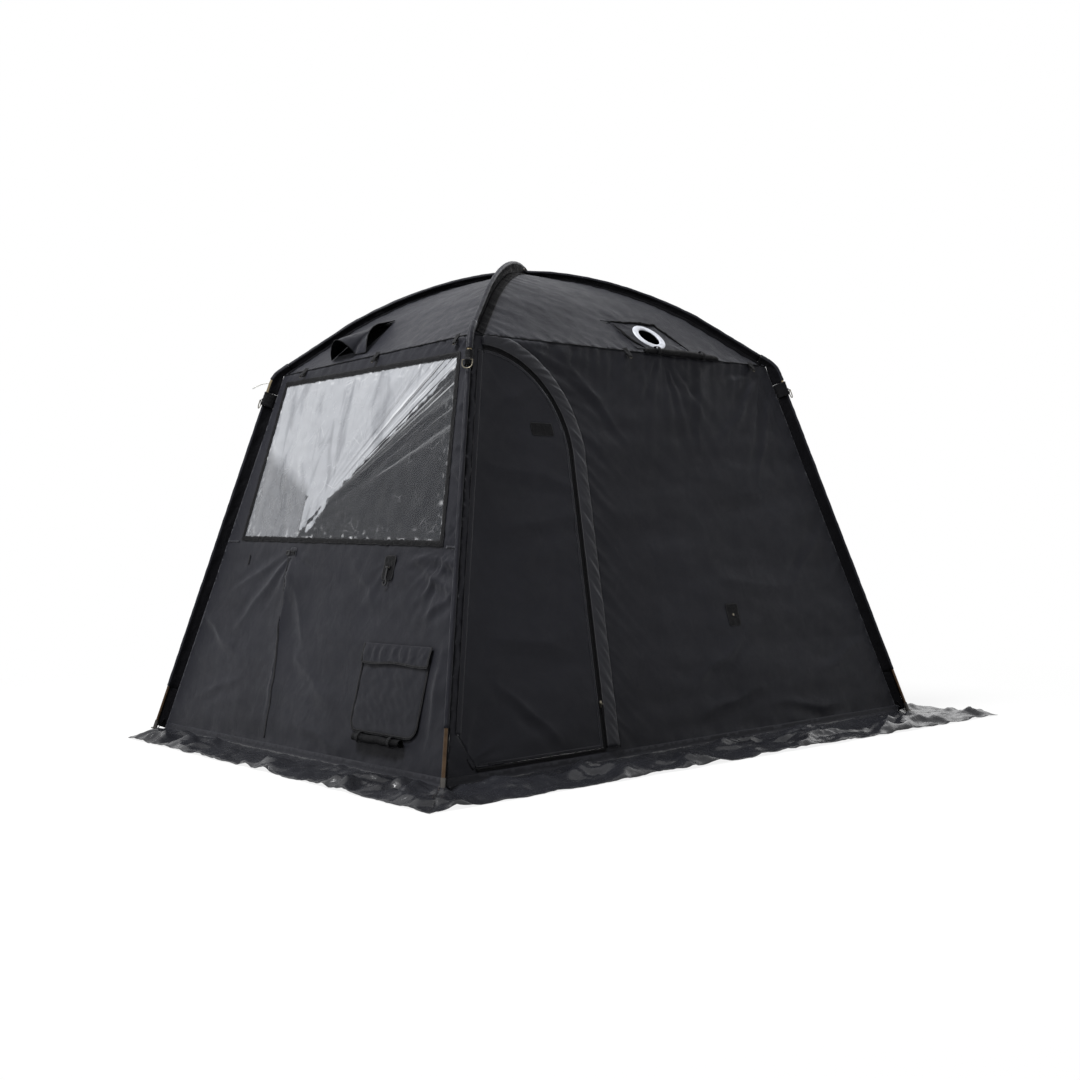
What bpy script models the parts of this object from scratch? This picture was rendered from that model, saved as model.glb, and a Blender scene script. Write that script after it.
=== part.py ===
"""Sauna tent: leaning legs, bent elbows and two crossed roof arches in fabric sleeves, with walls, gores,
a zipped door, a clear window, a chimney outlet, a roof vent, a low port and snow skirts.

The door wall faces -Y and is called front, the window wall faces -X and is called left.
Each side is a flat wall, which leans inwards, under a curved gore. The corners of every level lie in the two
vertical planes through the tent's axis that also hold the poles. Lengths are in metres, with Z up.
"""

import math

import bmesh
import bpy
from mathutils import Matrix, Vector

# Driving sizes of the shell
FOOT_HALF_LENGTH = 1.32
FOOT_HALF_WIDTH = 1.10
EAVE_HALF_LENGTH = 0.841
EAVE_HEIGHT = 1.60
CROWN_HEIGHT = 2.022
ROOF_FULLNESS = 1.9
FLAT_BAND_SHARE = 0.70
ROOF_STEPS = 8
FABRIC_THICKNESS = 0.0015
HEM_HEIGHT = 0.016
CROWN_GAP = 0.014

# Clearances
GAP = 0.0003
SLOT_HALF = 0.0010
SLIP_FIT = 0.0006
OVERRUN = 0.02
PIN_FIT = 0.0004

# Poles, elbows and foot tips
POLE_RADIUS = 0.007
SLEEVE_REACH = 0.048
ELBOW_RADIUS = 0.0105
ELBOW_BEND = 0.12
LEG_SOCKET = 0.100
ROOF_SOCKET = 0.042
POLE_INSERT = 0.034
EAVE_POLE_DEPTH = 0.026
LOWER_CROWN_DEPTH = 0.028
UPPER_CROWN_DEPTH = 0.049
TIP_RADIUS = 0.0095
TIP_NOSE_RADIUS = 0.008
TIP_SOCKET_DEPTH = 0.026
TIP_LENGTH = 0.047

# Sleeves and corner patches
SLEEVE_CLOTH = 0.0012
SEAM_HALF = 0.0006
SEAM_TUCK = 0.0012
LEG_SLEEVE_START = 0.22
RIDGE_SLEEVE_START = 0.075
PATCH_LENGTH = 0.062
PATCH_CLOTH = 0.004
PATCH_SHOULDER = 0.010
NOTCH_HALF_WIDTH = 0.013

# D-rings on the corner patches
RING_WIRE = 0.0022
RING_HALF_WIDTH = 0.019
RING_DROP = 0.016
RING_LUG_RADIUS = 0.0045
RING_LUG_HALF_WIDTH = 0.011
RING_RISE_SHARE = 0.26

# Skirts
SKIRT_SIDE_REACH = 0.21
SKIRT_FRONT_REACH = 0.32
SKIRT_NEAR_REACH = 0.22
SKIRT_CUT_INSET_LENGTH = 0.24
SKIRT_CUT_INSET_WIDTH = 0.12
SKIRT_CUT_SIDE_REACH = 0.17
SKIRT_TOP = 0.044
SKIRT_CURVE = 0.055
SKIRT_FOLD = 0.026
SKIRT_CLOTH = 0.0014
SKIRT_FOLDS = 9
SKIRT_COLUMNS = 38
SKIRT_ROWS = 6
FOOT_EYELET = 0.017

# Door
HINGE_INSET = 0.036
HINGE_CLEARANCE = 0.0026
DOOR_SILL = 0.062
DOOR_CHAMFER_HEIGHT = 0.115
DOOR_CHAMFER_LENGTH = 0.085
DOOR_FOOT_X = -0.556
DOOR_SPRING_X = -0.466
DOOR_SPRING_HEIGHT = 1.20
DOOR_HEAD_DROP = 0.058
ZIP_INNER = 0.001
ZIP_WIDTH = 0.013
ZIP_THICKNESS = 0.0018
STORM_INNER = 0.016
STORM_WIDTH = 0.064
STORM_THICKNESS = 0.009
STORM_EDGE = 0.0025
EAVE_MARGIN = 0.008
CORNER_MARGIN = 0.006
SLIDER_WIDTH = 0.010
SLIDER_LENGTH = 0.024
SLIDER_THICKNESS = 0.004
SLIDER_START = 0.16
EAR_THICKNESS = 0.0016
EAR_HEIGHT = 0.0062
PULL_PIN_RADIUS = 0.0011
PULL_EYE_RADIUS = 0.0025
PULL_WIDTH = 0.0046
PULL_LENGTH = 0.036
PULL_THICKNESS = 0.0018

# Window
WINDOW_FOOT_LEFT = (-0.732, 0.898)
WINDOW_FOOT_RIGHT = (0.772, 0.850)
WINDOW_HEAD_RIGHT = (0.640, 1.586)
WINDOW_HEAD_LEFT = (-0.650, 1.612)
PANE_THICKNESS = 0.0012
BINDING_OUTER = 0.016
BINDING_INNER = 0.012
BINDING_THICKNESS = 0.0025

# Chimney outlet
CHIMNEY_ALONG = 0.171
CHIMNEY_UP = 0.116
CHIMNEY_HOLE_RADIUS = 0.052
CHIMNEY_PANEL_FOOT = 0.026
CHIMNEY_PANEL_HEAD = 0.214
CHIMNEY_PANEL_FOOT_LEFT = 0.035
CHIMNEY_PANEL_FOOT_RIGHT = 0.385
CHIMNEY_PANEL_HEAD_LEFT = 0.010
CHIMNEY_PANEL_HEAD_RIGHT = 0.268
CHIMNEY_PANEL_THICKNESS = 0.002
CHIMNEY_RING_RADIUS = 0.080
CHIMNEY_RING_THICKNESS = 0.005
FLAP_ROLL_ALONG = 0.280
FLAP_ROLL_UP = 0.001
FLAP_ROLL_LENGTH = 0.450
FLAP_ROLL_RADIUS = 0.019
FLAP_ROLL_TURNS = 5
FLAP_ROLL_FLATNESS = 0.85

# Roof vent
VENT_ALONG = -0.232
VENT_UP = 0.171
VENT_HALF_LENGTH = 0.088
VENT_HALF_WIDTH = 0.082
VENT_BARS = 7
VENT_ROWS = 4
VENT_BAR_WIDTH = 0.004
NET_THICKNESS = 0.001
HOOD_ALONG = -0.205
HOOD_HALF_LENGTH = 0.135
HOOD_HALF_WIDTH = 0.129
HOOD_RISE = 0.085
HOOD_SIDE_RISE = 0.050
HOOD_LEAN = 1.4
HOOD_HEAD_INSET = 0.075
HOOD_CLOTH = 0.0018

# Low port
PORT_ALONG = 0.638
PORT_FOOT_HEIGHT = 0.150
PORT_HEAD_HEIGHT = 0.474
PORT_HALF_LENGTH = 0.207
PORT_THICKNESS = 0.006
PORT_FILLET = 0.045
PORT_FLAP_HEIGHT = 0.072
PORT_FLAP_OVERHANG = 0.006
PORT_FLAP_THICKNESS = 0.004
PORT_ROLL_RADIUS = 0.019
PORT_ROLL_LENGTH = 0.300
PORT_ROLL_HEIGHT = 0.128

# Tabs, hook, strap, eave loops and guy loop
HOOK_TAB_ALONG = 0.468
HOOK_TAB_HEIGHT = 0.762
TAB_HALF_WIDTH = 0.037
TAB_HALF_HEIGHT = 0.048
TAB_THICKNESS = 0.002
TAB_FILLET = 0.006
TAB_BAR_RADIUS = 0.0020
TAB_EAR_THICKNESS = 0.004
TAB_EAR_HEIGHT = 0.0085
TAB_BAR_LENGTH = 0.024
HOOK_EYE_RADIUS = 0.0045
HOOK_THICKNESS = 0.0040
HOOK_WIDTH = 0.014
HOOK_LENGTH = 0.072
DOOR_TAB_ALONG = 0.296
DOOR_TAB_HEIGHT = 0.516
STRAP_ALONG = -0.265
STRAP_HEIGHT = 0.826
STRAP_HALF_WIDTH = 0.026
STRAP_HALF_HEIGHT = 0.024
BUCKLE_HALF_WIDTH = 0.012
BUCKLE_LENGTH = 0.048
BUCKLE_THICKNESS = 0.008
LOOP_HALF_WIDTH = 0.011
LOOP_LENGTH = 0.029
LOOP_THICKNESS = 0.003
LOOP_SHARES = {
    "front": (-0.06, 0.87),
    "left": (-0.72, 0.09, 0.87),
    "rear": (-0.87, 0.0, 0.87),
    "right": (-0.87, 0.0, 0.87),
}
GUY_CORD_RADIUS = 0.0014
GUY_LOOP_CLEARANCE = 0.0008
GUY_LOOP_REACH = 0.085
GUY_LOOP_DROP = 0.024
GUY_LOOP_SPREAD = 0.013
GUY_LOOP_FOOT = 0.0025
GUY_LOOP_RISE = 0.045

HALF_DIAGONAL = math.hypot(FOOT_HALF_LENGTH, FOOT_HALF_WIDTH)
SKIRT_HALF_LENGTH = FOOT_HALF_LENGTH + SKIRT_SIDE_REACH
SKIRT_HALF_WIDTH = FOOT_HALF_WIDTH + SKIRT_FRONT_REACH
SKIRT_NEAR_WIDTH = FOOT_HALF_WIDTH + SKIRT_NEAR_REACH
SKIRT_CUT_LENGTH = FOOT_HALF_LENGTH - SKIRT_CUT_INSET_LENGTH
SKIRT_CUT_WIDTH = FOOT_HALF_WIDTH - SKIRT_CUT_INSET_WIDTH
SKIRT_CUT_REACH = FOOT_HALF_LENGTH + SKIRT_CUT_SIDE_REACH
BASE_SHARE = 1 - SLEEVE_REACH / HALF_DIAGONAL
EAVE_SHARE = EAVE_HALF_LENGTH / FOOT_HALF_LENGTH
BORE_RADIUS = POLE_RADIUS + SLIP_FIT
SLEEVE_RADIUS = BORE_RADIUS + SLEEVE_CLOTH
PATCH_BORE = ELBOW_RADIUS + SLIP_FIT
UP = Vector((0, 0, 1))

# Each side: outward direction, direction to the right as seen from outside, depth and width at share 1
SIDES = {
    "front": (Vector((0, -1, 0)), Vector((1, 0, 0)), FOOT_HALF_WIDTH, FOOT_HALF_LENGTH),
    "left": (Vector((-1, 0, 0)), Vector((0, -1, 0)), FOOT_HALF_LENGTH, FOOT_HALF_WIDTH),
    "rear": (Vector((0, 1, 0)), Vector((-1, 0, 0)), FOOT_HALF_WIDTH, FOOT_HALF_LENGTH),
    "right": (Vector((1, 0, 0)), Vector((0, 1, 0)), FOOT_HALF_LENGTH, FOOT_HALF_WIDTH),
}
CORNERS = {
    "front_left": (-1, -1),
    "front_right": (1, -1),
    "rear_left": (-1, 1),
    "rear_right": (1, 1),
}
UPPER_CORNERS = ("front_left", "rear_right")
CUT_CORNER = "rear_left"

# Outer corners of each skirt in plan, at its left and right end as seen from outside.
# The rear left corner is cut back on both skirts.
SKIRT_ENDS = {
    "front": (Vector((-SKIRT_HALF_LENGTH, -SKIRT_NEAR_WIDTH)), Vector((SKIRT_HALF_LENGTH, -SKIRT_HALF_WIDTH))),
    "left": (Vector((-SKIRT_CUT_REACH, SKIRT_CUT_WIDTH)), Vector((-SKIRT_HALF_LENGTH, -SKIRT_NEAR_WIDTH))),
    "rear": (Vector((SKIRT_HALF_LENGTH, SKIRT_HALF_WIDTH)), Vector((-SKIRT_CUT_LENGTH, SKIRT_HALF_WIDTH))),
    "right": (Vector((SKIRT_HALF_LENGTH, -SKIRT_HALF_WIDTH)), Vector((SKIRT_HALF_LENGTH, SKIRT_HALF_WIDTH))),
}


# Scene, materials and mesh helpers


def clear_scene():
    for obj in list(bpy.data.objects):
        bpy.data.objects.remove(obj, do_unlink=True)


def new_collection(name):
    collection = bpy.data.collections.new(name)
    bpy.context.scene.collection.children.link(collection)
    return collection


def new_material(name, colour, roughness, metallic=0.0, alpha=1.0):
    material = bpy.data.materials.new(name)
    material.use_nodes = True
    shader = material.node_tree.nodes["Principled BSDF"]
    shader.inputs["Base Color"].default_value = (*colour, 1.0)
    shader.inputs["Roughness"].default_value = roughness
    shader.inputs["Metallic"].default_value = metallic
    shader.inputs["Alpha"].default_value = alpha
    return material


def add_object(name, data, material, matrix=None):
    obj = bpy.data.objects.new(name, data)
    tent.objects.link(obj)
    if matrix is not None:
        obj.matrix_world = matrix
    data.materials.append(material)
    return obj


def mesh_from(bm, name, solid=True):
    if solid:
        bmesh.ops.recalc_face_normals(bm, faces=bm.faces)
    mesh = bpy.data.meshes.new(name)
    bm.to_mesh(mesh)
    bm.free()
    return mesh


def as_helper(obj):
    """Hides an object that only cuts or joins another."""
    tent.objects.unlink(obj)
    cutters.objects.link(obj)
    obj.hide_render = True
    obj.display_type = "WIRE"
    return obj


def combine(obj, other, operation="DIFFERENCE"):
    modifier = obj.modifiers.new(operation.lower() + "_" + other.name, "BOOLEAN")
    modifier.operation = operation
    modifier.object = as_helper(other)
    return obj


def smooth(obj, degrees=40):
    obj.data.shade_smooth()
    obj.data.set_sharp_from_angle(angle=math.radians(degrees))
    return obj


def matrix_of(origin, x_axis, y_axis):
    """A frame with the given X axis, its Y axis near y_axis and Z across both."""
    x_axis = x_axis.normalized()
    z_axis = x_axis.cross(y_axis).normalized()
    matrix = Matrix((x_axis, z_axis.cross(x_axis), z_axis)).transposed().to_4x4()
    matrix.translation = origin
    return matrix


def curve_to_mesh(curve, name, material, matrix=None):
    """The closed mesh of a curve whose caps are welded."""
    helper = bpy.data.objects.new(name, curve)
    tent.objects.link(helper)
    bpy.context.view_layer.update()
    mesh = bpy.data.meshes.new_from_object(helper.evaluated_get(bpy.context.evaluated_depsgraph_get()))
    bpy.data.objects.remove(helper, do_unlink=True)
    bpy.data.curves.remove(curve)
    bm = bmesh.new()
    bm.from_mesh(mesh)
    bmesh.ops.remove_doubles(bm, verts=bm.verts, dist=WELD)
    bm.to_mesh(mesh)
    bm.free()
    mesh.name = name
    mesh.materials.clear()
    return add_object(name, mesh, material, matrix)


WELD = 0.00002


def tube(name, points, radius, material, rounds=4, closed=False, matrix=None):
    curve = bpy.data.curves.new(name, "CURVE")
    curve.dimensions = "3D"
    curve.twist_mode = "Z_UP"
    curve.bevel_depth = radius
    curve.bevel_resolution = rounds
    curve.use_fill_caps = True
    spline = curve.splines.new("POLY")
    spline.points.add(len(points) - 1)
    for spline_point, point in zip(spline.points, points):
        spline_point.co = (*point, 1)
    spline.use_cyclic_u = closed
    return smooth(curve_to_mesh(curve, name, material, matrix))


def plate(name, outlines, thickness, material, matrix, lift=0.0, edge=0.0):
    """A flat piece from its outlines, holes included, whose underside lies at the given lift."""
    curve = bpy.data.curves.new(name, "CURVE")
    curve.dimensions = "2D"
    curve.fill_mode = "BOTH"
    curve.extrude = thickness / 2
    for outline in outlines:
        spline = curve.splines.new("POLY")
        spline.points.add(len(outline) - 1)
        for spline_point, (x, y) in zip(spline.points, outline):
            spline_point.co = (x, y, 0, 1)
        spline.use_cyclic_u = True
    placed = matrix @ Matrix.Translation((0, 0, lift + thickness / 2))
    obj = curve_to_mesh(curve, name, material, placed)
    if edge:
        bevel = obj.modifiers.new("rounded_edges", "BEVEL")
        bevel.width = edge
        bevel.segments = 2
        bevel.angle_limit = math.radians(50)
    return obj


def cylinder(name, radius, length, material, matrix, sides=16):
    """A cylinder along the frame's X axis, centred on its origin."""
    bm = bmesh.new()
    turn = Matrix.Rotation(math.pi / 2, 4, "Y")
    bmesh.ops.create_cone(
        bm, cap_ends=True, segments=sides, radius1=radius, radius2=radius, depth=length, matrix=turn
    )
    return smooth(add_object(name, mesh_from(bm, name), material, matrix))


def block(name, size, centre, material, matrix):
    bm = bmesh.new()
    scale = Matrix.Diagonal((*size, 1))
    bmesh.ops.create_cube(bm, size=1.0, matrix=Matrix.Translation(centre) @ scale)
    return add_object(name, mesh_from(bm, name), material, matrix)


def turned(name, profile, material, matrix, steps=24, closed=False):
    """A Screw of the profile's (radius, height) points about the frame's Z axis."""
    mesh = bpy.data.meshes.new(name)
    count = len(profile)
    edges = [(i, (i + 1) % count) for i in range(count if closed else count - 1)]
    mesh.from_pydata([(radius, 0, height) for radius, height in profile], edges, [])
    obj = add_object(name, mesh, material, matrix)
    screw = obj.modifiers.new("turned", "SCREW")
    screw.steps = steps
    screw.render_steps = steps
    screw.use_merge_vertices = True
    screw.merge_threshold = 0.00002
    return obj


def loft(name, rings, material):
    """A closed solid through rings with as many points each."""
    bm = bmesh.new()
    rows = [[bm.verts.new(point) for point in ring] for ring in rings]
    for row, following in zip(rows, rows[1:]):
        for i in range(len(row)):
            j = (i + 1) % len(row)
            bm.faces.new((row[i], row[j], following[j], following[i]))
    bm.faces.new(rows[0][::-1])
    bm.faces.new(rows[-1])
    return add_object(name, mesh_from(bm, name), material)


# Plane geometry


def lerp(a, b, share):
    return a + (b - a) * share


def offset_path(points, distance):
    """The path moved to its left by the distance, with mitred corners."""
    moved = []
    for i, point in enumerate(points):
        normals = []
        for a, b in ((i - 1, i), (i, i + 1)):
            if 0 <= a and b < len(points):
                step = (points[b] - points[a]).normalized()
                normals.append(Vector((-step.y, step.x)))
        mean = sum(normals, Vector((0, 0))).normalized()
        moved.append(point + mean * (distance / mean.dot(normals[0])))
    return moved


def arc(centre, radius_x, radius_y, start, end, steps):
    """Points of an ellipse arc, with angles in degrees."""
    angles = [math.radians(lerp(start, end, i / steps)) for i in range(steps + 1)]
    return [
        Vector((centre[0] + radius_x * math.cos(a), centre[1] + radius_y * math.sin(a))) for a in angles
    ]


def rounded_rectangle(left, right, foot, head, fillet, steps=4):
    outline = []
    corners = ((right, foot, -90), (right, head, 0), (left, head, 90), (left, foot, 180))
    for x, y, start in corners:
        centre_x = x - fillet if x == right else x + fillet
        centre_y = y + fillet if y == foot else y - fillet
        outline += arc((centre_x, centre_y), fillet, fillet, start, start + 90, steps)
    return outline


def disc(centre_x, centre_y, radius, steps=32):
    return arc((centre_x, centre_y), radius, radius, 0, 360, steps)[:-1]


# The shell's levels


def wall_share(height):
    return lerp(BASE_SHARE, EAVE_SHARE, height / EAVE_HEIGHT)


def roof_height(share):
    return lerp(CROWN_HEIGHT, EAVE_HEIGHT, (share / EAVE_SHARE) ** ROOF_FULLNESS)


def roof_levels():
    """(share, height) from the eave to the crown. The first step is flat and carries the outlets."""
    band = EAVE_SHARE * FLAT_BAND_SHARE
    shares = [EAVE_SHARE] + [band * (1 - i / ROOF_STEPS) for i in range(ROOF_STEPS + 1)]
    return [(share, roof_height(share)) for share in shares]


def wall_path(depth):
    return [Vector((depth * wall_share(z), z)) for z in (HEM_HEIGHT, EAVE_HEIGHT)]


def roof_path(depth):
    return [Vector((depth * share, height)) for share, height in roof_levels()]


def shortened(path, start, end):
    """The path with its ends drawn in along its first and last steps."""
    path = list(path)
    first = (path[1] - path[0]).normalized() * start
    last = (path[-2] - path[-1]).normalized() * end
    path[0] = path[0] + first
    path[-1] = path[-1] + last
    return path


def wall_frame(side):
    out, along, depth, _ = SIDES[side]
    foot = out * depth * wall_share(0)
    eave = out * depth * EAVE_SHARE + UP * EAVE_HEIGHT
    return matrix_of(foot, along, eave - foot)


def roof_frame(side):
    out, along, depth, _ = SIDES[side]
    (eave_share, eave_z), (band_share, band_z) = roof_levels()[:2]
    eave = out * depth * eave_share + UP * eave_z
    band = out * depth * band_share + UP * band_z
    return matrix_of(eave, along, band - eave)


def wall_slope(side):
    depth = SIDES[side][2]
    return math.hypot(depth * (BASE_SHARE - EAVE_SHARE), EAVE_HEIGHT)


def corner_along(side, up):
    """How far along the wall its corner lies, at a height measured up the wall."""
    return SIDES[side][3] * wall_share(up * EAVE_HEIGHT / wall_slope(side))


# Walls and gores


def corner_planes(side, inset):
    """Points and normals of the two vertical planes that a side ends at, drawn in by the inset."""
    out, along, depth, width = SIDES[side]
    for sign in (1, -1):
        normal = (along * sign * depth - out * width).normalized()
        yield -normal * inset, normal


def side_panel(name, side, path, thickness, material):
    """An extruded profile of even thickness, mitred at the tent's corners."""
    out, along, _, width = SIDES[side]
    outline = list(path) + offset_path(path, -thickness)[::-1]
    bm = bmesh.new()
    corners = [bm.verts.new(out * r + UP * z - along * 2 * width) for r, z in outline]
    face = bm.faces.new(corners)
    moved = bmesh.ops.extrude_face_region(bm, geom=[face])["geom"]
    bmesh.ops.translate(
        bm, verts=[v for v in moved if isinstance(v, bmesh.types.BMVert)], vec=along * 4 * width
    )
    for point, normal in corner_planes(side, SLOT_HALF):
        geometry = bm.verts[:] + bm.edges[:] + bm.faces[:]
        bmesh.ops.bisect_plane(bm, geom=geometry, plane_co=point, plane_no=normal, clear_outer=True)
        bmesh.ops.holes_fill(bm, edges=[edge for edge in bm.edges if edge.is_boundary])
    return add_object(name, mesh_from(bm, name), material)


def wall(side, material):
    path = shortened(wall_path(SIDES[side][2]), 0, GAP / 2)
    return side_panel("wall_" + side, side, path, FABRIC_THICKNESS, material)


def gore(side, material):
    """A roof gore, with the webbing loops that hang from its eave seam."""
    path = shortened(roof_path(SIDES[side][2]), GAP, CROWN_GAP)
    obj = side_panel("roof_" + side, side, path, FABRIC_THICKNESS, material)
    for number, share in enumerate(LOOP_SHARES[side]):
        combine(obj, eave_loop(side, number, share, material), "UNION")
    return obj


def eave_loop(side, number, share, material):
    """A webbing loop that leaves the seam over the wall and hangs in front of it."""
    frame = wall_frame(side)
    head = wall_slope(side)
    middle = share * corner_along(side, head)
    lift = FABRIC_THICKNESS + GAP
    left = middle - LOOP_HALF_WIDTH
    right = middle + LOOP_HALF_WIDTH
    tape = [(left, head - LOOP_LENGTH), (right, head - LOOP_LENGTH), (right, head), (left, head)]
    hanging = plate(f"loop_{side}_{number}", [tape], LOOP_THICKNESS, material, frame, lift)
    roof_tape = [(left, -LOOP_THICKNESS / 2), (right, -LOOP_THICKNESS / 2)]
    roof_tape += [(right, LOOP_HALF_WIDTH), (left, LOOP_HALF_WIDTH)]
    sewn = plate(
        f"loop_root_{side}_{number}", [roof_tape], LOOP_THICKNESS, material, roof_frame(side), lift - GAP * 2
    )
    return combine(hanging, sewn, "UNION")


# Poles, elbows and tips, in the vertical plane of each corner


def corner_basis(corner):
    """The corner's horizontal outward direction and the direction across its vertical plane."""
    sign_x, sign_y = CORNERS[corner]
    out = Vector((sign_x * FOOT_HALF_LENGTH, sign_y * FOOT_HALF_WIDTH, 0)).normalized()
    return out, UP.cross(out)


def in_space(corner, point):
    out, _ = corner_basis(corner)
    return out * point.x + UP * point.y


def leg_direction():
    top = Vector((HALF_DIAGONAL * EAVE_SHARE, EAVE_HEIGHT))
    return (top - Vector((HALF_DIAGONAL * BASE_SHARE, 0))).normalized()


def leg_point(height):
    """The leg pole's centre line at a height above the ground."""
    step = leg_direction()
    return Vector((HALF_DIAGONAL + step.x * height / step.y, height))


def crown_depth(corner):
    return UPPER_CROWN_DEPTH if corner in UPPER_CORNERS else LOWER_CROWN_DEPTH


def ridge_stations(corner):
    """(pole point, seam point) at each roof level, from the eave to the crown."""
    seam = roof_path(HALF_DIAGONAL)
    normals = [b - a for a, b in zip(seam, offset_path(seam, -1.0))]
    stations = []
    for point, normal in zip(seam, normals):
        share = point.x / seam[0].x
        depth = lerp(crown_depth(corner), EAVE_POLE_DEPTH, share)
        stations.append((point - normal.normalized() * -depth, point))
    stations[-1] = (Vector((0, CROWN_HEIGHT + crown_depth(corner))), Vector((0, CROWN_HEIGHT)))
    return stations


def elbow_corner(corner):
    """Where the leg's line meets the line of the roof arch's first step."""
    start = ridge_stations(corner)[0][0]
    step = ridge_stations(corner)[1][0] - start
    foot = leg_point(0)
    leg = leg_direction()
    run = (start - foot).cross(step) / leg.cross(step)
    return foot + leg * run


def elbow_path(corner):
    """Straight socket, bend and straight socket."""
    middle = elbow_corner(corner)
    leg = leg_direction()
    roof = (ridge_stations(corner)[1][0] - ridge_stations(corner)[0][0]).normalized()
    turn = leg.angle(roof)
    tangent = ELBOW_BEND * math.tan(turn / 2)
    start = middle - leg * tangent
    inward = Vector((-leg.y, leg.x))
    centre = start + inward * ELBOW_BEND
    bend = []
    steps = 5
    for i in range(steps + 1):
        angle = turn * i / steps
        bend.append(centre - inward * ELBOW_BEND * math.cos(angle) + leg * ELBOW_BEND * math.sin(angle))
    return [start - leg * LEG_SOCKET] + bend + [bend[-1] + roof * ROOF_SOCKET]


def arch_half(corner):
    """The arch's centre line from its end inside the elbow to the crown."""
    path = elbow_path(corner)
    roof = (path[-1] - path[-2]).normalized()
    return [path[-1] - roof * POLE_INSERT] + [pole for pole, _ in ridge_stations(corner)[1:]]


def leg_pole(corner, material):
    top = elbow_path(corner)[0] + leg_direction() * POLE_INSERT
    start = leg_point(TIP_NOSE_RADIUS) + leg_direction() * (TIP_LENGTH - TIP_SOCKET_DEPTH + GAP)
    points = [in_space(corner, start), in_space(corner, top)]
    return tube("leg_pole_" + corner, points, POLE_RADIUS, material)


def elbow(corner, material):
    path = elbow_path(corner)
    obj = tube("elbow_" + corner, [in_space(corner, p) for p in path], ELBOW_RADIUS, material)
    longer = shortened(path, -OVERRUN, -OVERRUN)
    bore = tube("elbow_bore_" + corner, [in_space(corner, p) for p in longer], BORE_RADIUS, material)
    return combine(obj, bore)


def roof_arch(name, first, second, material):
    half = [in_space(first, p) for p in arch_half(first)]
    other = [in_space(second, p) for p in arch_half(second)][-2::-1]
    return tube(name, half + other, POLE_RADIUS, material)


def foot_tip(corner, material):
    out, across = corner_basis(corner)
    leg = in_space(corner, leg_direction())
    matrix = matrix_of(in_space(corner, leg_point(TIP_NOSE_RADIUS)), across, leg.cross(across))
    socket_floor = TIP_LENGTH - TIP_SOCKET_DEPTH
    profile = [
        (0, socket_floor),
        (BORE_RADIUS, socket_floor),
        (BORE_RADIUS, TIP_LENGTH),
        (TIP_RADIUS, TIP_LENGTH),
        (TIP_RADIUS, TIP_NOSE_RADIUS),
        (TIP_NOSE_RADIUS, 0),
    ]
    profile += [(p.x, p.y) for p in arc((0, 0), TIP_NOSE_RADIUS, TIP_NOSE_RADIUS, -15, -75, 4)]
    profile.append((0, -TIP_NOSE_RADIUS))
    return turned("foot_tip_" + corner, profile, material, matrix, steps=12)


# Sleeves and corner patches


def sleeve_ring(corner, pole, seam, radius, shoulder):
    """One teardrop section: round over the pole, drawn in to the seam that passes between the panels."""
    _, across = corner_basis(corner)
    outward = (pole - seam).normalized()
    root = seam - outward * SEAM_TUCK
    neck = seam + outward * (FABRIC_THICKNESS + SEAM_TUCK)
    flare = neck + outward * (shoulder - SEAM_HALF)
    section = [(root, -SEAM_HALF), (root, SEAM_HALF), (neck, SEAM_HALF), (flare, shoulder)]
    for i in range(9):
        angle = math.radians(lerp(-10, 190, i / 8))
        section.append((pole + outward * (radius * math.sin(angle)), radius * math.cos(angle)))
    section += [(flare, -shoulder), (neck, -SEAM_HALF)]
    return [in_space(corner, point) + across * side for point, side in section]


def sleeve(name, corner, stations, radius, bore, shoulder, material):
    rings = [sleeve_ring(corner, pole, seam, radius, shoulder) for pole, seam in stations]
    obj = loft(name, rings, material)
    centre = shortened([pole for pole, _ in stations], -OVERRUN, -OVERRUN)
    return combine(obj, tube(name + "_bore", [in_space(corner, p) for p in centre], bore, material))


def leg_station(distance):
    """(pole point, seam point) at a distance up the leg."""
    pole = leg_point(0) + leg_direction() * distance
    inward = Vector((-leg_direction().y, leg_direction().x))
    foot = Vector((HALF_DIAGONAL * BASE_SHARE, 0))
    reach = (foot - leg_point(0)).dot(inward)
    return pole, pole + inward * reach


def socket_distance(corner):
    """How far up the leg the elbow's lower end lies."""
    return (elbow_path(corner)[0] - leg_point(0)).length


def corner_sleeve(corner, material):
    """The sleeve on the leg. It stops above the ground, where the pole shows."""
    top = socket_distance(corner) - GAP
    stations = [leg_station(LEG_SLEEVE_START), leg_station(top)]
    name = "corner_sleeve_" + corner
    return sleeve(name, corner, stations, SLEEVE_RADIUS, BORE_RADIUS, SEAM_HALF * 2, material)


def ridge_half(corner):
    stations = ridge_stations(corner)
    (pole, seam), (next_pole, next_seam) = stations[:2]
    step = (next_pole - pole).normalized()
    elbow_end = elbow_path(corner)[-1]
    share = ((elbow_end - pole).dot(step) + GAP) / (next_pole - pole).length
    first = (lerp(pole, next_pole, share), lerp(seam, next_seam, share))
    return [first] + stations[1:]


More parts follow.
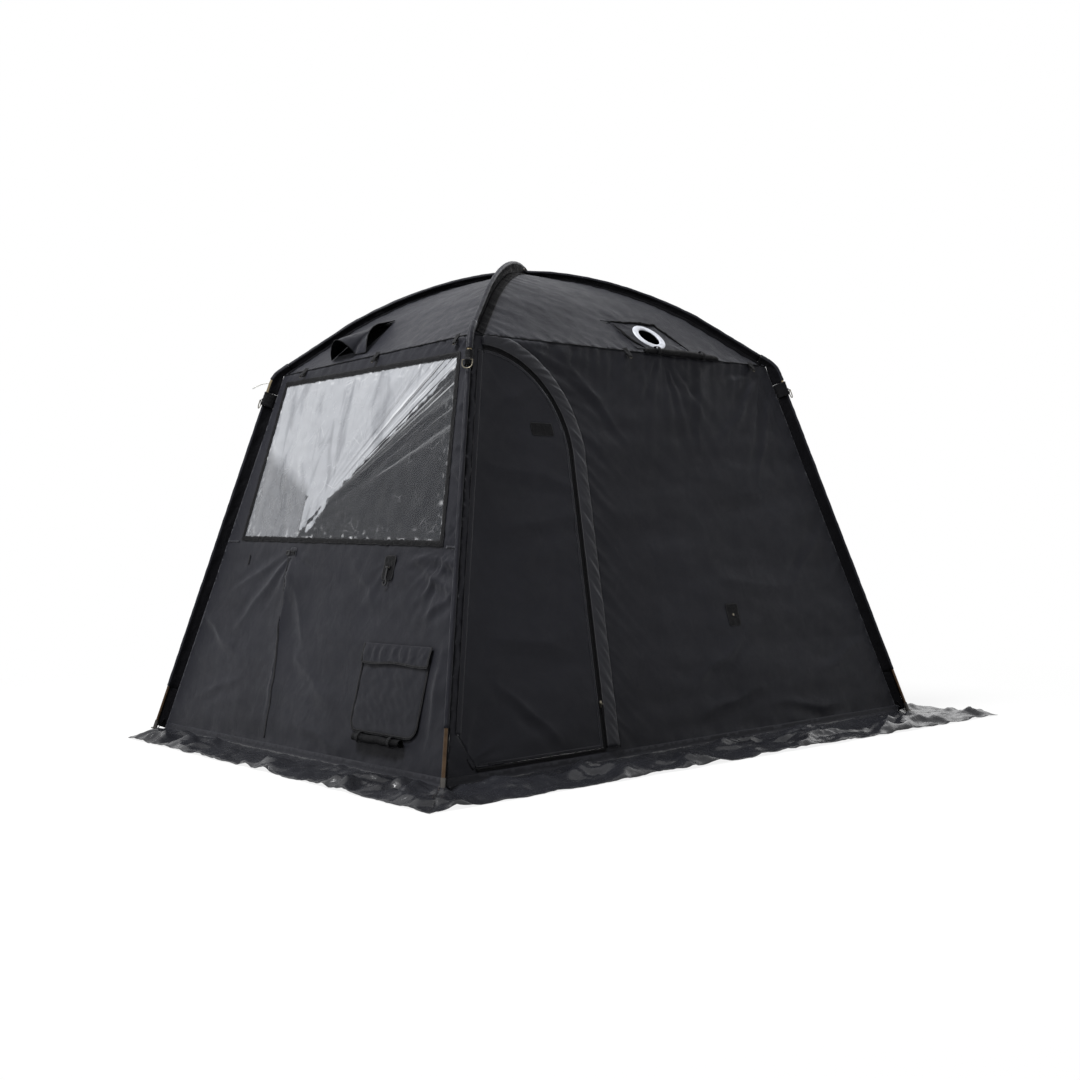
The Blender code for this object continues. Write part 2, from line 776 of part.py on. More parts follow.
def ridge_sleeve(name, first, second, material):
    """A sleeve over a whole arch, from elbow to elbow. The upper one is notched where the lower one crosses."""
    radius = SLEEVE_RADIUS
    rings = [sleeve_ring(first, p, s, radius, SEAM_HALF * 2) for p, s in ridge_half(first)]
    for pole, seam in ridge_half(second)[-2::-1]:
        ring = sleeve_ring(second, pole, seam, radius, SEAM_HALF * 2)
        rings.append(mirrored_section(ring))
    obj = loft(name, rings, material)
    centre = [in_space(first, p) for p, _ in ridge_half(first)]
    centre += [in_space(second, p) for p, _ in ridge_half(second)][-2::-1]
    start = centre[0] + (centre[0] - centre[1]).normalized() * OVERRUN
    end = centre[-1] + (centre[-1] - centre[-2]).normalized() * OVERRUN
    path = [start] + centre[1:-1] + [end]
    combine(obj, tube(name + "_bore", path, BORE_RADIUS, material))
    if first in UPPER_CORNERS:
        combine(obj, crossing_notch(first, material))
    return obj


def mirrored_section(ring):
    """The same section walked the other way round, so that both halves of an arch join."""
    return [ring[1], ring[0]] + ring[:1:-1]


def crossing_notch(corner, material):
    """Room under the upper sleeve for the lower one."""
    out, across = corner_basis(corner)
    crossing = Vector((FOOT_HALF_LENGTH, -FOOT_HALF_WIDTH, 0)).normalized()
    top = LOWER_CROWN_DEPTH + SLEEVE_RADIUS + GAP
    size = (2 * NOTCH_HALF_WIDTH, 4 * UPPER_CROWN_DEPTH, top + UPPER_CROWN_DEPTH)
    matrix = matrix_of(UP * (CROWN_HEIGHT + top - size[2] / 2), UP.cross(crossing), crossing)
    return block("crossing_notch", size, (0, 0, 0), material, matrix)


def ring_frame(corner):
    """The D-ring's frame: X along its bar, Y up the leg and Z away from the leg."""
    out, across = corner_basis(corner)
    leg = in_space(corner, leg_direction())
    distance = socket_distance(corner) + PATCH_LENGTH * RING_RISE_SHARE
    pole, _ = leg_station(distance)
    outward = across.cross(leg)
    lift = PATCH_BORE + PATCH_CLOTH + RING_LUG_RADIUS - PIN_FIT
    return matrix_of(in_space(corner, pole) + outward * lift, across, leg)


def corner_patch(corner, material):
    """A wrap over the elbow's socket, with the lug that holds the D-ring's bar."""
    start = socket_distance(corner)
    stations = [leg_station(start), leg_station(start + PATCH_LENGTH)]
    name = "corner_patch_" + corner
    obj = sleeve(name, corner, stations, PATCH_BORE + PATCH_CLOTH, PATCH_BORE, PATCH_SHOULDER, material)
    frame = ring_frame(corner)
    lug = cylinder(name + "_lug", RING_LUG_RADIUS, 2 * RING_LUG_HALF_WIDTH, material, frame)
    combine(obj, lug, "UNION")
    bar_hole = cylinder(
        name + "_bar_hole", RING_WIRE + PIN_FIT, 2 * RING_HALF_WIDTH, material, frame.copy()
    )
    return combine(obj, bar_hole)


def d_ring(corner, material):
    points = [Vector((-RING_HALF_WIDTH, 0, 0)), Vector((RING_HALF_WIDTH, 0, 0))]
    for p in arc((0, -RING_DROP), RING_HALF_WIDTH, RING_HALF_WIDTH, 0, -180, 8):
        points.append(Vector((p.x, p.y, 0)))
    name = "d_ring_" + corner
    return tube(name, points, RING_WIRE, material, rounds=2, closed=True, matrix=ring_frame(corner))


# Skirts


def skirt(side, material):
    """A skirt sewn to the wall's hem that turns out over the ground, crumpled along its middle."""
    out, along, depth, width = SIDES[side]
    frame = wall_frame(side)
    lift = FABRIC_THICKNESS + GAP
    hem = frame @ Vector((0, SKIRT_TOP, lift))
    hem_depth = hem.dot(out)
    hem_along = width * wall_share(hem.z)
    low_depth = (frame @ Vector((0, HEM_HEIGHT, lift))).dot(out) + SKIRT_CLOTH * 2
    ends = [Vector((end.dot(along.xy), end.dot(out.xy))) for end in SKIRT_ENDS[side]]
    bm = bmesh.new()
    bmesh.ops.create_grid(bm, x_segments=SKIRT_COLUMNS, y_segments=SKIRT_ROWS, size=1.0)
    for vert in bm.verts:
        across = (vert.co.x + 1) / 2
        down = (1 - vert.co.y) / 2
        reach = lerp(ends[0].y, ends[1].y, across)
        if down < 1 / SKIRT_ROWS / 2:
            r = hem_depth
            z = hem.z
        else:
            turn = (down - 1 / SKIRT_ROWS) / (1 - 1 / SKIRT_ROWS)
            r = lerp(low_depth, reach, turn)
            z = skirt_height(turn, across, r - low_depth)
        share = (r - hem_depth) / (reach - hem_depth)
        left = lerp(-hem_along, ends[0].x, share) + SLOT_HALF
        right = lerp(hem_along, ends[1].x, share) - SLOT_HALF
        vert.co = out * r + UP * z + along * lerp(left, right, across)
    obj = add_object("skirt_" + side, mesh_from(bm, "skirt_" + side, solid=False), material)
    solid = obj.modifiers.new("cloth", "SOLIDIFY")
    solid.thickness = SKIRT_CLOTH
    solid.offset = 1
    solid.use_even_offset = True
    return obj


def skirt_height(turn, across, run):
    """Height of the skirt over the ground: a soft turn at the wall, then folds that die out at the hem."""
    settle = HEM_HEIGHT * math.exp(-run / (SKIRT_CURVE / 2))
    wave = math.sin(math.pi * SKIRT_FOLDS * across + 2.4 * turn)
    cross_wave = math.sin(math.pi * SKIRT_FOLDS * 1.7 * across - 3.1 * turn + 1)
    crest = max(0.0, 0.62 * wave + 0.38 * cross_wave)
    return settle + SKIRT_FOLD * crest * math.sin(math.pi * min(1.0, turn + 0.06)) * (1 - 0.3 * turn)


def foot_eyelet(corner, material):
    centre = in_space(corner, leg_point(0))
    matrix = matrix_of(centre, UP, Vector((1, 0, 0)))
    return cylinder("eyelet_" + corner, FOOT_EYELET, 4 * OVERRUN * 2, material, matrix)


# Door


def hinge_along(up):
    """The door's sewn edge, parallel to the corner."""
    return -corner_along("front", up) + HINGE_INSET


def door_top():
    """The doorway's highest point, a little below the eave."""
    return wall_slope("front") - DOOR_HEAD_DROP


def door_edge():
    """The zipped edge of the doorway: from the chamfer along the sill, up the jamb and over the arch."""
    chamfer_x = hinge_along(DOOR_SILL) + DOOR_CHAMFER_LENGTH
    top = door_top()
    top_x = hinge_along(top)
    arch = arc((top_x, DOOR_SPRING_HEIGHT), DOOR_SPRING_X - top_x, top - DOOR_SPRING_HEIGHT, 0, 88, 14)
    return [Vector((chamfer_x, DOOR_SILL)), Vector((DOOR_FOOT_X, DOOR_SILL))] + arch


def doorway_outline(inset, hinge_inset):
    """The whole doorway, drawn in at its zipped edge and at its hinge."""
    edge = offset_path(door_edge(), inset)
    chamfer_top = DOOR_SILL + DOOR_CHAMFER_HEIGHT
    hinge_top = Vector((hinge_along(edge[-1].y) + hinge_inset, edge[-1].y))
    hinge_foot = Vector((hinge_along(chamfer_top) + hinge_inset, chamfer_top + inset))
    return edge[:-1] + [hinge_top, hinge_foot]


def hinge_frame():
    """The door's frame: its origin on the sewn edge, its Y axis along it, Z outwards."""
    frame = wall_frame("front")
    low = Vector((hinge_along(0), 0, FABRIC_THICKNESS))
    high = Vector((hinge_along(door_top()), door_top(), FABRIC_THICKNESS))
    y_axis = (frame.to_3x3() @ (high - low)).normalized()
    normal = frame.to_3x3() @ Vector((0, 0, 1))
    return matrix_of(frame @ low, y_axis.cross(normal), y_axis)


def keep_origin(obj, matrix):
    """Gives the object a new origin and axes without moving its mesh."""
    obj.data.transform(matrix.inverted() @ obj.matrix_world)
    obj.matrix_world = matrix
    return obj


def door_panel(material):
    outline = doorway_outline(GAP, HINGE_CLEARANCE)
    obj = plate("door_panel", [outline], FABRIC_THICKNESS, material, wall_frame("front"))
    return keep_origin(obj, hinge_frame())


def band_outline(inner, outer, limit):
    """A strip beside the zipped edge, from one distance outside it to another."""
    edge = door_edge()
    near = offset_path(edge, -inner)
    far = offset_path(edge, -outer)
    corner = [Vector((max(p.x, -corner_along("front", p.y) + CORNER_MARGIN), min(p.y, limit))) for p in far]
    return near + corner[::-1]


def door_zip(material):
    outline = band_outline(ZIP_INNER, ZIP_INNER + ZIP_WIDTH, door_top() + ZIP_WIDTH * 2)
    lift = FABRIC_THICKNESS + GAP
    return plate("door_zip", [outline], ZIP_THICKNESS, material, wall_frame("front"), lift)


def storm_flap(material):
    """The padded band along the jamb and the arch."""
    limit = wall_slope("front") - EAVE_MARGIN
    edge = door_edge()[1:]
    near = offset_path(edge, -STORM_INNER)
    far = offset_path(edge, -STORM_INNER - STORM_WIDTH)
    outline = near + [Vector((p.x, min(p.y, limit))) for p in far][::-1]
    lift = FABRIC_THICKNESS + GAP
    return plate("storm_flap", [outline], STORM_THICKNESS, material, wall_frame("front"), lift, STORM_EDGE)


def slider_frame():
    """The slider's frame on the jamb's straight run: Y along it, Z outwards."""
    foot = Vector((DOOR_FOOT_X, DOOR_SILL))
    spring = Vector((DOOR_SPRING_X, DOOR_SPRING_HEIGHT))
    step = (spring - foot).normalized()
    right = Vector((step.y, -step.x))
    centre = foot + step * SLIDER_START + right * (ZIP_INNER + ZIP_WIDTH / 2)
    lift = FABRIC_THICKNESS + ZIP_THICKNESS + 2 * GAP
    frame = wall_frame("front")
    turn = frame.to_3x3()
    origin = frame @ Vector((centre.x, centre.y, lift))
    return matrix_of(origin, turn @ Vector((right.x, right.y, 0)), turn @ Vector((step.x, step.y, 0)))


def zip_slider(material):
    """A slider body with two ears and the pin that the pull tab swings on."""
    frame = slider_frame()
    half_width = SLIDER_WIDTH / 2
    outline = [
        (-half_width * 0.6, -SLIDER_LENGTH / 2),
        (half_width * 0.6, -SLIDER_LENGTH / 2),
        (half_width, SLIDER_LENGTH * 0.2),
        (half_width * 0.8, SLIDER_LENGTH / 2),
        (-half_width * 0.8, SLIDER_LENGTH / 2),
        (-half_width, SLIDER_LENGTH * 0.2),
    ]
    obj = plate("zip_slider", [outline], SLIDER_THICKNESS, material, frame)
    for sign in (-1, 1):
        centre = (sign * (half_width - EAR_THICKNESS), 0, SLIDER_THICKNESS + EAR_HEIGHT / 2 - GAP)
        size = (EAR_THICKNESS, 2 * PULL_EYE_RADIUS, EAR_HEIGHT + GAP)
        combine(obj, block(f"slider_ear_{sign}", size, centre, material, frame), "UNION")
    pin = cylinder(
        "slider_pin", PULL_PIN_RADIUS, SLIDER_WIDTH - 2 * EAR_THICKNESS, material, pull_frame(), 10
    )
    return combine(obj, pin, "UNION")


def pull_frame():
    height = SLIDER_THICKNESS + PULL_EYE_RADIUS + PIN_FIT + GAP
    return slider_frame() @ Matrix.Translation((0, 0, height))


def zip_pull(material):
    frame = pull_frame()
    half_width = PULL_WIDTH / 2
    outline = [(-half_width, -PULL_LENGTH), (half_width, -PULL_LENGTH)]
    outline += [(half_width * 0.8, 0), (-half_width * 0.8, 0)]
    obj = plate("zip_pull", [outline], PULL_THICKNESS, material, frame, -PULL_THICKNESS / 2)
    eye = cylinder("pull_eye", PULL_EYE_RADIUS, PULL_WIDTH, material, frame, 14)
    keep_origin(obj, frame)
    combine(obj, eye, "UNION")
    hole = cylinder("pull_eye_hole", PULL_PIN_RADIUS + PIN_FIT, PULL_WIDTH * 2, material, frame, 14)
    return combine(obj, hole)


# Window


def window_outline(grow):
    """The window's four corners, moved outwards by the given amount."""
    corners = [WINDOW_FOOT_LEFT, WINDOW_FOOT_RIGHT, WINDOW_HEAD_RIGHT, WINDOW_HEAD_LEFT]
    corners = [Vector(corner) for corner in corners]
    ring = offset_path([corners[-1]] + corners + [corners[0]], -grow)
    return ring[1:-1]


def window_pane(material):
    return plate("window_pane", [window_outline(-GAP)], PANE_THICKNESS, material, wall_frame("left"))


def window_binding(material):
    loops = [window_outline(BINDING_OUTER), window_outline(-BINDING_INNER)]
    lift = FABRIC_THICKNESS + GAP
    return plate("window_binding", loops, BINDING_THICKNESS, material, wall_frame("left"), lift)


# Chimney outlet


def chimney_panel(material):
    outline = [
        (CHIMNEY_PANEL_FOOT_LEFT, CHIMNEY_PANEL_FOOT),
        (CHIMNEY_PANEL_FOOT_RIGHT, CHIMNEY_PANEL_FOOT),
        (CHIMNEY_PANEL_HEAD_RIGHT, CHIMNEY_PANEL_HEAD),
        (CHIMNEY_PANEL_HEAD_LEFT, CHIMNEY_PANEL_HEAD),
    ]
    loops = [outline]
    loops.append(disc(CHIMNEY_ALONG, CHIMNEY_UP, CHIMNEY_HOLE_RADIUS))
    lift = FABRIC_THICKNESS + GAP
    return plate("chimney_panel", loops, CHIMNEY_PANEL_THICKNESS, material, roof_frame("front"), lift)


def chimney_ring(material):
    """The heat-proof ring, with a rounded top, that the pipe passes through."""
    lift = FABRIC_THICKNESS + CHIMNEY_PANEL_THICKNESS + 2 * GAP
    inner = CHIMNEY_HOLE_RADIUS - SLIP_FIT
    middle = (inner + CHIMNEY_RING_RADIUS) / 2
    half = (CHIMNEY_RING_RADIUS - inner) / 2
    profile = [(p.x, p.y) for p in arc((middle, 0), half, CHIMNEY_RING_THICKNESS, 180, 0, 8)]
    matrix = roof_frame("front") @ Matrix.Translation((CHIMNEY_ALONG, CHIMNEY_UP, lift))
    return turned("chimney_ring", profile, material, matrix, steps=28, closed=True)


def chimney_flap(material):
    """The rain flap, rolled up below the ring: a long roll, tapered to its ends, with soft turns."""
    frame = roof_frame("front")
    rings = []
    lift = FABRIC_THICKNESS + GAP
    stations = 12
    for i in range(stations + 1):
        share = i / stations
        along = FLAP_ROLL_ALONG + lerp(-FLAP_ROLL_LENGTH / 2, FLAP_ROLL_LENGTH / 2, share)
        radius = FLAP_ROLL_RADIUS * (0.55 + 0.45 * math.sin(math.pi * share) ** 0.5)
        ring = []
        for k in range(16):
            angle = 2 * math.pi * k / 16
            pinch = 1 - 0.10 * (1 + math.cos(FLAP_ROLL_TURNS * 2 * math.pi * share)) / 2
            y = FLAP_ROLL_UP + radius * pinch * math.cos(angle)
            z = lift + radius * FLAP_ROLL_FLATNESS * (1 + pinch * math.sin(angle))
            ring.append(frame @ Vector((along, y, z)))
        rings.append(ring)
    return loft("chimney_flap", rings, material)


# Roof vent


def vent_outline(grow):
    return [
        (VENT_ALONG - VENT_HALF_LENGTH - grow, VENT_UP - VENT_HALF_WIDTH - grow),
        (VENT_ALONG + VENT_HALF_LENGTH + grow, VENT_UP - VENT_HALF_WIDTH - grow),
        (VENT_ALONG + VENT_HALF_LENGTH + grow, VENT_UP + VENT_HALF_WIDTH + grow),
        (VENT_ALONG - VENT_HALF_LENGTH - grow, VENT_UP + VENT_HALF_WIDTH + grow),
    ]


def vent_mesh(material):
    """A coarse net in the vent's opening."""
    loops = [vent_outline(-GAP)]
    cell = (2 * VENT_HALF_LENGTH - 2 * GAP - VENT_BAR_WIDTH) / VENT_BARS
    cell_up = (2 * VENT_HALF_WIDTH - 2 * GAP - VENT_BAR_WIDTH) / VENT_ROWS
    left = VENT_ALONG - VENT_HALF_LENGTH + GAP + VENT_BAR_WIDTH
    foot = VENT_UP - VENT_HALF_WIDTH + GAP + VENT_BAR_WIDTH
    for column in range(VENT_BARS):
        for row in range(VENT_ROWS):
            x0 = left + column * cell
            y0 = foot + row * cell_up
            x1 = x0 + cell - VENT_BAR_WIDTH
            y1 = y0 + cell_up - VENT_BAR_WIDTH
            loops.append([(x0, y0), (x1, y0), (x1, y1), (x0, y1)])
    return plate("vent_mesh", loops, NET_THICKNESS, material, roof_frame("left"))


def hood_frame():
    """The hood's frame on its sewn upper edge."""
    lift = FABRIC_THICKNESS + GAP
    offset = (HOOD_ALONG, VENT_UP + HOOD_HALF_WIDTH, lift)
    return roof_frame("left") @ Matrix.Translation(offset)


def vent_hood(material):
    """A hood that is sewn along its upper and left edges and arches open along the lower and right ones."""
    bm = bmesh.new()
    bmesh.ops.create_grid(bm, x_segments=14, y_segments=10, size=1.0)
    for vert in bm.verts:
        u = (vert.co.x + 1) / 2
        v = (vert.co.y + 1) / 2
        lower = HOOD_RISE * math.sin(math.pi * u) ** 0.7 * (1 - v) ** 1.4
        right = HOOD_SIDE_RISE * math.sin(math.pi * v**0.8) ** 1.2 * u**2.2
        rise = lower + right
        across = (2 * u - 1) * HOOD_HALF_LENGTH + HOOD_LEAN * lower * (1 - u) - HOOD_HEAD_INSET * u * v
        vert.co = Vector((across, (v - 1) * 2 * HOOD_HALF_WIDTH, rise))
    obj = add_object("vent_hood", mesh_from(bm, "vent_hood", solid=False), material, hood_frame())
    solid = obj.modifiers.new("cloth", "SOLIDIFY")
    solid.thickness = HOOD_CLOTH
    solid.offset = 1
    return obj


# Low port


def port_panel(material):
    outline = rounded_rectangle(
        PORT_ALONG - PORT_HALF_LENGTH, PORT_ALONG + PORT_HALF_LENGTH, PORT_FOOT_HEIGHT, PORT_HEAD_HEIGHT, PORT_FILLET
    )
    lift = FABRIC_THICKNESS + GAP
    return plate("port_panel", [outline], PORT_THICKNESS, material, wall_frame("left"), lift, STORM_EDGE)


def port_flap_frame():
    lift = FABRIC_THICKNESS + PORT_THICKNESS + 2 * GAP
    return wall_frame("left") @ Matrix.Translation((PORT_ALONG, PORT_HEAD_HEIGHT, lift))


def port_flap(material):
    """The puckered flap over the port, on its sewn upper edge."""
    bm = bmesh.new()
    bmesh.ops.create_grid(bm, x_segments=24, y_segments=4, size=1.0)
    half = PORT_HALF_LENGTH + PORT_FLAP_OVERHANG
    for vert in bm.verts:
        u = (vert.co.x + 1) / 2
        v = (1 - vert.co.y) / 2
        pucker = PORT_FLAP_THICKNESS * (1 + math.sin(2 * math.pi * 7 * u)) * math.sin(math.pi * v) / 2
        vert.co = Vector(((2 * u - 1) * half, -v * PORT_FLAP_HEIGHT, pucker))
    obj = add_object("port_flap", mesh_from(bm, "port_flap", solid=False), material, port_flap_frame())
    solid = obj.modifiers.new("cloth", "SOLIDIFY")
    solid.thickness = PORT_FLAP_THICKNESS
    solid.offset = 1
    return obj


def port_roll(material):
    """The port's inner cover, rolled up at its foot."""
    frame = wall_frame("left")
    lift = FABRIC_THICKNESS + GAP + PORT_ROLL_RADIUS
    rings = []
    stations = 10
    for i in range(stations + 1):
        share = i / stations
        along = PORT_ALONG + lerp(-PORT_ROLL_LENGTH / 2, PORT_ROLL_LENGTH / 2, share)
        radius = PORT_ROLL_RADIUS * (0.86 + 0.14 * math.sin(math.pi * share))
        ring = []
        for k in range(14):
            angle = 2 * math.pi * k / 14
            wobble = 1 - 0.06 * math.cos(2 * math.pi * 3 * share)
            y = PORT_ROLL_HEIGHT + radius * wobble * math.cos(angle)
            z = lift + radius * wobble * math.sin(angle) - (PORT_ROLL_RADIUS - radius)
            ring.append(frame @ Vector((along, y, max(z, FABRIC_THICKNESS + GAP))))
        rings.append(ring)
    return loft("port_roll", rings, material)


# Tabs, hook, strap and guy loop


def tab_outline(along, height):
    return rounded_rectangle(
        along - TAB_HALF_WIDTH, along + TAB_HALF_WIDTH, height - TAB_HALF_HEIGHT, height + TAB_HALF_HEIGHT, TAB_FILLET
    )


def hook_frame():
    lift = FABRIC_THICKNESS + GAP + TAB_THICKNESS + HOOK_EYE_RADIUS + GAP
    return wall_frame("left") @ Matrix.Translation((HOOK_TAB_ALONG, HOOK_TAB_HEIGHT, lift))


def hook_tab(material):
    """A reinforced tab with a sewn bar that the hook swings on."""
    frame = wall_frame("left")
    lift = FABRIC_THICKNESS + GAP
    obj = plate("hook_tab", [tab_outline(HOOK_TAB_ALONG, HOOK_TAB_HEIGHT)], TAB_THICKNESS, material, frame, lift)
    pivot = hook_frame()
    for sign in (-1, 1):
        centre = (sign * TAB_BAR_LENGTH / 2, 0, (TAB_EAR_HEIGHT - 2 * HOOK_EYE_RADIUS - GAP) / 2 - GAP)
        size = (TAB_EAR_THICKNESS, 2 * HOOK_EYE_RADIUS, TAB_EAR_HEIGHT + GAP)
        combine(obj, block(f"tab_ear_{sign}", size, centre, material, pivot), "UNION")
    bar = cylinder("tab_bar", TAB_BAR_RADIUS, TAB_BAR_LENGTH, material, pivot)
    return combine(obj, bar, "UNION")


def tab_hook(material):
    """A flat hook that hangs from its eye."""
    frame = hook_frame()
    centre = (0, -HOOK_LENGTH + HOOK_WIDTH)
    half = HOOK_WIDTH * 0.35
    inner_radius = HOOK_WIDTH * 0.55
    outline = [Vector((half, 0)), Vector((half, centre[1] + HOOK_WIDTH * 1.2))]
    outline += arc(centre, HOOK_WIDTH, HOOK_WIDTH, 50, -200, 12)
    outline += arc(centre, inner_radius, inner_radius, -200, 50, 12)
    outline += [Vector((-half, centre[1] + HOOK_WIDTH * 0.9)), Vector((-half, 0))]
    obj = plate("tab_hook", [outline], HOOK_THICKNESS, material, frame, -HOOK_THICKNESS / 2)
    keep_origin(obj, frame)
    eye = cylinder("hook_eye", HOOK_EYE_RADIUS, HOOK_WIDTH, material, frame)
    combine(obj, eye, "UNION")
    hole = cylinder("hook_eye_hole", TAB_BAR_RADIUS + PIN_FIT, HOOK_WIDTH * 2, material, frame)
    return combine(obj, hole)


def door_wall_tab(material):
    """A reinforced tab with a domed rivet."""
    frame = wall_frame("front")
    lift = FABRIC_THICKNESS + GAP
    outline = tab_outline(DOOR_TAB_ALONG, DOOR_TAB_HEIGHT)
    obj = plate("door_wall_tab", [outline], TAB_THICKNESS, material, frame, lift)
    profile = [(TAB_BAR_RADIUS * 2, -TAB_THICKNESS / 2)]
    centre = frame @ Matrix.Translation((DOOR_TAB_ALONG, DOOR_TAB_HEIGHT, lift + TAB_THICKNESS))
    dome = [(0, TAB_BAR_RADIUS)]
    dome += [(p.x, p.y) for p in arc((0, 0), TAB_BAR_RADIUS * 2, TAB_BAR_RADIUS, 70, 0, 4)]
    rivet = turned("tab_rivet", dome + profile + [(0, -TAB_THICKNESS / 2)], material, centre, steps=16)
    return combine(obj, rivet, "UNION")


def window_strap(material):
    """A folded strap under the window, with a buckle half at its end."""
    frame = wall_frame("left")
    lift = FABRIC_THICKNESS + GAP
    outline = rounded_rectangle(
        STRAP_ALONG - STRAP_HALF_WIDTH,
        STRAP_ALONG + STRAP_HALF_WIDTH,
        STRAP_HEIGHT - STRAP_HALF_HEIGHT,
        STRAP_HEIGHT + STRAP_HALF_HEIGHT,
        TAB_FILLET,
    )
    obj = plate("window_strap", [outline], TAB_THICKNESS, material, frame, lift)
    left = STRAP_ALONG - BUCKLE_LENGTH
    foot = STRAP_HEIGHT - BUCKLE_HALF_WIDTH
    head = STRAP_HEIGHT + BUCKLE_HALF_WIDTH
    buckle = rounded_rectangle(left, STRAP_ALONG, foot, head, TAB_FILLET)
    body = plate("buckle_body", [buckle], BUCKLE_THICKNESS, material, frame, lift + TAB_THICKNESS / 2)
    return combine(obj, body, "UNION")


def guy_loop(corner, material):
    """A thin cord loop whose two ends meet the elbow."""
    out, across = corner_basis(corner)
    pole, _ = leg_station(socket_distance(corner) + PATCH_LENGTH + GUY_LOOP_RISE)
    start = ELBOW_RADIUS + GUY_LOOP_CLEARANCE
    points = []
    steps = 16
    for i in range(steps + 1):
        share = i / steps
        angle = math.pi * share
        reach = start + (GUY_LOOP_REACH - start) * math.sin(angle)
        swing = -math.cos(angle) * lerp(GUY_LOOP_FOOT, GUY_LOOP_SPREAD, math.sin(angle))
        drop = GUY_LOOP_DROP * math.sin(angle) ** 2
        points.append(in_space(corner, pole) + out * reach + across * swing - UP * drop)
    return tube("guy_loop", points, GUY_CORD_RADIUS, material, rounds=2)


# The tent


def build():
    shell = new_material("shell_fabric", (0.030, 0.031, 0.034), 0.62)
    sleeve_cloth = new_material("sleeve_fabric", (0.012, 0.012, 0.014), 0.66)
    skirt_cloth = new_material("skirt_fabric", (0.055, 0.056, 0.062), 0.42)
    trim = new_material("webbing", (0.008, 0.008, 0.009), 0.7)
    clear = new_material("clear_pvc", (0.80, 0.82, 0.84), 0.12, alpha=0.35)
    bronze = new_material("pole_bronze", (0.115, 0.075, 0.05), 0.34, metallic=1.0)
    elbow_metal = new_material("elbow_metal", (0.42, 0.37, 0.29), 0.38, metallic=1.0)
    steel = new_material("ring_steel", (0.55, 0.53, 0.48), 0.3, metallic=1.0)
    silver = new_material("heat_ring", (0.62, 0.64, 0.68), 0.45)
    plastic = new_material("hook_plastic", (0.012, 0.012, 0.013), 0.4)
    cord = new_material("guy_cord", (0.62, 0.62, 0.60), 0.7)

    panels = {side: wall(side, shell) for side in SIDES}
    gores = {side: gore(side, shell) for side in SIDES}
    skirts = {side: skirt(side, skirt_cloth) for side in SIDES}
    for corner, (sign_x, sign_y) in CORNERS.items():
        leg_pole(corner, bronze)
        elbow(corner, elbow_metal)
        foot_tip(corner, steel)
        corner_sleeve(corner, sleeve_cloth)
        corner_patch(corner, trim)
        d_ring(corner, steel)
        side_x = "left" if sign_x < 0 else "right"
        side_y = "front" if sign_y < 0 else "rear"
        for side in (side_x, side_y) if corner != CUT_CORNER else ():
            eyelet = foot_eyelet(corner, trim)
            eyelet.name = f"eyelet_{corner}_{side}"
            combine(skirts[side], eyelet)
    roof_arch("roof_arch_upper", "front_left", "rear_right", bronze)
    roof_arch("roof_arch_lower", "front_right", "rear_left", bronze)
    ridge_sleeve("ridge_sleeve_upper", "front_left", "rear_right", sleeve_cloth)
    ridge_sleeve("ridge_sleeve_lower", "front_right", "rear_left", sleeve_cloth)

    doorway = plate(
        "doorway", [doorway_outline(0, 0)], 2 * OVERRUN, trim, wall_frame("front"), -OVERRUN
    )
    combine(panels["front"], doorway)
    window = plate("window_cut", [window_outline(0)], 2 * OVERRUN, trim, wall_frame("left"), -OVERRUN)
    combine(panels["left"], window)
    flue = plate(
        "flue_cut",
        [disc(CHIMNEY_ALONG, CHIMNEY_UP, CHIMNEY_HOLE_RADIUS)],
        2 * OVERRUN,
        trim,
        roof_frame("front"),
        -OVERRUN,
    )
    combine(gores["front"], flue)
    vent = plate("vent_cut", [vent_outline(0)], 2 * OVERRUN, trim, roof_frame("left"), -OVERRUN)
    combine(gores["left"], vent)

    door_panel(shell)
    door_zip(trim)
    storm_flap(shell)
    zip_slider(steel)
    zip_pull(trim)
    window_pane(clear)
    window_binding(trim)
    chimney_panel(shell)
    chimney_ring(silver)
    chimney_flap(trim)
    vent_mesh(trim)
    vent_hood(shell)
    port_panel(shell)
    port_flap(shell)
    port_roll(trim)
    hook_tab(trim)
    tab_hook(plastic)
    door_wall_tab(trim)
    window_strap(trim)
    guy_loop("rear_left", cord)


clear_scene()
tent = new_collection("sauna_tent")
cutters = new_collection("cutters")
build()
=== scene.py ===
import math

import bmesh
import bpy
import numpy as np
from mathutils import Matrix, Vector
from mathutils.geometry import delaunay_2d_cdt


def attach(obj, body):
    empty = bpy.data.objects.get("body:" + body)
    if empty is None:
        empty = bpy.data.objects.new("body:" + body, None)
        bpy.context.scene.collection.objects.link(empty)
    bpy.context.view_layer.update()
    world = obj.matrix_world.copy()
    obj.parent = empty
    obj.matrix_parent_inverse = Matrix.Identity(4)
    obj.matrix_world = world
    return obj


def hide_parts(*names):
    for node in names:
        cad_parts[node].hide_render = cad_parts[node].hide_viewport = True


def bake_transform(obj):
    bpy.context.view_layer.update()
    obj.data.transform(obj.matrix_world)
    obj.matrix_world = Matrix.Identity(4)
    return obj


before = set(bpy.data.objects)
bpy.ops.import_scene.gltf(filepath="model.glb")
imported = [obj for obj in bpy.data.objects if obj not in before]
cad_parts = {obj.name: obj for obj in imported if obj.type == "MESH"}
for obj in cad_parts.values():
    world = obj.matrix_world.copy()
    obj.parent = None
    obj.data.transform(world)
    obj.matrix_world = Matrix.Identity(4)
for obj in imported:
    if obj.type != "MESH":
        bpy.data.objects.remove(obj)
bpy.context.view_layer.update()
bpy.ops.object.select_all(action="DESELECT")
print("frame loaded")

up = Vector((0, 0, 1))

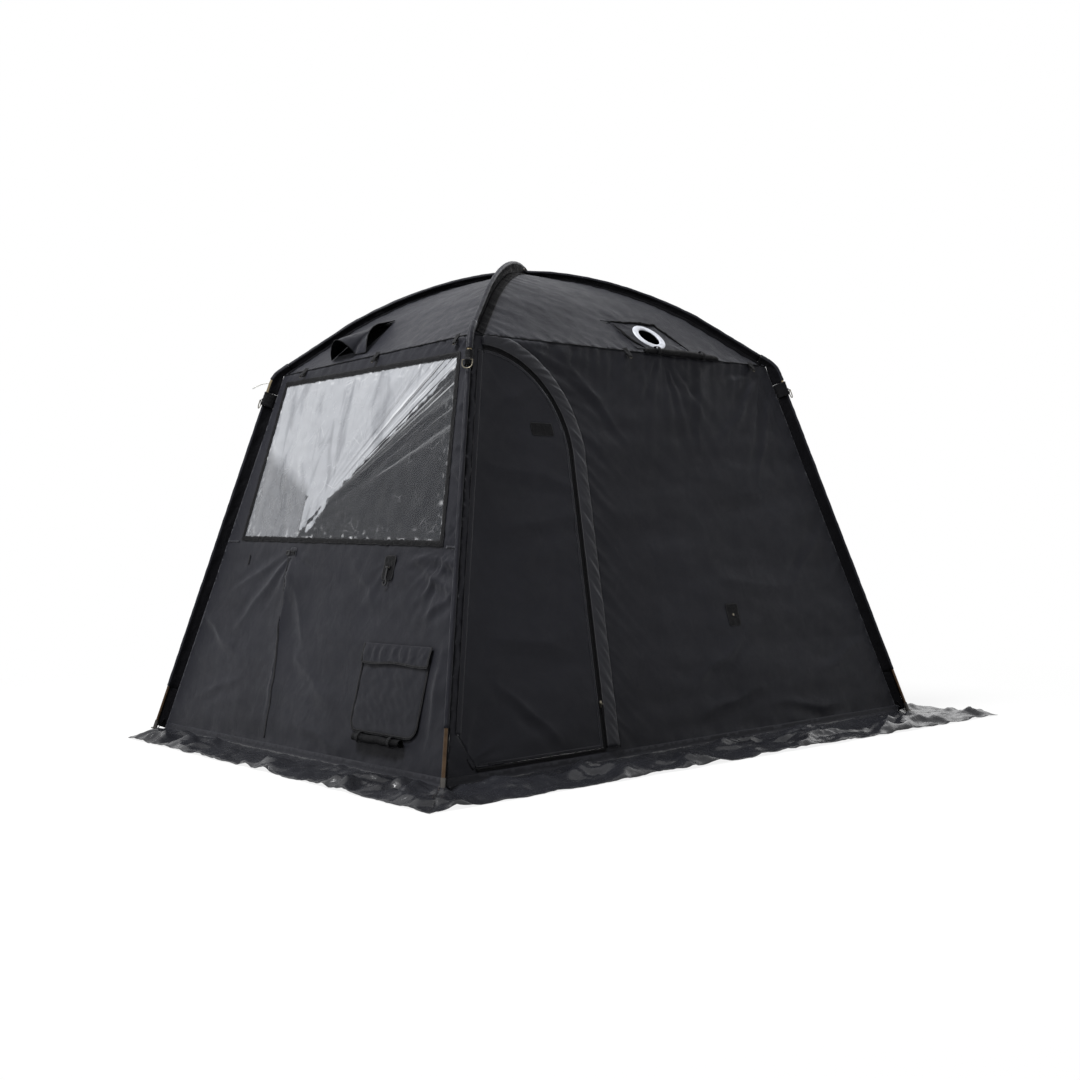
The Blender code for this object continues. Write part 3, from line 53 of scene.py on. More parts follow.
# The camera stands where the photograph was taken from
photoCamera = {
    "place": (-3.839, -4.553, 0.805),
    "yaw": 49.38,
    "pitch": 0.25,
    "roll": -1.23,
    "focalPixels": 1309,
    "imagePixels": 1080,
    "sensor": 36,
    "farthest": 60,
}


def placeCamera():
    yaw, pitch, roll = (math.radians(photoCamera[key]) for key in ("yaw", "pitch", "roll"))
    ahead = Vector((math.cos(yaw) * math.cos(pitch), math.sin(yaw) * math.cos(pitch), math.sin(pitch)))
    level = ahead.cross(up).normalized()
    above = level.cross(ahead)
    right = level * math.cos(roll) + above * math.sin(roll)
    top = above * math.cos(roll) - level * math.sin(roll)
    data = bpy.data.cameras.new("photoCamera")
    data.sensor_width = photoCamera["sensor"]
    data.lens = photoCamera["focalPixels"] / photoCamera["imagePixels"] * photoCamera["sensor"]
    data.clip_end = photoCamera["farthest"]
    camera = bpy.data.objects.new("photoCamera", data)
    matrix = Matrix((right, top, -ahead)).transposed().to_4x4()
    matrix.translation = photoCamera["place"]
    camera.matrix_world = matrix
    bpy.context.scene.collection.objects.link(camera)
    bpy.context.scene.camera = camera


placeCamera()

# Sizes that the tent's shape follows, the same as in the CAD source
tentSize = {
    "footHalfLength": 1.32,
    "footHalfWidth": 1.10,
    "eaveHalfLength": 0.841,
    "eaveHeight": 1.60,
    "crownHeight": 2.022,
    "roofFullness": 1.9,
    "flatBand": 0.70,
    "sleeveReach": 0.048,
    "cloth": 0.0015,
    "hem": 0.016,
    "gap": 0.0003,
}
halfDiagonal = math.hypot(tentSize["footHalfLength"], tentSize["footHalfWidth"])
baseShare = 1 - tentSize["sleeveReach"] / halfDiagonal
eaveShare = tentSize["eaveHalfLength"] / tentSize["footHalfLength"]
sides = {
    "front": ((0, -1, 0), (1, 0, 0), tentSize["footHalfWidth"], tentSize["footHalfLength"]),
    "left": ((-1, 0, 0), (0, -1, 0), tentSize["footHalfLength"], tentSize["footHalfWidth"]),
    "rear": ((0, 1, 0), (-1, 0, 0), tentSize["footHalfWidth"], tentSize["footHalfLength"]),
    "right": ((1, 0, 0), (0, 1, 0), tentSize["footHalfLength"], tentSize["footHalfWidth"]),
}
corners = {"front_left": (-1, -1), "front_right": (1, -1), "rear_left": (-1, 1), "rear_right": (1, 1)}
shellThickness = 0.0012


def joined(corner):
    # The corner's name as it ends a piece's name
    return corner.title().replace("_", "")


def lerp(a, b, share):
    return a + (b - a) * share


def wallShare(height):
    return lerp(baseShare, eaveShare, height / tentSize["eaveHeight"])


def wallSlope(side):
    return math.hypot(sides[side][2] * (baseShare - eaveShare), tentSize["eaveHeight"])


def cornerAlong(side, y):
    return sides[side][3] * wallShare(y * tentSize["eaveHeight"] / wallSlope(side))


def goneAlong(points):
    # Distance along a line of points
    return np.concatenate([[0], np.cumsum(np.linalg.norm(np.diff(points, axis=0), axis=1))])


def boxLoop(x, y, halfLong, halfHigh):
    return [(x + a * halfLong, y + b * halfHigh) for a, b in ((-1, -1), (1, -1), (1, 1), (-1, 1))]


def offsetPath(path, distance, closed=False):
    points = [np.array(p, float) for p in path]
    count = len(points)
    moved = []
    for i, point in enumerate(points):
        normals = []
        for a, b in ((i - 1, i), (i, i + 1)):
            if closed or (a >= 0 and b < count):
                step = points[b % count] - points[a % count]
                step = step / np.hypot(*step)
                normals.append(np.array((-step[1], step[0])))
        mean = sum(normals)
        mean = mean / np.hypot(*mean)
        moved.append(tuple(point + mean * distance / mean.dot(normals[0])))
    return moved


def arcPoints(centre, radiusX, radiusY, start, end, steps):
    turns = [math.radians(lerp(start, end, i / steps)) for i in range(steps + 1)]
    return [(centre[0] + radiusX * math.cos(a), centre[1] + radiusY * math.sin(a)) for a in turns]


# The corners' upright planes: the pole's line, and the seam that its sleeve grows from

poleShape = {
    "sleeve": 0.0086,
    "bend": 0.12,
    "legSocket": 0.100,
    "roofSocket": 0.042,
    "eaveDepth": 0.026,
    "lowerCrown": 0.028,
    "upperCrown": 0.049,
    "legSleeveStart": 0.22,
    "patchLength": 0.062,
    "patchReach": 0.0146,
    "ringShare": 0.26,
    "ringLift": 0.0192,
}
upperCorners = ("front_left", "rear_right")


def cornerAxes(corner):
    signX, signY = corners[corner]
    out = np.array((signX * tentSize["footHalfLength"], signY * tentSize["footHalfWidth"], 0.0))
    out /= np.linalg.norm(out)
    return out, np.cross((0, 0, 1), out)


def inCorner(corner, points, sideways=0.0):
    out, across = cornerAxes(corner)
    points = np.asarray(points, float)
    sideways = np.asarray(sideways, float)
    inPlane = points[..., 0, None] * out + points[..., 1, None] * np.array((0, 0, 1.0))
    return inPlane + sideways[..., None] * across


legFoot = np.array((halfDiagonal, 0.0))
legDirection = np.array((halfDiagonal * (eaveShare - baseShare), tentSize["eaveHeight"]))
legDirection /= np.hypot(*legDirection)
legInward = np.array((-legDirection[1], legDirection[0]))
webReach = float((np.array((halfDiagonal * baseShare, 0.0)) - legFoot) @ legInward)


def legStation(distance):
    pole = legFoot + legDirection * distance
    return pole, pole + legInward * webReach


def ridgeStations(corner):
    # Pole point and seam point at each level of the roof, from the eave to the crown
    band = eaveShare * tentSize["flatBand"]
    shares = [eaveShare] + [band * (1 - i / 8) for i in range(9)]
    crown, eave = tentSize["crownHeight"], tentSize["eaveHeight"]
    seam = [
        (halfDiagonal * s, lerp(crown, eave, (s / eaveShare) ** tentSize["roofFullness"])) for s in shares
    ]
    outward = np.array(offsetPath(seam, -1.0)) - seam
    top = poleShape["upperCrown"] if corner in upperCorners else poleShape["lowerCrown"]
    stations = []
    for share, point, normal in zip(shares, np.array(seam), outward):
        depth = lerp(top, poleShape["eaveDepth"], share / eaveShare)
        stations.append((point + normal / np.hypot(*normal) * depth, point))
    stations[-1] = (np.array((0, crown + top)), np.array((0, crown)))
    return stations


def cross2(a, b):
    return float(a[0] * b[1] - a[1] * b[0])


def elbowEnds(corner):
    # Where the elbow's two sockets end, on the leg and on the roof arch
    (first, _), (second, _) = ridgeStations(corner)[:2]
    step = (second - first) / np.hypot(*(second - first))
    run = cross2(first - legFoot, step) / cross2(legDirection, step)
    middle = legFoot + legDirection * run
    turn = math.acos(float(legDirection @ step))
    tangent = poleShape["bend"] * math.tan(turn / 2)
    low = middle - legDirection * (tangent + poleShape["legSocket"])
    return low, middle + step * (tangent + poleShape["roofSocket"])


def socketDistance(corner):
    return float(np.hypot(*(elbowEnds(corner)[0] - legFoot)))


# The cord loop at the rear left elbow
guyLoopShape = {
    "radius": 0.0014,
    "start": 0.0113,
    "reach": 0.085,
    "drop": 0.024,
    "foot": 0.0025,
    "spread": 0.013,
    "rise": 0.045,
}


def makeGuyLoop():
    look = guyLoopShape
    out, across = cornerAxes("rear_left")
    pole, _ = legStation(socketDistance("rear_left") + poleShape["patchLength"] + look["rise"])
    middle = inCorner("rear_left", pole)
    route = []
    for i in range(33):
        angle = math.pi * i / 32
        reach = lerp(look["start"], look["reach"], math.sin(angle))
        swing = -math.cos(angle) * lerp(look["foot"], look["spread"], math.sin(angle))
        route.append(
            middle + out * reach + across * swing - np.array((0, 0, look["drop"] * math.sin(angle) ** 2))
        )
    curve = bpy.data.curves.new("guyLoopCord", "CURVE")
    curve.dimensions = "3D"
    curve.bevel_depth = 1.0
    curve.bevel_resolution = 4
    curve.use_fill_caps = True
    spline = curve.splines.new("POLY")
    spline.points.add(len(route) - 1)
    for point, place in zip(spline.points, route):
        point.co = (*place, 1)
        point.radius = look["radius"]
    cord = bpy.data.objects.new("guyLoopCord", curve)
    bpy.context.scene.collection.objects.link(cord)
    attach(cord, "tent")
    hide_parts("guy_loop")
    return cord


guyLoop = makeGuyLoop()
print("camera and cord placed")


def axesOf(origin, xAxis, yAxis):
    xAxis = np.array(xAxis, float)
    zAxis = np.cross(xAxis, yAxis)
    zAxis /= np.linalg.norm(zAxis)
    return np.array(origin, float), xAxis, np.cross(zAxis, xAxis), zAxis


def wallAxes(side):
    out, along, depth, _ = sides[side]
    foot = np.array(out) * depth * baseShare
    eave = np.array(out) * depth * eaveShare + np.array((0, 0, tentSize["eaveHeight"]))
    return axesOf(foot, along, eave - foot)


def onWall(side):
    # Gives the function from wall coordinates and a lift off the cloth's plane to points in the tent's frame
    origin, xAxis, yAxis, zAxis = wallAxes(side)

    def place(x, y, lift):
        x, y, lift = (np.asarray(v, float) for v in (x, y, lift))
        return origin + x[..., None] * xAxis + y[..., None] * yAxis + lift[..., None] * zAxis

    return place


# The roof's section: straight where the outlets are, then round over the crown, with the change eased
def roofProfile():
    shares = np.linspace(eaveShare, 0, 241)
    part = shares / eaveShare
    curve = lerp(tentSize["crownHeight"], tentSize["eaveHeight"], part ** tentSize["roofFullness"])
    band = tentSize["flatBand"]
    bandHeight = lerp(tentSize["crownHeight"], tentSize["eaveHeight"], band ** tentSize["roofFullness"])
    straight = lerp(bandHeight, tentSize["eaveHeight"], (part - band) / (1 - band))
    heights = np.where(part >= band, straight, curve)
    for _ in range(60):
        eased = heights.copy()
        eased[1:-1] = (heights[:-2] + heights[2:]) / 2
        near = np.exp(-(((part - band + 0.06) / 0.05) ** 2))
        heights = lerp(heights, eased, near)
    return shares, heights


roofShares, roofHeights = roofProfile()


def roofLine(side):
    # Distance from the eave up the gore at each share, and the section's outward normal
    depth = sides[side][2]
    run = roofShares * depth
    steps = np.hypot(np.diff(run), np.diff(roofHeights))
    length = np.concatenate([[0], np.cumsum(steps)])
    slope = np.gradient(roofHeights, length)
    inward = np.gradient(run, length)
    size = np.hypot(slope, inward)
    return length, run, slope / size, -inward / size


def onRoof(side):
    out, along, _, _ = sides[side]
    out, along = np.array(out, float), np.array(along, float)
    length, run, outPart, upPart = roofLine(side)

    def place(x, y, lift):
        x, y, lift = (np.asarray(v, float) for v in (x, y, lift))
        reach = np.interp(y, length, run) + lift * np.interp(y, length, outPart)
        height = np.interp(y, length, roofHeights) + lift * np.interp(y, length, upPart)
        return out * reach[..., None] + along * x[..., None] + np.array((0, 0, 1.0)) * height[..., None]

    return place


# Noise and seam folds that every cloth panel is shaped with


def clothNoise(x, y, seed):
    chooser = np.random.RandomState(seed)
    shuffled = chooser.permutation(512)
    turns = chooser.uniform(0, 2 * math.pi, 512)
    cellX, cellY = np.floor(x).astype(int), np.floor(y).astype(int)
    partX, partY = x - cellX, y - cellY
    easeX = partX**3 * (partX * (partX * 6 - 15) + 10)
    easeY = partY**3 * (partY * (partY * 6 - 15) + 10)
    total = np.zeros_like(partX)
    for stepX in (0, 1):
        for stepY in (0, 1):
            turn = turns[shuffled[(shuffled[(cellX + stepX) % 512] + cellY + stepY) % 512]]
            toward = np.cos(turn) * (partX - stepX) + np.sin(turn) * (partY - stepY)
            weight = (easeX if stepX else 1 - easeX) * (easeY if stepY else 1 - easeY)
            total += toward * weight
    return total * 1.5


def creases(x, y, seed):
    # Sharp ridges between soft hollows, as in folded coated cloth
    return 1 - 2.2 * np.abs(clothNoise(x, y, seed))


def nearLine(x, y, path, closed=False):
    # Distance from a path and the distance along it
    path = [np.array(p, float) for p in path]
    if closed:
        path.append(path[0])
    best = np.full(x.shape, 1e9)
    along = np.zeros(x.shape)
    gone = 0.0
    for a, b in zip(path, path[1:]):
        step = b - a
        size = float(np.hypot(*step))
        if size < 1e-9:
            continue
        share = np.clip(((x - a[0]) * step[0] + (y - a[1]) * step[1]) / size**2, 0, 1)
        away = np.hypot(x - a[0] - share * step[0], y - a[1] - share * step[1])
        closer = away < best
        best = np.where(closer, away, best)
        along = np.where(closer, gone + share * size, along)
        gone += size
    return best, along


def seamPuckers(x, y, path, depth, reach, pitch, seed, slant=0.0, closed=False):
    away, along = nearLine(x, y, path, closed)
    folds = clothNoise((along + slant * away) / pitch, away / (reach * 2.2) + 3.1, seed)
    fine = clothNoise((along + slant * away) / (pitch * 0.42), away / (reach * 1.3) + 7.7, seed + 5)
    return depth * (folds * np.exp(-away / reach) + 0.45 * fine * np.exp(-away / (reach * 0.45)))


def pullFolds(x, y, centre, depth, reach, count, seed):
    # Folds that run out from a point where the cloth is held
    away = np.hypot(x - centre[0], y - centre[1])
    turn = np.arctan2(y - centre[1], x - centre[0])
    folds = clothNoise(turn * count / (2 * math.pi) + 11, away / (reach * 2.5), seed)
    return depth * folds * np.exp(-away / reach) * away / (away + 0.02)


def foldLines(x, y, folds, seed):
    # Single creases, each from one point to another: crisp along the ridge, with a hollow beside it
    total = np.zeros_like(x)
    for number, (x0, y0, x1, y1, depth, width) in enumerate(folds):
        size = math.hypot(x1 - x0, y1 - y0)
        ahead = ((x - x0) * (x1 - x0) + (y - y0) * (y1 - y0)) / size**2
        aside = ((x - x0) * (y1 - y0) - (y - y0) * (x1 - x0)) / size
        aside = aside + 0.02 * clothNoise(ahead * 2.3, aside / 0.3, seed + number)
        fade = np.sin(math.pi * np.clip(ahead, 0, 1)) ** 0.7
        hollow = 0.6 * np.exp(-(((aside - 1.8 * width) / (1.3 * width)) ** 2))
        total += depth * fade * (np.exp(-np.abs(aside) / width) - hollow)
    return total


def held(away, reach):
    return 1 - np.exp(-np.maximum(away, 0) / reach)


# Cutting cloth: outlines and holes in flat coordinates, filled with even triangles


def evenly(loop, cell):
    points = []
    for i, start in enumerate(loop):
        end = loop[(i + 1) % len(loop)]
        count = max(1, round(math.hypot(end[0] - start[0], end[1] - start[1]) / cell))
        points += [
            (lerp(start[0], end[0], k / count), lerp(start[1], end[1], k / count)) for k in range(count)
        ]
    return points


def insideOf(points, loops):
    inside = np.zeros(len(points), bool)
    for loop in loops:
        for i, (x0, y0) in enumerate(loop):
            x1, y1 = loop[(i + 1) % len(loop)]
            if y0 == y1:
                continue
            crosses = (y0 > points[:, 1]) != (y1 > points[:, 1])
            inside ^= crosses & (points[:, 0] < (x1 - x0) * (points[:, 1] - y0) / (y1 - y0) + x0)
    return inside


def toBorder(points, border):
    best = np.full(len(points), 1e9)
    for start in range(0, len(border), 64):
        some = border[start : start + 64]
        gaps = np.hypot(points[:, None, 0] - some[None, :, 0], points[:, None, 1] - some[None, :, 1])
        best = np.minimum(best, gaps.min(1))
    return best


def cutCloth(loops, cell):
    border, edges = [], []
    for loop in loops:
        ring = evenly(loop, cell)
        first = len(border)
        border += ring
        edges += [(first + i, first + (i + 1) % len(ring)) for i in range(len(ring))]
    border = np.array(border)
    low, high = border.min(0), border.max(0)
    rows = []
    for k, y in enumerate(np.arange(low[1] + cell / 2, high[1], cell * 0.87)):
        x = np.arange(low[0] + cell / 2 * (k % 2), high[0], cell)
        rows.append(np.column_stack([x, np.full(len(x), y)]))
    inner = np.concatenate(rows)
    inner += np.random.RandomState(3).uniform(-0.14, 0.14, inner.shape) * cell
    inner = inner[insideOf(inner, loops)]
    inner = inner[toBorder(inner, border) > cell * 0.5]
    points = [Vector(p) for p in np.concatenate([border, inner])]
    made = delaunay_2d_cdt(points, edges, [], 0, 1e-6)
    points = np.array([tuple(p) for p in made[0]])
    faces = np.array([face for face in made[2] if len(face) == 3])
    faces = faces[insideOf(points[faces].mean(1), loops)]
    a, b, c = (points[faces[:, i]] for i in range(3))
    area = (b[:, 0] - a[:, 0]) * (c[:, 1] - a[:, 1]) - (b[:, 1] - a[:, 1]) * (c[:, 0] - a[:, 0])
    faces = faces[np.abs(area) > 1e-10]
    area = area[np.abs(area) > 1e-10]
    faces[area < 0] = faces[area < 0][:, ::-1]
    return points, faces, toBorder(points, border)


def loopArea(loops):
    areas = []
    for loop in loops:
        ring = np.array(loop)
        nextRing = np.roll(ring, -1, 0)
        areas.append(abs(float((ring[:, 0] * nextRing[:, 1] - nextRing[:, 0] * ring[:, 1]).sum()) / 2))
    return areas[0] - sum(areas[1:])


def newObject(name, points, faces, flat, seam, material):
    # A mesh with its flat pattern as texture coordinates, and how far each point is from a seam
    mesh = bpy.data.meshes.new(name)
    mesh.from_pydata([tuple(p) for p in points], [], [tuple(int(v) for v in f) for f in faces])
    mesh.validate()
    obj = bpy.data.objects.new(name, mesh)
    bpy.context.scene.collection.objects.link(obj)
    layer = mesh.uv_layers.new(name="clothFlat")
    corner = np.zeros(len(mesh.loops), int)
    mesh.loops.foreach_get("vertex_index", corner)
    layer.data.foreach_set("uv", np.asarray(flat, float)[corner].ravel())
    if seam is not None:
        addValues(mesh, "seamWear", np.exp(-seam / 0.02))
        addValues(mesh, "edgeDistance", seam)
    mesh.materials.append(material)
    mesh.shade_smooth()
    return obj


def addValues(mesh, name, values):
    layer = mesh.attributes.new(name, "FLOAT", "POINT")
    layer.data.foreach_set("value", values.astype(np.float32))


def changeMesh(obj, change):
    bm = bmesh.new()
    bm.from_mesh(obj.data)
    change(bm)
    bm.to_mesh(obj.data)
    bm.free()


def thicken(obj, thickness, offset=-1.0):
    modifier = obj.modifiers.new("clothThickness", "SOLIDIFY")
    modifier.thickness = thickness
    modifier.offset = offset
    modifier.use_even_offset = False
    return obj


def settle(obj, body, slot, *nodes):
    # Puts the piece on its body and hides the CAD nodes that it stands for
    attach(obj, body)
    if nodes:
        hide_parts(*nodes)


def clothPiece(name, loops, place, relief, cell, lift, thickness, material):
    points, faces, seam = cutCloth(loops, cell)
    x, y = points[:, 0], points[:, 1]
    placed = place(x, y, lift + relief(x, y))
    return thicken(newObject(name, placed, faces, points, seam, material), thickness)


def noRelief(x, y):
    return np.zeros_like(x)


def sewnSheet(obj, loops, body, slot, heldAs, restsOn, *nodes):
    settle(obj, body, slot, *nodes)


# Finishes: helpers for their nodes, and the cloths


def addNode(tree, kind, inputs=None, **settings):
    made = tree.nodes.new(kind)
    for key, value in settings.items():
        setattr(made, key, value)
    for key, value in (inputs or {}).items():
        if isinstance(value, bpy.types.NodeSocket):
            tree.links.new(value, made.inputs[key])
        else:
            made.inputs[key].default_value = value
    return made


def newFinish(name, sockets):
    material = bpy.data.materials.new(name)
    material.use_nodes = True
    tree = material.node_tree
    shader = tree.nodes["Principled BSDF"]
    for key, value in sockets.items():
        shader.inputs[key].default_value = value
    return material, tree, shader, addNode(tree, "ShaderNodeTexCoord").outputs["Object"]


def worked(tree, operation, *values):
    # One step of arithmetic on sockets and numbers
    return addNode(tree, "ShaderNodeMath", dict(enumerate(values)), operation=operation).outputs[0]


def noisy(tree, place, scale, detail, others=()):
    inputs = {"Vector": place, "Scale": scale, "Detail": detail, **dict(others)}
    return addNode(tree, "ShaderNodeTexNoise", inputs).outputs["Fac"]


def meshValue(tree, name):
    return addNode(tree, "ShaderNodeAttribute", attribute_name=name).outputs["Fac"]


def flatPlace(tree):
    return addNode(tree, "ShaderNodeUVMap", uv_map="clothFlat").outputs[0]


def bumped(tree, height, strength, distance, under=None):
    inputs = {"Height": height, "Strength": strength, "Distance": distance}
    if under is not None:
        inputs["Normal"] = under
    return addNode(tree, "ShaderNodeBump", inputs).outputs[0]


def plug(material, colour, rough, normal):
    # Joins what was worked out to the shader, and gives the finished material
    tree = material.node_tree
    for key, socket in (("Base Color", colour), ("Roughness", rough), ("Normal", normal)):
        tree.links.new(socket, tree.nodes["Principled BSDF"].inputs[key])
    return material


def mixed(tree, share, first, second):
    # Mixes two colours by a share that varies over the surface
    made = addNode(tree, "ShaderNodeMix", data_type="RGBA")
    for socket, value in ((made.inputs[0], share), (made.inputs[6], first), (made.inputs[7], second)):
        if isinstance(value, bpy.types.NodeSocket):
            tree.links.new(value, socket)
        else:
            socket.default_value = value
    return made.outputs[2]


def ranged(tree, value, low, high, fromLow=0.3, fromHigh=0.7):
    limits = {"From Min": fromLow, "From Max": fromHigh, "To Min": low, "To Max": high, "Value": value}
    return addNode(tree, "ShaderNodeMapRange", limits).outputs[0]


def tinted(colour, amount):
    return tuple(min(1.0, c * amount) for c in colour) + (1.0,)


def threads(tree, flat, pitch):
    # Two crossing sets of threads, as heights
    look = {"Vector": flat, "Scale": 0.314 / pitch, "Distortion": 0.0}
    waves = [addNode(tree, "ShaderNodeTexWave", look, bands_direction=direction) for direction in ("X", "Y")]
    return worked(tree, "ADD", *(wave.outputs["Fac"] for wave in waves))


def clothFinish(name, look):
    # Woven coated cloth: uneven dye, worn seams, soft crumples and a fine weave
    sheen = {
        "Sheen Weight": look["sheen"], "Sheen Roughness": 0.30, "Sheen Tint": tinted((0.72, 0.74, 0.80), 1)
    }
    material, tree, _, place = newFinish(name, {"Specular IOR Level": look["gloss"], **sheen})
    broad = noisy(tree, place, 2.3, 4.0)
    small = noisy(tree, place, 26.0, 6.0)
    dyes = [tinted(look["colour"], 1 + sign * look["unevenness"]) for sign in (-1, 1)]
    colour = mixed(tree, ranged(tree, broad, 0, 1), *dyes)
    rubbed = worked(tree, "MULTIPLY", meshValue(tree, "seamWear"), ranged(tree, small, 0, look["wear"]))
    colour = mixed(tree, rubbed, colour, tinted(look["rubbedColour"], 1))
    rough = ranged(tree, small, look["roughness"] - 0.07, look["roughness"] + 0.07)
    soft = noisy(tree, place, look["crumpleScale"], 5.0, {"Roughness": 0.55, "Distortion": 0.8})
    crumple = bumped(tree, soft, look["crumple"], 0.012)
    weave = bumped(tree, threads(tree, flatPlace(tree), look["thread"]), look["weave"], 0.0002, crumple)
    return plug(material, colour, rough, weave)


shellCloth = clothFinish(
    "shellCloth",
    {
        "colour": (0.0112, 0.0115, 0.0150),
        "unevenness": 0.14,
        "roughness": 0.46,
        "gloss": 0.075,
        "sheen": 0.20,
        "wear": 0.30,
        "rubbedColour": (0.034, 0.0345, 0.037),
        "crumple": 0.20,
        "crumpleScale": 11.0,
        "weave": 0.35,
        "thread": 0.0012,
    },
)
sleeveBlack = clothFinish(
    "sleeveBlack",
    {
        "colour": (0.0042, 0.0042, 0.0050),
        "unevenness": 0.2,
        "roughness": 0.50,
        "gloss": 0.015,
        "sheen": 0.0,
        "wear": 0.35,
        "rubbedColour": (0.009, 0.009, 0.010),
        "crumple": 0.45,
        "crumpleScale": 38.0,
        "weave": 0.5,
        "thread": 0.0010,
    },
)
tapeBlack = clothFinish(
    "tapeBlack",
    {
        "colour": (0.0036, 0.0036, 0.0042),
        "unevenness": 0.25,
        "roughness": 0.48,
        "gloss": 0.05,
        "sheen": 0.03,
        "wear": 0.5,
        "rubbedColour": (0.012, 0.012, 0.013),
        "crumple": 0.35,
        "crumpleScale": 60.0,
        "weave": 0.9,
        "thread": 0.0016,
    },
)
skirtCoated = clothFinish(
    "skirtCoated",
    {
        "colour": (0.0105, 0.0109, 0.0135),
        "unevenness": 0.35,
        "roughness": 0.24,
        "gloss": 0.30,
        "sheen": 0.04,
        "wear": 0.4,
        "rubbedColour": (0.024, 0.024, 0.026),
        "crumple": 0.40,
        "crumpleScale": 12.0,
        "weave": 0.1,
        "thread": 0.0012,
    },
)
print("cloth finishes ready")

# Paths and outlines on the walls, in wall coordinates

doorShape = {
    "hingeInset": 0.036,
    "hingeClearance": 0.0026,
    "sill": 0.062,
    "chamferHeight": 0.115,
    "chamferLength": 0.085,
    "footX": -0.556,
    "springX": -0.466,
    "springHeight": 1.20,
    "headDrop": 0.058,
}
windowCorners = [(-0.732, 0.898), (0.772, 0.850), (0.640, 1.586), (-0.650, 1.612)]


def roundedBox(left, right, foot, head, fillet, steps):
    loop = []
    for x, y, start in ((right, foot, -90), (right, head, 0), (left, head, 90), (left, foot, 180)):
        centre = (x - fillet if x == right else x + fillet, y + fillet if y == foot else y - fillet)
        loop += arcPoints(centre, fillet, fillet, start, start + 90, steps)
    return loop


def hingeAlong(y):
    return doorShape["hingeInset"] - cornerAlong("front", y)


doorTop = wallSlope("front") - doorShape["headDrop"]


def zippedEdge():
    spring, top = doorShape["springHeight"], doorTop
    topX = hingeAlong(top)
    arch = arcPoints((topX, spring), doorShape["springX"] - topX, top - spring, 0, 88, 28)
    sill = doorShape["sill"]
    return [(hingeAlong(sill) + doorShape["chamferLength"], sill), (doorShape["footX"], sill)] + arch


doorPath = zippedEdge()
flapPath = doorPath[1:]


def doorLoop(inset, hingeInset):
    edge = offsetPath(doorPath, inset)
    chamferTop = doorShape["sill"] + doorShape["chamferHeight"]
    head = (hingeAlong(edge[-1][1]) + hingeInset, edge[-1][1])
    foot = (hingeAlong(chamferTop) + hingeInset, chamferTop + inset)
    return edge[:-1] + [head, foot]


def wallLoop(side):
    foot, head = tentSize["hem"], wallSlope(side) - tentSize["gap"] / 2
    left, top = cornerAlong(side, foot) - 0.001, cornerAlong(side, head) - 0.001
    return [(-left, foot), (left, foot), (top, head), (-top, head)]


def wallEdges(side, x, y):
    return {
        "eave": wallSlope(side) - y,
        "hem": y - tentSize["hem"],
        "left": x + cornerAlong(side, y),
        "right": cornerAlong(side, y) - x,
    }


eaveLine = {side: [(-1.4, wallSlope(side)), (1.4, wallSlope(side))] for side in sides}
rightCorner = {side: [(cornerAlong(side, y), y) for y in (0, wallSlope(side))] for side in sides}
leftCorner = {side: [(-x, y) for x, y in rightCorner[side]] for side in sides}
hemLine = [(-1.4, 0.03), (1.4, 0.03)]

# How the cloth of each wall stands off its plane, in metres
wallFolds = {
    "sag": 0.012,
    "swell": 0.009,
    "sway": 0.0055,
    "eaveDepth": 0.0075,
    "eaveReach": 0.11,
    "eavePitch": 0.040,
    "cornerDepth": 0.0070,
    "cornerReach": 0.085,
    "hemDepth": 0.008,
}

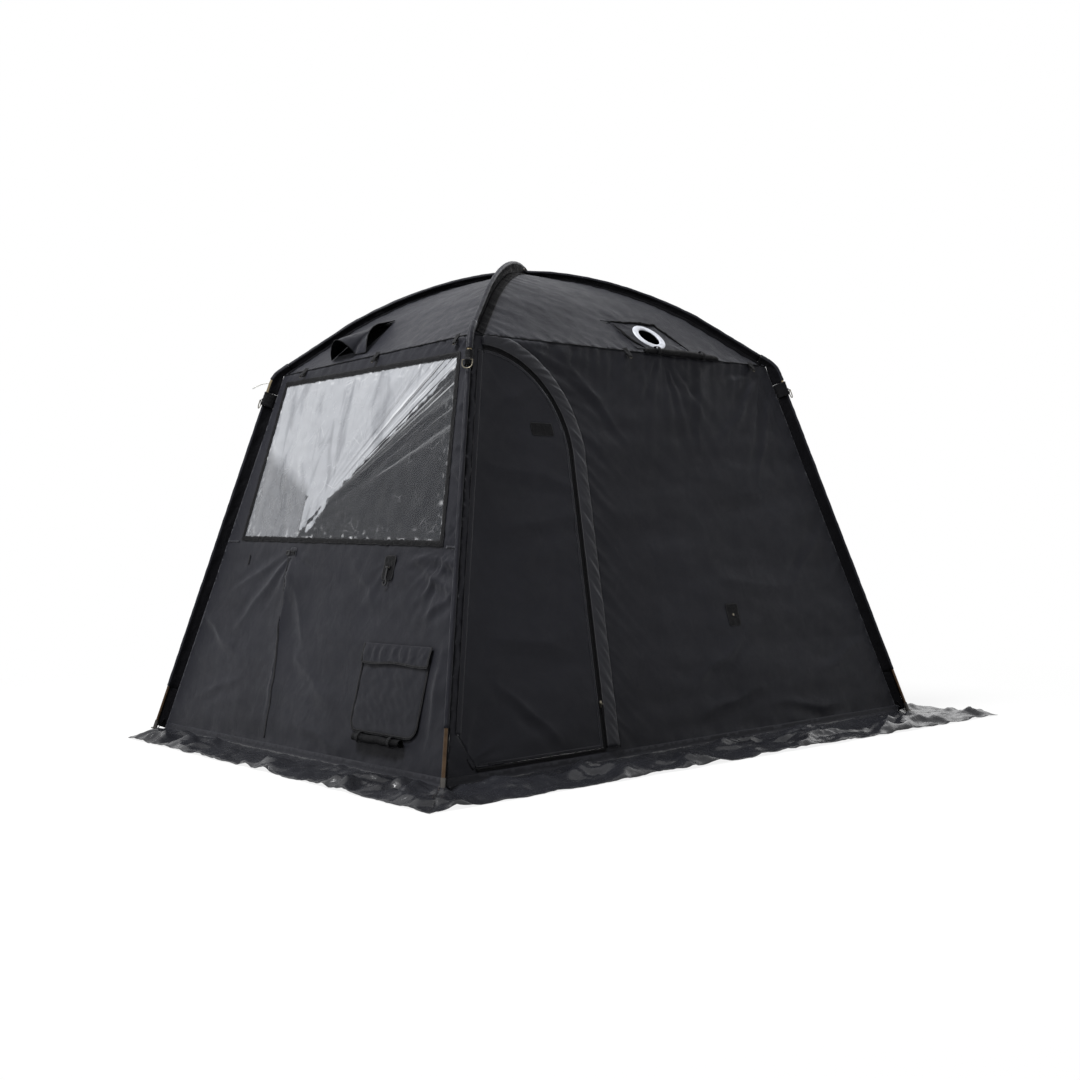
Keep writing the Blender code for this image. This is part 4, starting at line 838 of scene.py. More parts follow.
# Creases on each face: start, end, depth and width
singleFolds = {
    "left": [
        (0.53, 0.83, 0.93, 0.75, 0.014, 0.020),
        (0.60, 0.79, 0.92, 0.66, 0.009, 0.018),
        (0.73, 1.14, 0.86, 1.05, 0.009, 0.014),
        (0.70, 1.23, 0.83, 1.20, 0.008, 0.013),
        (0.68, 1.34, 0.79, 1.43, 0.008, 0.013),
        (0.60, 1.61, 0.72, 1.67, 0.008, 0.012),
        (-0.31, 0.83, -0.74, 0.65, 0.008, 0.020),
        (-0.30, 0.80, -0.64, 0.48, 0.007, 0.025),
        (-0.25, 0.80, -0.02, 0.42, 0.007, 0.028),
        (0.74, 0.57, 0.96, 0.70, 0.010, 0.018),
        (0.66, 0.62, 0.92, 0.84, 0.008, 0.018),
        (0.18, 0.82, 0.43, 0.60, 0.006, 0.028),
        (-0.95, 0.56, -0.60, 0.40, 0.009, 0.022),
        (-0.10, 0.42, 0.26, 0.22, 0.007, 0.026),
        (0.00, 0.16, 0.42, 0.06, 0.007, 0.020),
        (0.90, 0.52, 0.92, 0.10, 0.008, 0.022),
        (-0.86, 0.18, -0.44, 0.30, 0.006, 0.022),
    ],
    "front": [
        (-0.83, 1.645, -0.46, 1.62, 0.007, 0.010),
        (-0.76, 1.65, -0.34, 1.52, 0.008, 0.013),
        (-0.62, 1.65, -0.22, 1.40, 0.008, 0.015),
        (-0.44, 1.65, -0.12, 1.22, 0.007, 0.018),
        (0.84, 1.64, 0.42, 1.26, 0.012, 0.022),
        (0.88, 1.56, 0.60, 1.06, 0.010, 0.022),
        (0.80, 1.64, 0.24, 1.42, 0.007, 0.020),
        (0.55, 1.65, 0.12, 1.45, 0.006, 0.020),
        (0.40, 1.64, 0.28, 1.20, 0.006, 0.020),
        (0.02, 0.26, 0.34, 0.42, 0.009, 0.020),
        (0.00, 0.12, 0.42, 0.22, 0.007, 0.020),
        (1.04, 0.92, 0.70, 0.60, 0.007, 0.022),
        (0.26, 1.00, 0.80, 1.08, 0.005, 0.028),
        (0.20, 0.66, 0.80, 0.62, 0.005, 0.028),
        (1.14, 0.36, 0.76, 0.24, 0.007, 0.022),
        (0.42, 0.13, 0.92, 0.09, 0.007, 0.020),
    ],
    "door": [
        (-1.02, 0.36, -0.74, 0.10, 0.009, 0.020),
        (-1.04, 0.52, -0.60, 0.42, 0.005, 0.028),
        (-0.97, 1.16, -0.44, 1.05, 0.005, 0.028),
        (-0.95, 0.88, -0.40, 0.95, 0.005, 0.028),
        (-0.52, 0.16, -0.34, 0.52, 0.006, 0.022),
        (-0.92, 1.34, -0.56, 1.46, 0.005, 0.022),
    ],
    "rear": [
        (-0.9, 1.58, -0.3, 1.25, 0.008, 0.022),
        (0.9, 1.6, 0.4, 1.2, 0.008, 0.022),
        (-0.4, 0.3, 0.3, 0.45, 0.007, 0.026),
        (0.2, 1.63, 0.1, 1.2, 0.006, 0.02),
    ],
    "right": [
        (-0.9, 1.6, -0.4, 1.2, 0.008, 0.022),
        (0.85, 1.6, 0.35, 1.3, 0.008, 0.022),
        (-0.6, 0.3, 0.2, 0.5, 0.007, 0.026),
        (0.9, 0.7, 0.5, 0.4, 0.007, 0.022),
    ],
}


def wallRelief(side, x, y, seed):
    look, edges = wallFolds, wallEdges(side, x, y)
    grip = held(edges["eave"], 0.06) * held(edges["left"], 0.05) * held(edges["right"], 0.05)
    grip = grip * held(edges["hem"], 0.04)
    sag = -look["sag"] * held(edges["left"], 0.5) * held(edges["right"], 0.5) * held(edges["eave"], 0.4)
    soft = look["swell"] * clothNoise(x / 0.55, y / 0.50, seed)
    waves = look["sway"] * clothNoise(x / 0.60 + y / 1.6, y / 0.11, seed + 1)
    small = 0.0016 * clothNoise(x / 0.11 + 0.6 * y / 0.2, y / 0.07, seed + 2)
    total = grip * (sag + soft + waves + small)
    total += seamPuckers(
        x, y, eaveLine[side], look["eaveDepth"], look["eaveReach"], look["eavePitch"], seed + 3, 0.25
    )
    for line, number in ((rightCorner[side], 7), (leftCorner[side], 9)):
        total += seamPuckers(x, y, line, look["cornerDepth"], look["cornerReach"], 0.07, seed + number, 0.4)
    total += seamPuckers(x, y, hemLine, look["hemDepth"], 0.05, 0.11, seed + 12)
    total += foldLines(x, y, singleFolds[side], seed + 30)
    return total * pinned(edges) * held(edges["hem"], 0.012)


def pinned(edges):
    # The relief dies out where the wall is sewn to the roof and the sleeves
    return held(edges["eave"], 0.004) * held(edges["left"], 0.006) * held(edges["right"], 0.006)


def frontRelief(x, y):
    total = wallRelief("front", x, y, 20)
    underEave = wallSlope("front") - y
    away, _ = nearLine(x, y, flapPath)
    inner = insideOf(np.column_stack([x, y]), [doorLoop(0, -0.01)])
    outside = np.where(inner, 0.0, away)
    total = total * held(outside - 0.02, 0.07)
    folds = seamPuckers(x, y, offsetPath(flapPath, -0.082), 0.0055, 0.085, 0.042, 41, 0.9)
    total += np.where(inner, 0, folds * held(outside, 0.03)) * held(underEave, 0.01)
    # Long folds that hang from the rolled flap and from both upper corners
    total += pullFolds(x, y, (0.17, wallSlope("front") + 0.05), 0.011, 0.26, 46, 43) * held(underEave, 0.05)
    corner = held(rightOf("front", x, y), 0.03) * held(outside, 0.1)
    total += pullFolds(x, y, (0.80, 1.60), 0.010, 0.36, 40, 45) * corner
    corner = held(outside - 0.004, 0.03) * held(underEave, 0.012)
    return total + pullFolds(x, y, (-0.84, 1.61), 0.012, 0.34, 44, 46) * corner


def rightOf(side, x, y):
    return cornerAlong(side, y) - x


def doorRelief(x, y):
    # The door hangs from its zip and its sewn edge, with wide soft waves across it
    away, _ = nearLine(x, y, doorLoop(0, 0), closed=True)
    waves = 0.0075 * clothNoise(x / 0.50 - y / 0.9, y / 0.15, 61)
    soft = 0.006 * clothNoise(x / 0.33, y / 0.42, 62)
    small = 0.0016 * clothNoise(x / 0.10, y / 0.06, 63)
    total = held(away, 0.045) * (waves + soft + small) + foldLines(x, y, singleFolds["door"], 70)
    total += seamPuckers(x, y, doorPath, 0.0028, 0.05, 0.055, 64, -0.5)
    hinge = [(hingeAlong(0.15), 0.15), (hingeAlong(doorTop), doorTop)]
    total += seamPuckers(x, y, hinge, 0.0026, 0.05, 0.075, 66, 0.5)
    total += pullFolds(x, y, (hingeAlong(0.1) + 0.03, 0.08), 0.016, 0.16, 26, 68)
    return total * held(away, 0.006)


def leftRelief(x, y):
    total = wallRelief("left", x, y, 80)
    away, _ = nearLine(x, y, windowCorners, closed=True)
    offBinding = away - 0.012
    total = total * held(offBinding, 0.05)
    total += seamPuckers(x, y, windowCorners, 0.0030, 0.05, 0.05, 91, 0.6, closed=True) * held(away, 0.02)
    # The fold under the strap; the cloth left of it lies further back
    down = np.clip((0.83 - y) / 0.1, 0, 1) * np.clip((y - 0.1) / 0.5, 0, 1)
    past = x + 0.262 - 0.06 * (0.8 - y)
    total += 0.010 * np.exp(-np.abs(past) / 0.035) * down
    total += 0.016 * np.exp(-np.maximum(past, 0) / 0.16) * (past > 0) * down
    # Slanting creases in the band over the window, near the corner
    band = np.clip((y - 1.545) / 0.02, 0, 1) * np.exp(-np.maximum(0.64 - x, 0) / 0.20)
    total += 0.0095 * clothNoise((x - 0.9 * y) / 0.021, (x + y) / 0.25, 99) * band * held(offBinding, 0.015)
    # Folds that run from the strap, the corners and the hook tab
    underWindow = held(0.84 - y, 0.04)
    for centre, depth, reach, count, seed, share in (
        ((-0.265, 0.83), 0.014, 0.26, 22, 92, underWindow),
        ((0.715, 1.63), 0.017, 0.26, 44, 97, held(offBinding, 0.022) * held(rightOf("left", x, y), 0.022)),
        ((0.80, 0.84), 0.016, 0.22, 30, 98, held(offBinding, 0.022)),
        ((0.468, 0.80), 0.006, 0.16, 24, 94, underWindow),
        ((0.90, 0.86), 0.007, 0.20, 30, 96, held(away, 0.03)),
    ):
        total += pullFolds(x, y, centre, depth, reach, count, seed) * share
    # Little relief is left under the low port's cover
    overPort = np.hypot(np.maximum(np.abs(x - 0.638) - 0.2, 0), np.maximum(np.abs(y - 0.30) - 0.18, 0))
    return total * pinned(wallEdges("left", x, y)) * lerp(0.25, 1, held(overPort, 0.03))


def rearRelief(x, y):
    return wallRelief("rear", x, y, 120)


def rightRelief(x, y):
    return wallRelief("right", x, y, 150)


def makeWalls():
    plans = {
        "front": ([wallLoop("front"), doorLoop(0, 0)], frontRelief, 0.011),
        "left": ([wallLoop("left"), windowCorners], leftRelief, 0.011),
        "rear": ([wallLoop("rear")], rearRelief, 0.018),
        "right": ([wallLoop("right")], rightRelief, 0.018),
    }
    for side, (loops, relief, cell) in plans.items():
        name = side + "WallCloth"
        wall = clothPiece(
            name, loops, onWall(side), relief, cell, tentSize["cloth"], shellThickness, shellCloth
        )
        heldBy = ["corner_sleeve_front_left", "corner_sleeve_rear_right"]
        sewnSheet(wall, loops, "tent", "shell_fabric", "stretched", heldBy, "wall_" + side)


makeWalls()
print("walls cut and folded")

# The roof: one canopy over both arches, from four curved gores

roofOutlets = {"flue": (0.171, 0.116, 0.052), "vent": (-0.232, 0.171, 0.088, 0.082)}
roofFolds = {
    "sag": 0.012,
    "swell": 0.007,
    "ridgeDepth": 0.0045,
    "ridgeReach": 0.12,
    "ridgePitch": 0.044,
    "eaveDepth": 0.0045,
}


def goreLoop(side, cell=0.011):
    length, _, _, _ = roofLine(side)
    width = sides[side][3]
    span = math.hypot(length[-1], width * eaveShare)
    shares = np.linspace(eaveShare, 0, round(span / cell) + 1)
    rise = np.interp(-shares, -roofShares, length)
    right = [(float(width * s), float(r)) for s, r in zip(shares, rise)]
    left = [(-x, r) for x, r in right[:-1]][::-1]
    return right + left


def roofRelief(side, seed):
    loop = goreLoop(side, 0.05)
    half = len(loop) // 2 + 1
    ridges = (loop[:half], loop[half - 1 :])
    look = roofFolds

    def relief(x, y):
        ridge = np.minimum(nearLine(x, y, ridges[0])[0], nearLine(x, y, ridges[1])[0])
        soft = look["swell"] * clothNoise(x / 0.5, y / 0.35, seed)
        small = 0.0018 * clothNoise(x / 0.10, y / 0.10, seed + 1)
        total = held(ridge, 0.09) * held(y, 0.09) * (soft + small - look["sag"] * held(ridge, 0.35))
        for line, number, slant in ((ridges[0], 2, -0.35), (ridges[1], 4, 0.35)):
            reach, pitch = look["ridgeReach"], look["ridgePitch"]
            total += seamPuckers(x, y, line, look["ridgeDepth"], reach, pitch, seed + number, slant)
        total += seamPuckers(x, y, [(-1.0, 0.0), (1.0, 0.0)], look["eaveDepth"], 0.06, 0.05, seed + 6, 0.3)
        if side == "front":
            away = np.hypot(x - roofOutlets["flue"][0] - 0.02, y - roofOutlets["flue"][1])
            total *= held(away - 0.10, 0.05)
            total += pullFolds(x, y, (0.17, 0.12), 0.006, 0.16, 34, seed + 8) * held(away - 0.12, 0.04)
        if side == "left":
            away = np.hypot(np.maximum(np.abs(x + 0.22) - 0.10, 0), np.maximum(np.abs(y - 0.171) - 0.10, 0))
            total *= held(away - 0.02, 0.06)
        return total * held(ridge, 0.010) * held(y, 0.006)

    return relief


def makeCanopy():
    # The gores share their ridge points, so the merged canopy is one sheet
    points, faces, flat, seams = [], [], [], []
    count, area = 0, 0.0
    for number, side in enumerate(sides):
        loops = [goreLoop(side)]
        if side == "front":
            x, y, radius = roofOutlets["flue"]
            loops.append(arcPoints((x, y), radius, radius, 0, 360, 48)[:-1])
        if side == "left":
            loops.append(boxLoop(*roofOutlets["vent"]))
        cut, triangles, seam = cutCloth(loops, 0.0125)
        x, y = cut[:, 0], cut[:, 1]
        points.append(onRoof(side)(x, y, tentSize["cloth"] + roofRelief(side, 200 + 20 * number)(x, y)))
        faces.append(triangles + count)
        flat.append(cut + (3.0 * number, 0))
        seams.append(seam)
        count += len(cut)
        area += loopArea(loops)
    canopy = newObject(
        "roofCanopy", *(np.concatenate(rows) for rows in (points, faces, flat, seams)), shellCloth
    )
    changeMesh(canopy, lambda bm: bmesh.ops.remove_doubles(bm, verts=bm.verts, dist=0.0022))
    canopy.data.shade_smooth()
    canopy.data.set_sharp_from_angle(angle=math.radians(24))
    thicken(canopy, shellThickness)
    settle(canopy, "tent", "shell_fabric", "roof_front", "roof_left", "roof_rear", "roof_right")


makeCanopy()
print("canopy made")


# Builders for swept cloth, tapes and thin tubes


def sweptCloth(name, base, thickness, material, outward, keep=None):
    # Cloth through rows of points. Outward says which side faces out, and keep says which faces stay.
    base = np.array(base, float)
    rows, columns = base.shape[:2]
    normal = np.cross(np.gradient(base, axis=1), np.gradient(base, axis=0))
    normal /= np.maximum(np.linalg.norm(normal, axis=2, keepdims=True), 1e-12)
    turned = float((normal * outward).sum()) < 0
    index = np.arange(rows * columns).reshape(rows, columns)
    quads = np.stack([index[:-1, :-1], index[:-1, 1:], index[1:, 1:], index[1:, :-1]], -1)
    if turned:
        quads = quads[..., ::-1]
    quads = quads.reshape(-1, 4) if keep is None else quads[keep]
    along, across = (
        np.insert(np.cumsum(np.linalg.norm(np.diff(base, axis=axis), axis=2), axis=axis), 0, 0, axis=axis)
        for axis in (0, 1)
    )
    seam = np.minimum(across, across[:, -1:] - across)
    flat = np.stack([along, across], -1).reshape(-1, 2)
    obj = newObject(name, base.reshape(-1, 3), quads, flat, seam.ravel(), material)
    corner = base.reshape(-1, 3)[quads]
    crossed = np.cross(corner[:, 2] - corner[:, 0], corner[:, 3] - corner[:, 1])
    area = 0.5 * np.linalg.norm(crossed, axis=1).sum()
    if thickness:
        thicken(obj, thickness)
    size = (float(across[:, -1].mean()), float(along[-1].mean()))
    return obj, size, float(area)


def sewn(made, body, slot, heldAs, restsOn, *nodes):
    settle(made[0], body, slot, *nodes)


def tapeGrid(path, inner, outer, step, columns, closed=False):
    # Rows of flat points across a tape whose two edges run beside a path
    near, far = np.array(offsetPath(path, inner, closed)), np.array(offsetPath(path, outer, closed))
    if closed:
        near, far = np.vstack([near, near[:1]]), np.vstack([far, far[:1]])
    ends = []
    for i in range(len(near) - 1):
        count = max(1, round(float(np.hypot(*(near[i + 1] - near[i]))) / step))
        ends += [
            (lerp(near[i], near[i + 1], k / count), lerp(far[i], far[i + 1], k / count)) for k in range(count)
        ]
    ends.append((near[-1], far[-1]))
    ends = np.array(ends)
    share = np.linspace(0, 1, columns)[None, :, None]
    return lerp(ends[:, :1], ends[:, 1:], share)


def tapeCloth(name, grid, place, lift, look, material, follow=None, seed=0):
    # A tape on a surface, a little round across and unsteady along its length
    rows, columns = grid.shape[:2]
    share = np.linspace(0, 1, columns)[None, :] * np.ones((rows, 1))
    gone = goneAlong(grid[:, columns // 2])[:, None] * np.ones((1, columns))
    height = lift + look["crown"] * 4 * share * (1 - share)
    height = height + look["waver"] * clothNoise(gone / look["pitch"], share * 1.7 + 3, look["seed"] + seed)
    if follow is not None:
        height = height + follow(grid[..., 0], grid[..., 1])
    points = place(grid[..., 0], grid[..., 1], height)
    facing = place(0.0, 0.1, 1.0) - place(0.0, 0.1, 0.0)
    return sweptCloth(name, points, look["cloth"], material, facing)


def alongPath(path, step, closed=False):
    # Even stations along a flat path
    points = np.array([tuple(p) for p in path] + ([tuple(path[0])] if closed else []), float)
    gone = goneAlong(points)
    stations = np.linspace(0, gone[-1], max(2, round(gone[-1] / step) + 1))
    return np.stack([np.interp(stations, gone, points[:, i]) for i in range(points.shape[1])], -1), stations


def tubeRows(points, radius, facing, sides):
    # Rings round a line; radius may vary along it
    points = np.array(points, float)
    ahead = np.gradient(points, axis=0)
    ahead /= np.linalg.norm(ahead, axis=1, keepdims=True)
    side = np.cross(ahead, facing)
    side /= np.maximum(np.linalg.norm(side, axis=1, keepdims=True), 1e-9)
    above = np.cross(side, ahead)
    turn = np.linspace(0, 2 * math.pi, sides, endpoint=False)
    radius = np.broadcast_to(np.asarray(radius, float), (len(points),))[:, None, None]
    ring = np.cos(turn)[None, :, None] * side[:, None] + np.sin(turn)[None, :, None] * above[:, None]
    return points[:, None] + radius * ring


def tubesObject(name, lines, radius, facing, sides, material):
    # Thin closed tubes as one mesh, such as cording, a coil or a net
    points, faces, flat, count = [], [], [], 0
    for line in lines:
        ring = tubeRows(line, radius, facing, sides)
        rows = len(ring)
        quads, first, last = ringFaces(rows, sides, count)
        faces += quads + [first[::-1], last]
        points.append(ring.reshape(-1, 3))
        flat.append(
            np.stack([np.repeat(goneAlong(line), sides), np.tile(np.linspace(0, 0.01, sides), rows)], -1)
        )
        count += rows * sides
    obj = newObject(name, np.concatenate(points), faces, np.concatenate(flat), None, material)
    recalculate(obj)
    return obj


def ringFaces(rows, count, first=0):
    # Faces between rings that follow each other, then the two ends
    index = np.arange(rows * count).reshape(rows, count) + first
    following = np.roll(index, -1, axis=1)
    quads = np.stack([index[:-1], following[:-1], following[1:], index[1:]], -1).reshape(-1, 4)
    return [tuple(q) for q in quads], tuple(index[0]), tuple(index[-1])


def recalculate(obj):
    changeMesh(obj, lambda bm: bmesh.ops.recalc_face_normals(bm, faces=bm.faces))
    obj.data.shade_smooth()


def removeLoose(obj):
    def clean(bm):
        bmesh.ops.delete(bm, geom=[v for v in bm.verts if not v.link_faces], context="VERTS")

    changeMesh(obj, clean)


def matrixOf(origin, xAxis, yAxis):
    origin, xAxis, yAxis, zAxis = axesOf(origin, np.array(xAxis) / np.linalg.norm(xAxis), yAxis)
    matrix = Matrix((xAxis, yAxis, zAxis)).transposed().to_4x4()
    matrix.translation = origin
    return matrix


def roofAxes(side):
    # The flat first band of the roof, which carries the outlets
    out, along, depth, _ = sides[side]
    band = eaveShare * tentSize["flatBand"]
    bandHeight = lerp(
        tentSize["crownHeight"], tentSize["eaveHeight"], tentSize["flatBand"] ** tentSize["roofFullness"]
    )
    eave = np.array(out) * depth * eaveShare + np.array((0, 0, tentSize["eaveHeight"]))
    return axesOf(eave, along, np.array(out) * depth * band + np.array((0, 0, bandHeight)) - eave)


def frameAt(axes, x, y, lift):
    origin, xAxis, yAxis, zAxis = axes
    return matrixOf(origin + xAxis * x + yAxis * y + zAxis * lift, xAxis, yAxis)


# Modelling by hand: a primitive, shaped in edit mode, then put in its place


def startFrom(operator, **settings):
    bpy.ops.object.select_all(action="DESELECT")
    operator(**settings)
    bpy.ops.object.transform_apply(location=True, rotation=True, scale=True)
    bpy.ops.object.mode_set(mode="EDIT")
    bpy.ops.mesh.select_all(action="SELECT")
    return bpy.context.object


def finishPiece(obj, name, material, matrix=None, angle=35):
    bpy.ops.mesh.select_all(action="SELECT")
    bpy.ops.mesh.remove_doubles(threshold=0.00001)
    bpy.ops.mesh.normals_make_consistent(inside=False)
    bpy.ops.object.mode_set(mode="OBJECT")
    obj.name = obj.data.name = name
    if matrix is not None:
        obj.data.transform(matrix)
    bpy.ops.object.shade_smooth_by_angle(angle=math.radians(angle))
    obj.data.materials.clear()
    obj.data.materials.append(material)
    return obj


def turnedPiece(name, profile, segments, material, matrix):
    # A ring of edges, extruded and resized along the profile's (radius, height) points
    obj = startFrom(
        bpy.ops.mesh.primitive_circle_add,
        vertices=segments,
        radius=profile[0][0],
        location=(0, 0, profile[0][1]),
    )
    for (radius, height), (nextRadius, nextHeight) in zip(profile, profile[1:]):
        bpy.ops.mesh.extrude_region_move(TRANSFORM_OT_translate={"value": (0, 0, nextHeight - height)})
        share = nextRadius / radius
        bpy.ops.transform.resize(value=(share, share, 1), center_override=(0, 0, 0))
    if profile[0] != profile[-1]:
        bpy.ops.mesh.edge_face_add()
    return finishPiece(obj, name, material, matrix)


def copyOf(obj, name, matrix):
    made = obj.copy()
    made.data = obj.data.copy()
    made.name = made.data.name = name
    made.data.transform(matrix)
    bpy.context.scene.collection.objects.link(made)
    return made


# Finishes of the clear pane, metals, plastic, cord and the heat ring


def stitched(tree, look, colour, normal):
    # Two rows of thread along a tape, a little inside its edges
    along = addNode(tree, "ShaderNodeSeparateXYZ", {"Vector": flatPlace(tree)}).outputs[0]
    away = worked(tree, "SUBTRACT", meshValue(tree, "edgeDistance"), look["rowInset"])
    row = ranged(tree, worked(tree, "ABSOLUTE", away), 1, 0, look["threadWidth"] * 0.4, look["threadWidth"])
    turn = worked(tree, "FRACT", worked(tree, "MULTIPLY", along, 1 / look["stitch"]))
    mask = worked(tree, "MULTIPLY", row, ranged(tree, turn, 1, 0, 0.62, 0.74))
    return mixed(tree, mask, colour, tinted(look["thread"], 1)), bumped(tree, mask, 0.6, 0.0006, normal)


def addStitches(material, look):
    sockets = material.node_tree.nodes["Principled BSDF"].inputs
    colour, normal = (sockets[key].links[0].from_socket for key in ("Base Color", "Normal"))
    colour, normal = stitched(material.node_tree, look, colour, normal)
    material.node_tree.links.new(colour, sockets["Base Color"])
    material.node_tree.links.new(normal, sockets["Normal"])
    return material


def variant(material, name, stitches=None, **sockets):
    made = material.copy()
    made.name = name
    for key, value in sockets.items():
        made.node_tree.nodes["Principled BSDF"].inputs[key].default_value = value
    return addStitches(made, stitches) if stitches else made


seamStitches = {"rowInset": 0.0028, "threadWidth": 0.0007, "stitch": 0.0042, "thread": (0.055, 0.055, 0.058)}
tapeStitched = variant(tapeBlack, "tapeStitched", seamStitches)
shellStitched = variant(shellCloth, "shellStitched", seamStitches)
flapStitched = variant(
    shellCloth, "flapStitched", seamStitches, **{"Sheen Weight": 0.5, "Specular IOR Level": 0.15}
)


def metalFinish(name, look):
    material, tree, _, place = newFinish(name, {"Metallic": 1.0, "Specular IOR Level": 0.5})
    drawn = addNode(tree, "ShaderNodeMapping", {"Vector": place, "Scale": look["grain"]}).outputs[0]
    lines = noisy(tree, drawn, 60.0, 5.0)
    marks = ranged(tree, noisy(tree, place, 45.0, 8.0), 0, 1, 0.35, 0.65)
    colour = mixed(tree, marks, tinted(look["colour"], 0.8), tinted(look["colour"], 1.15))
    rough = ranged(tree, lines, look["roughness"] - 0.08, look["roughness"] + 0.10)
    return plug(material, colour, rough, bumped(tree, lines, 0.15, 0.0003))


def plasticFinish(name, look):
    material, tree, _, place = newFinish(name, {"Specular IOR Level": look["gloss"]})
    broad = noisy(tree, place, 40.0, 5.0)
    colour = mixed(
        tree, ranged(tree, broad, 0, 1), tinted(look["colour"], 0.85), tinted(look["colour"], 1.25)
    )
    rough = ranged(tree, broad, look["roughness"] - 0.06, look["roughness"] + 0.08)
    return plug(material, colour, rough, bumped(tree, noisy(tree, place, 900.0, 2.0), 0.2, 0.0002))


def cordFinish(name, look):
    material, tree, _, place = newFinish(name, {"Specular IOR Level": 0.3, "Sheen Weight": 0.2})
    wave = {"Vector": place, "Scale": 180.0, "Distortion": 1.5}
    braid = addNode(tree, "ShaderNodeTexWave", wave, bands_direction="DIAGONAL").outputs["Fac"]
    # Painted shade: the colour is darker where the braid's bump is low, in its grooves
    colour = mixed(tree, braid, tinted(look["colour"], 0.62), tinted(look["colour"], 1.1))
    return plug(material, colour, ranged(tree, braid, 0.6, 0.8, 0, 1), bumped(tree, braid, 0.7, 0.0005))


def paneFinish(name, look):
    # Clear sheet, hazed and creased: the haze and the creases come from the mesh's own attributes, with
    # highlights painted on the creases, glints painted near the binding, and shade painted into the hollows
    # between creases and into hanging streaks of the haze
    gloss = {"Specular IOR Level": 0.35, "Coat Weight": 0.12, "Coat Roughness": 0.10}
    material, tree, shader, place = newFinish(name, gloss)
    flat = flatPlace(tree)
    depth, half, glint, fan, fanAway, bunch = (
        meshValue(tree, key) for key in (
            "hazeDepth", "halfHaze", "paintedHighlight", "fanTurn", "fanAway", "fanBunch"
        )
    )
    # The haze ends along crisp, slightly wandering lines, and softly on the left
    edge = worked(tree, "ADD", depth, ranged(tree, noisy(tree, flat, 24.0, 3.0), -0.013, 0.013))
    crisp = ranged(tree, edge, 0, 1, -0.004, 0.007)
    soft = ranged(tree, depth, 0, 1, -0.075, 0.050)
    onLeft = worked(tree, "MULTIPLY", half, worked(tree, "SUBTRACT", soft, crisp))
    haze = worked(tree, "ADD", crisp, onLeft)
    haze = worked(tree, "MAXIMUM", haze, worked(tree, "MULTIPLY", half, look["halfShare"]))
    # Painted highlights: the mesh's painted streaks and glints, then the creases' and crinkles' streaks, all
    # mixed toward the light colour
    streak = glint
    for turnScale, awayScale, low, high, share in look["creases"]:
        turned = worked(tree, "MULTIPLY", fan, turnScale)
        out = worked(tree, "MULTIPLY", fanAway, awayScale)
        line = addNode(tree, "ShaderNodeCombineXYZ", {0: turned, 1: out}).outputs[0]
        peak = ranged(tree, noisy(tree, line, 1.0, 4.0, {"Roughness": 0.6}), 0, share, low, high)
        streak = worked(tree, "MAXIMUM", streak, worked(tree, "MULTIPLY", peak, bunch))
    # Painted shade: the hollows between the creases are made clearer, and so darker
    turned = worked(tree, "MULTIPLY", fan, 47.0)
    line = addNode(tree, "ShaderNodeCombineXYZ", {0: turned, 1: fanAway, 2: 5.0}).outputs[0]
    hollow = worked(tree, "MULTIPLY", ranged(tree, noisy(tree, line, 1.0, 3.0), 0, 0.85, 0.52, 0.60), bunch)
    haze = worked(tree, "MULTIPLY", haze, worked(tree, "SUBTRACT", 1.0, hollow))
    # Painted shade in hanging streaks of the haze, mixed toward the shade colour, and painted highlights on a
    # crinkle in places
    hung = addNode(tree, "ShaderNodeMapping", {"Vector": flat, "Scale": (9.0, 2.2, 1.0)}).outputs[0]
    hangingShade = noisy(tree, hung, 1.0, 5.0, {"Distortion": 1.6})
    cells = addNode(tree, "ShaderNodeTexVoronoi", {"Vector": flat, "Scale": 17.0}, feature="DISTANCE_TO_EDGE")
    crinkle = ranged(tree, cells.outputs["Distance"], 0.34, 0, 0.0, 0.028)
    crinkle = worked(tree, "MULTIPLY", crinkle, ranged(tree, noisy(tree, flat, 6.0, 3.0), 0, 1, 0.56, 0.66))
    streak = worked(tree, "MAXIMUM", streak, crinkle)
    body = mixed(tree, haze, tinted(look["clear"], 1), tinted(look["hazed"], 1))
    shadedHaze = mixed(tree, haze, tinted(look["clear"], 1.1), tinted(look["shade"], 1))
    body = mixed(tree, ranged(tree, hangingShade, 0, 0.75, 0.50, 0.68), body, shadedHaze)
    body = mixed(tree, streak, body, tinted(look["light"], 1))
    seen = ranged(tree, haze, look["clearAlpha"], look["hazedAlpha"], 0, 1)
    tree.links.new(worked(tree, "MAXIMUM", streak, seen), shader.inputs["Alpha"])
    fine = noisy(tree, place, 14.0, 3.0, {"Distortion": 1.2})
    return plug(material, body, ranged(tree, fine, 0.18, 0.30), bumped(tree, fine, 0.10, 0.0016))


poleBronze = metalFinish(
    "poleBronze", {"colour": (0.062, 0.041, 0.026), "roughness": 0.36, "grain": (40, 40, 1)}
)
elbowMetal = metalFinish(
    "elbowMetal", {"colour": (0.20, 0.165, 0.105), "roughness": 0.40, "grain": (8, 8, 4)}
)
steelWire = metalFinish("steelWire", {"colour": (0.15, 0.135, 0.105), "roughness": 0.34, "grain": (6, 6, 6)})
tipMetal = metalFinish("tipMetal", {"colour": (0.07, 0.066, 0.062), "roughness": 0.42, "grain": (6, 6, 6)})
hookPlastic = plasticFinish(
    "hookPlastic", {"colour": (0.013, 0.013, 0.014), "roughness": 0.40, "gloss": 0.15}
)
cordWhite = cordFinish("cordWhite", {"colour": (0.66, 0.66, 0.63)})
heatRing = plasticFinish("heatRing", {"colour": (0.47, 0.485, 0.53), "roughness": 0.46, "gloss": 0.5})
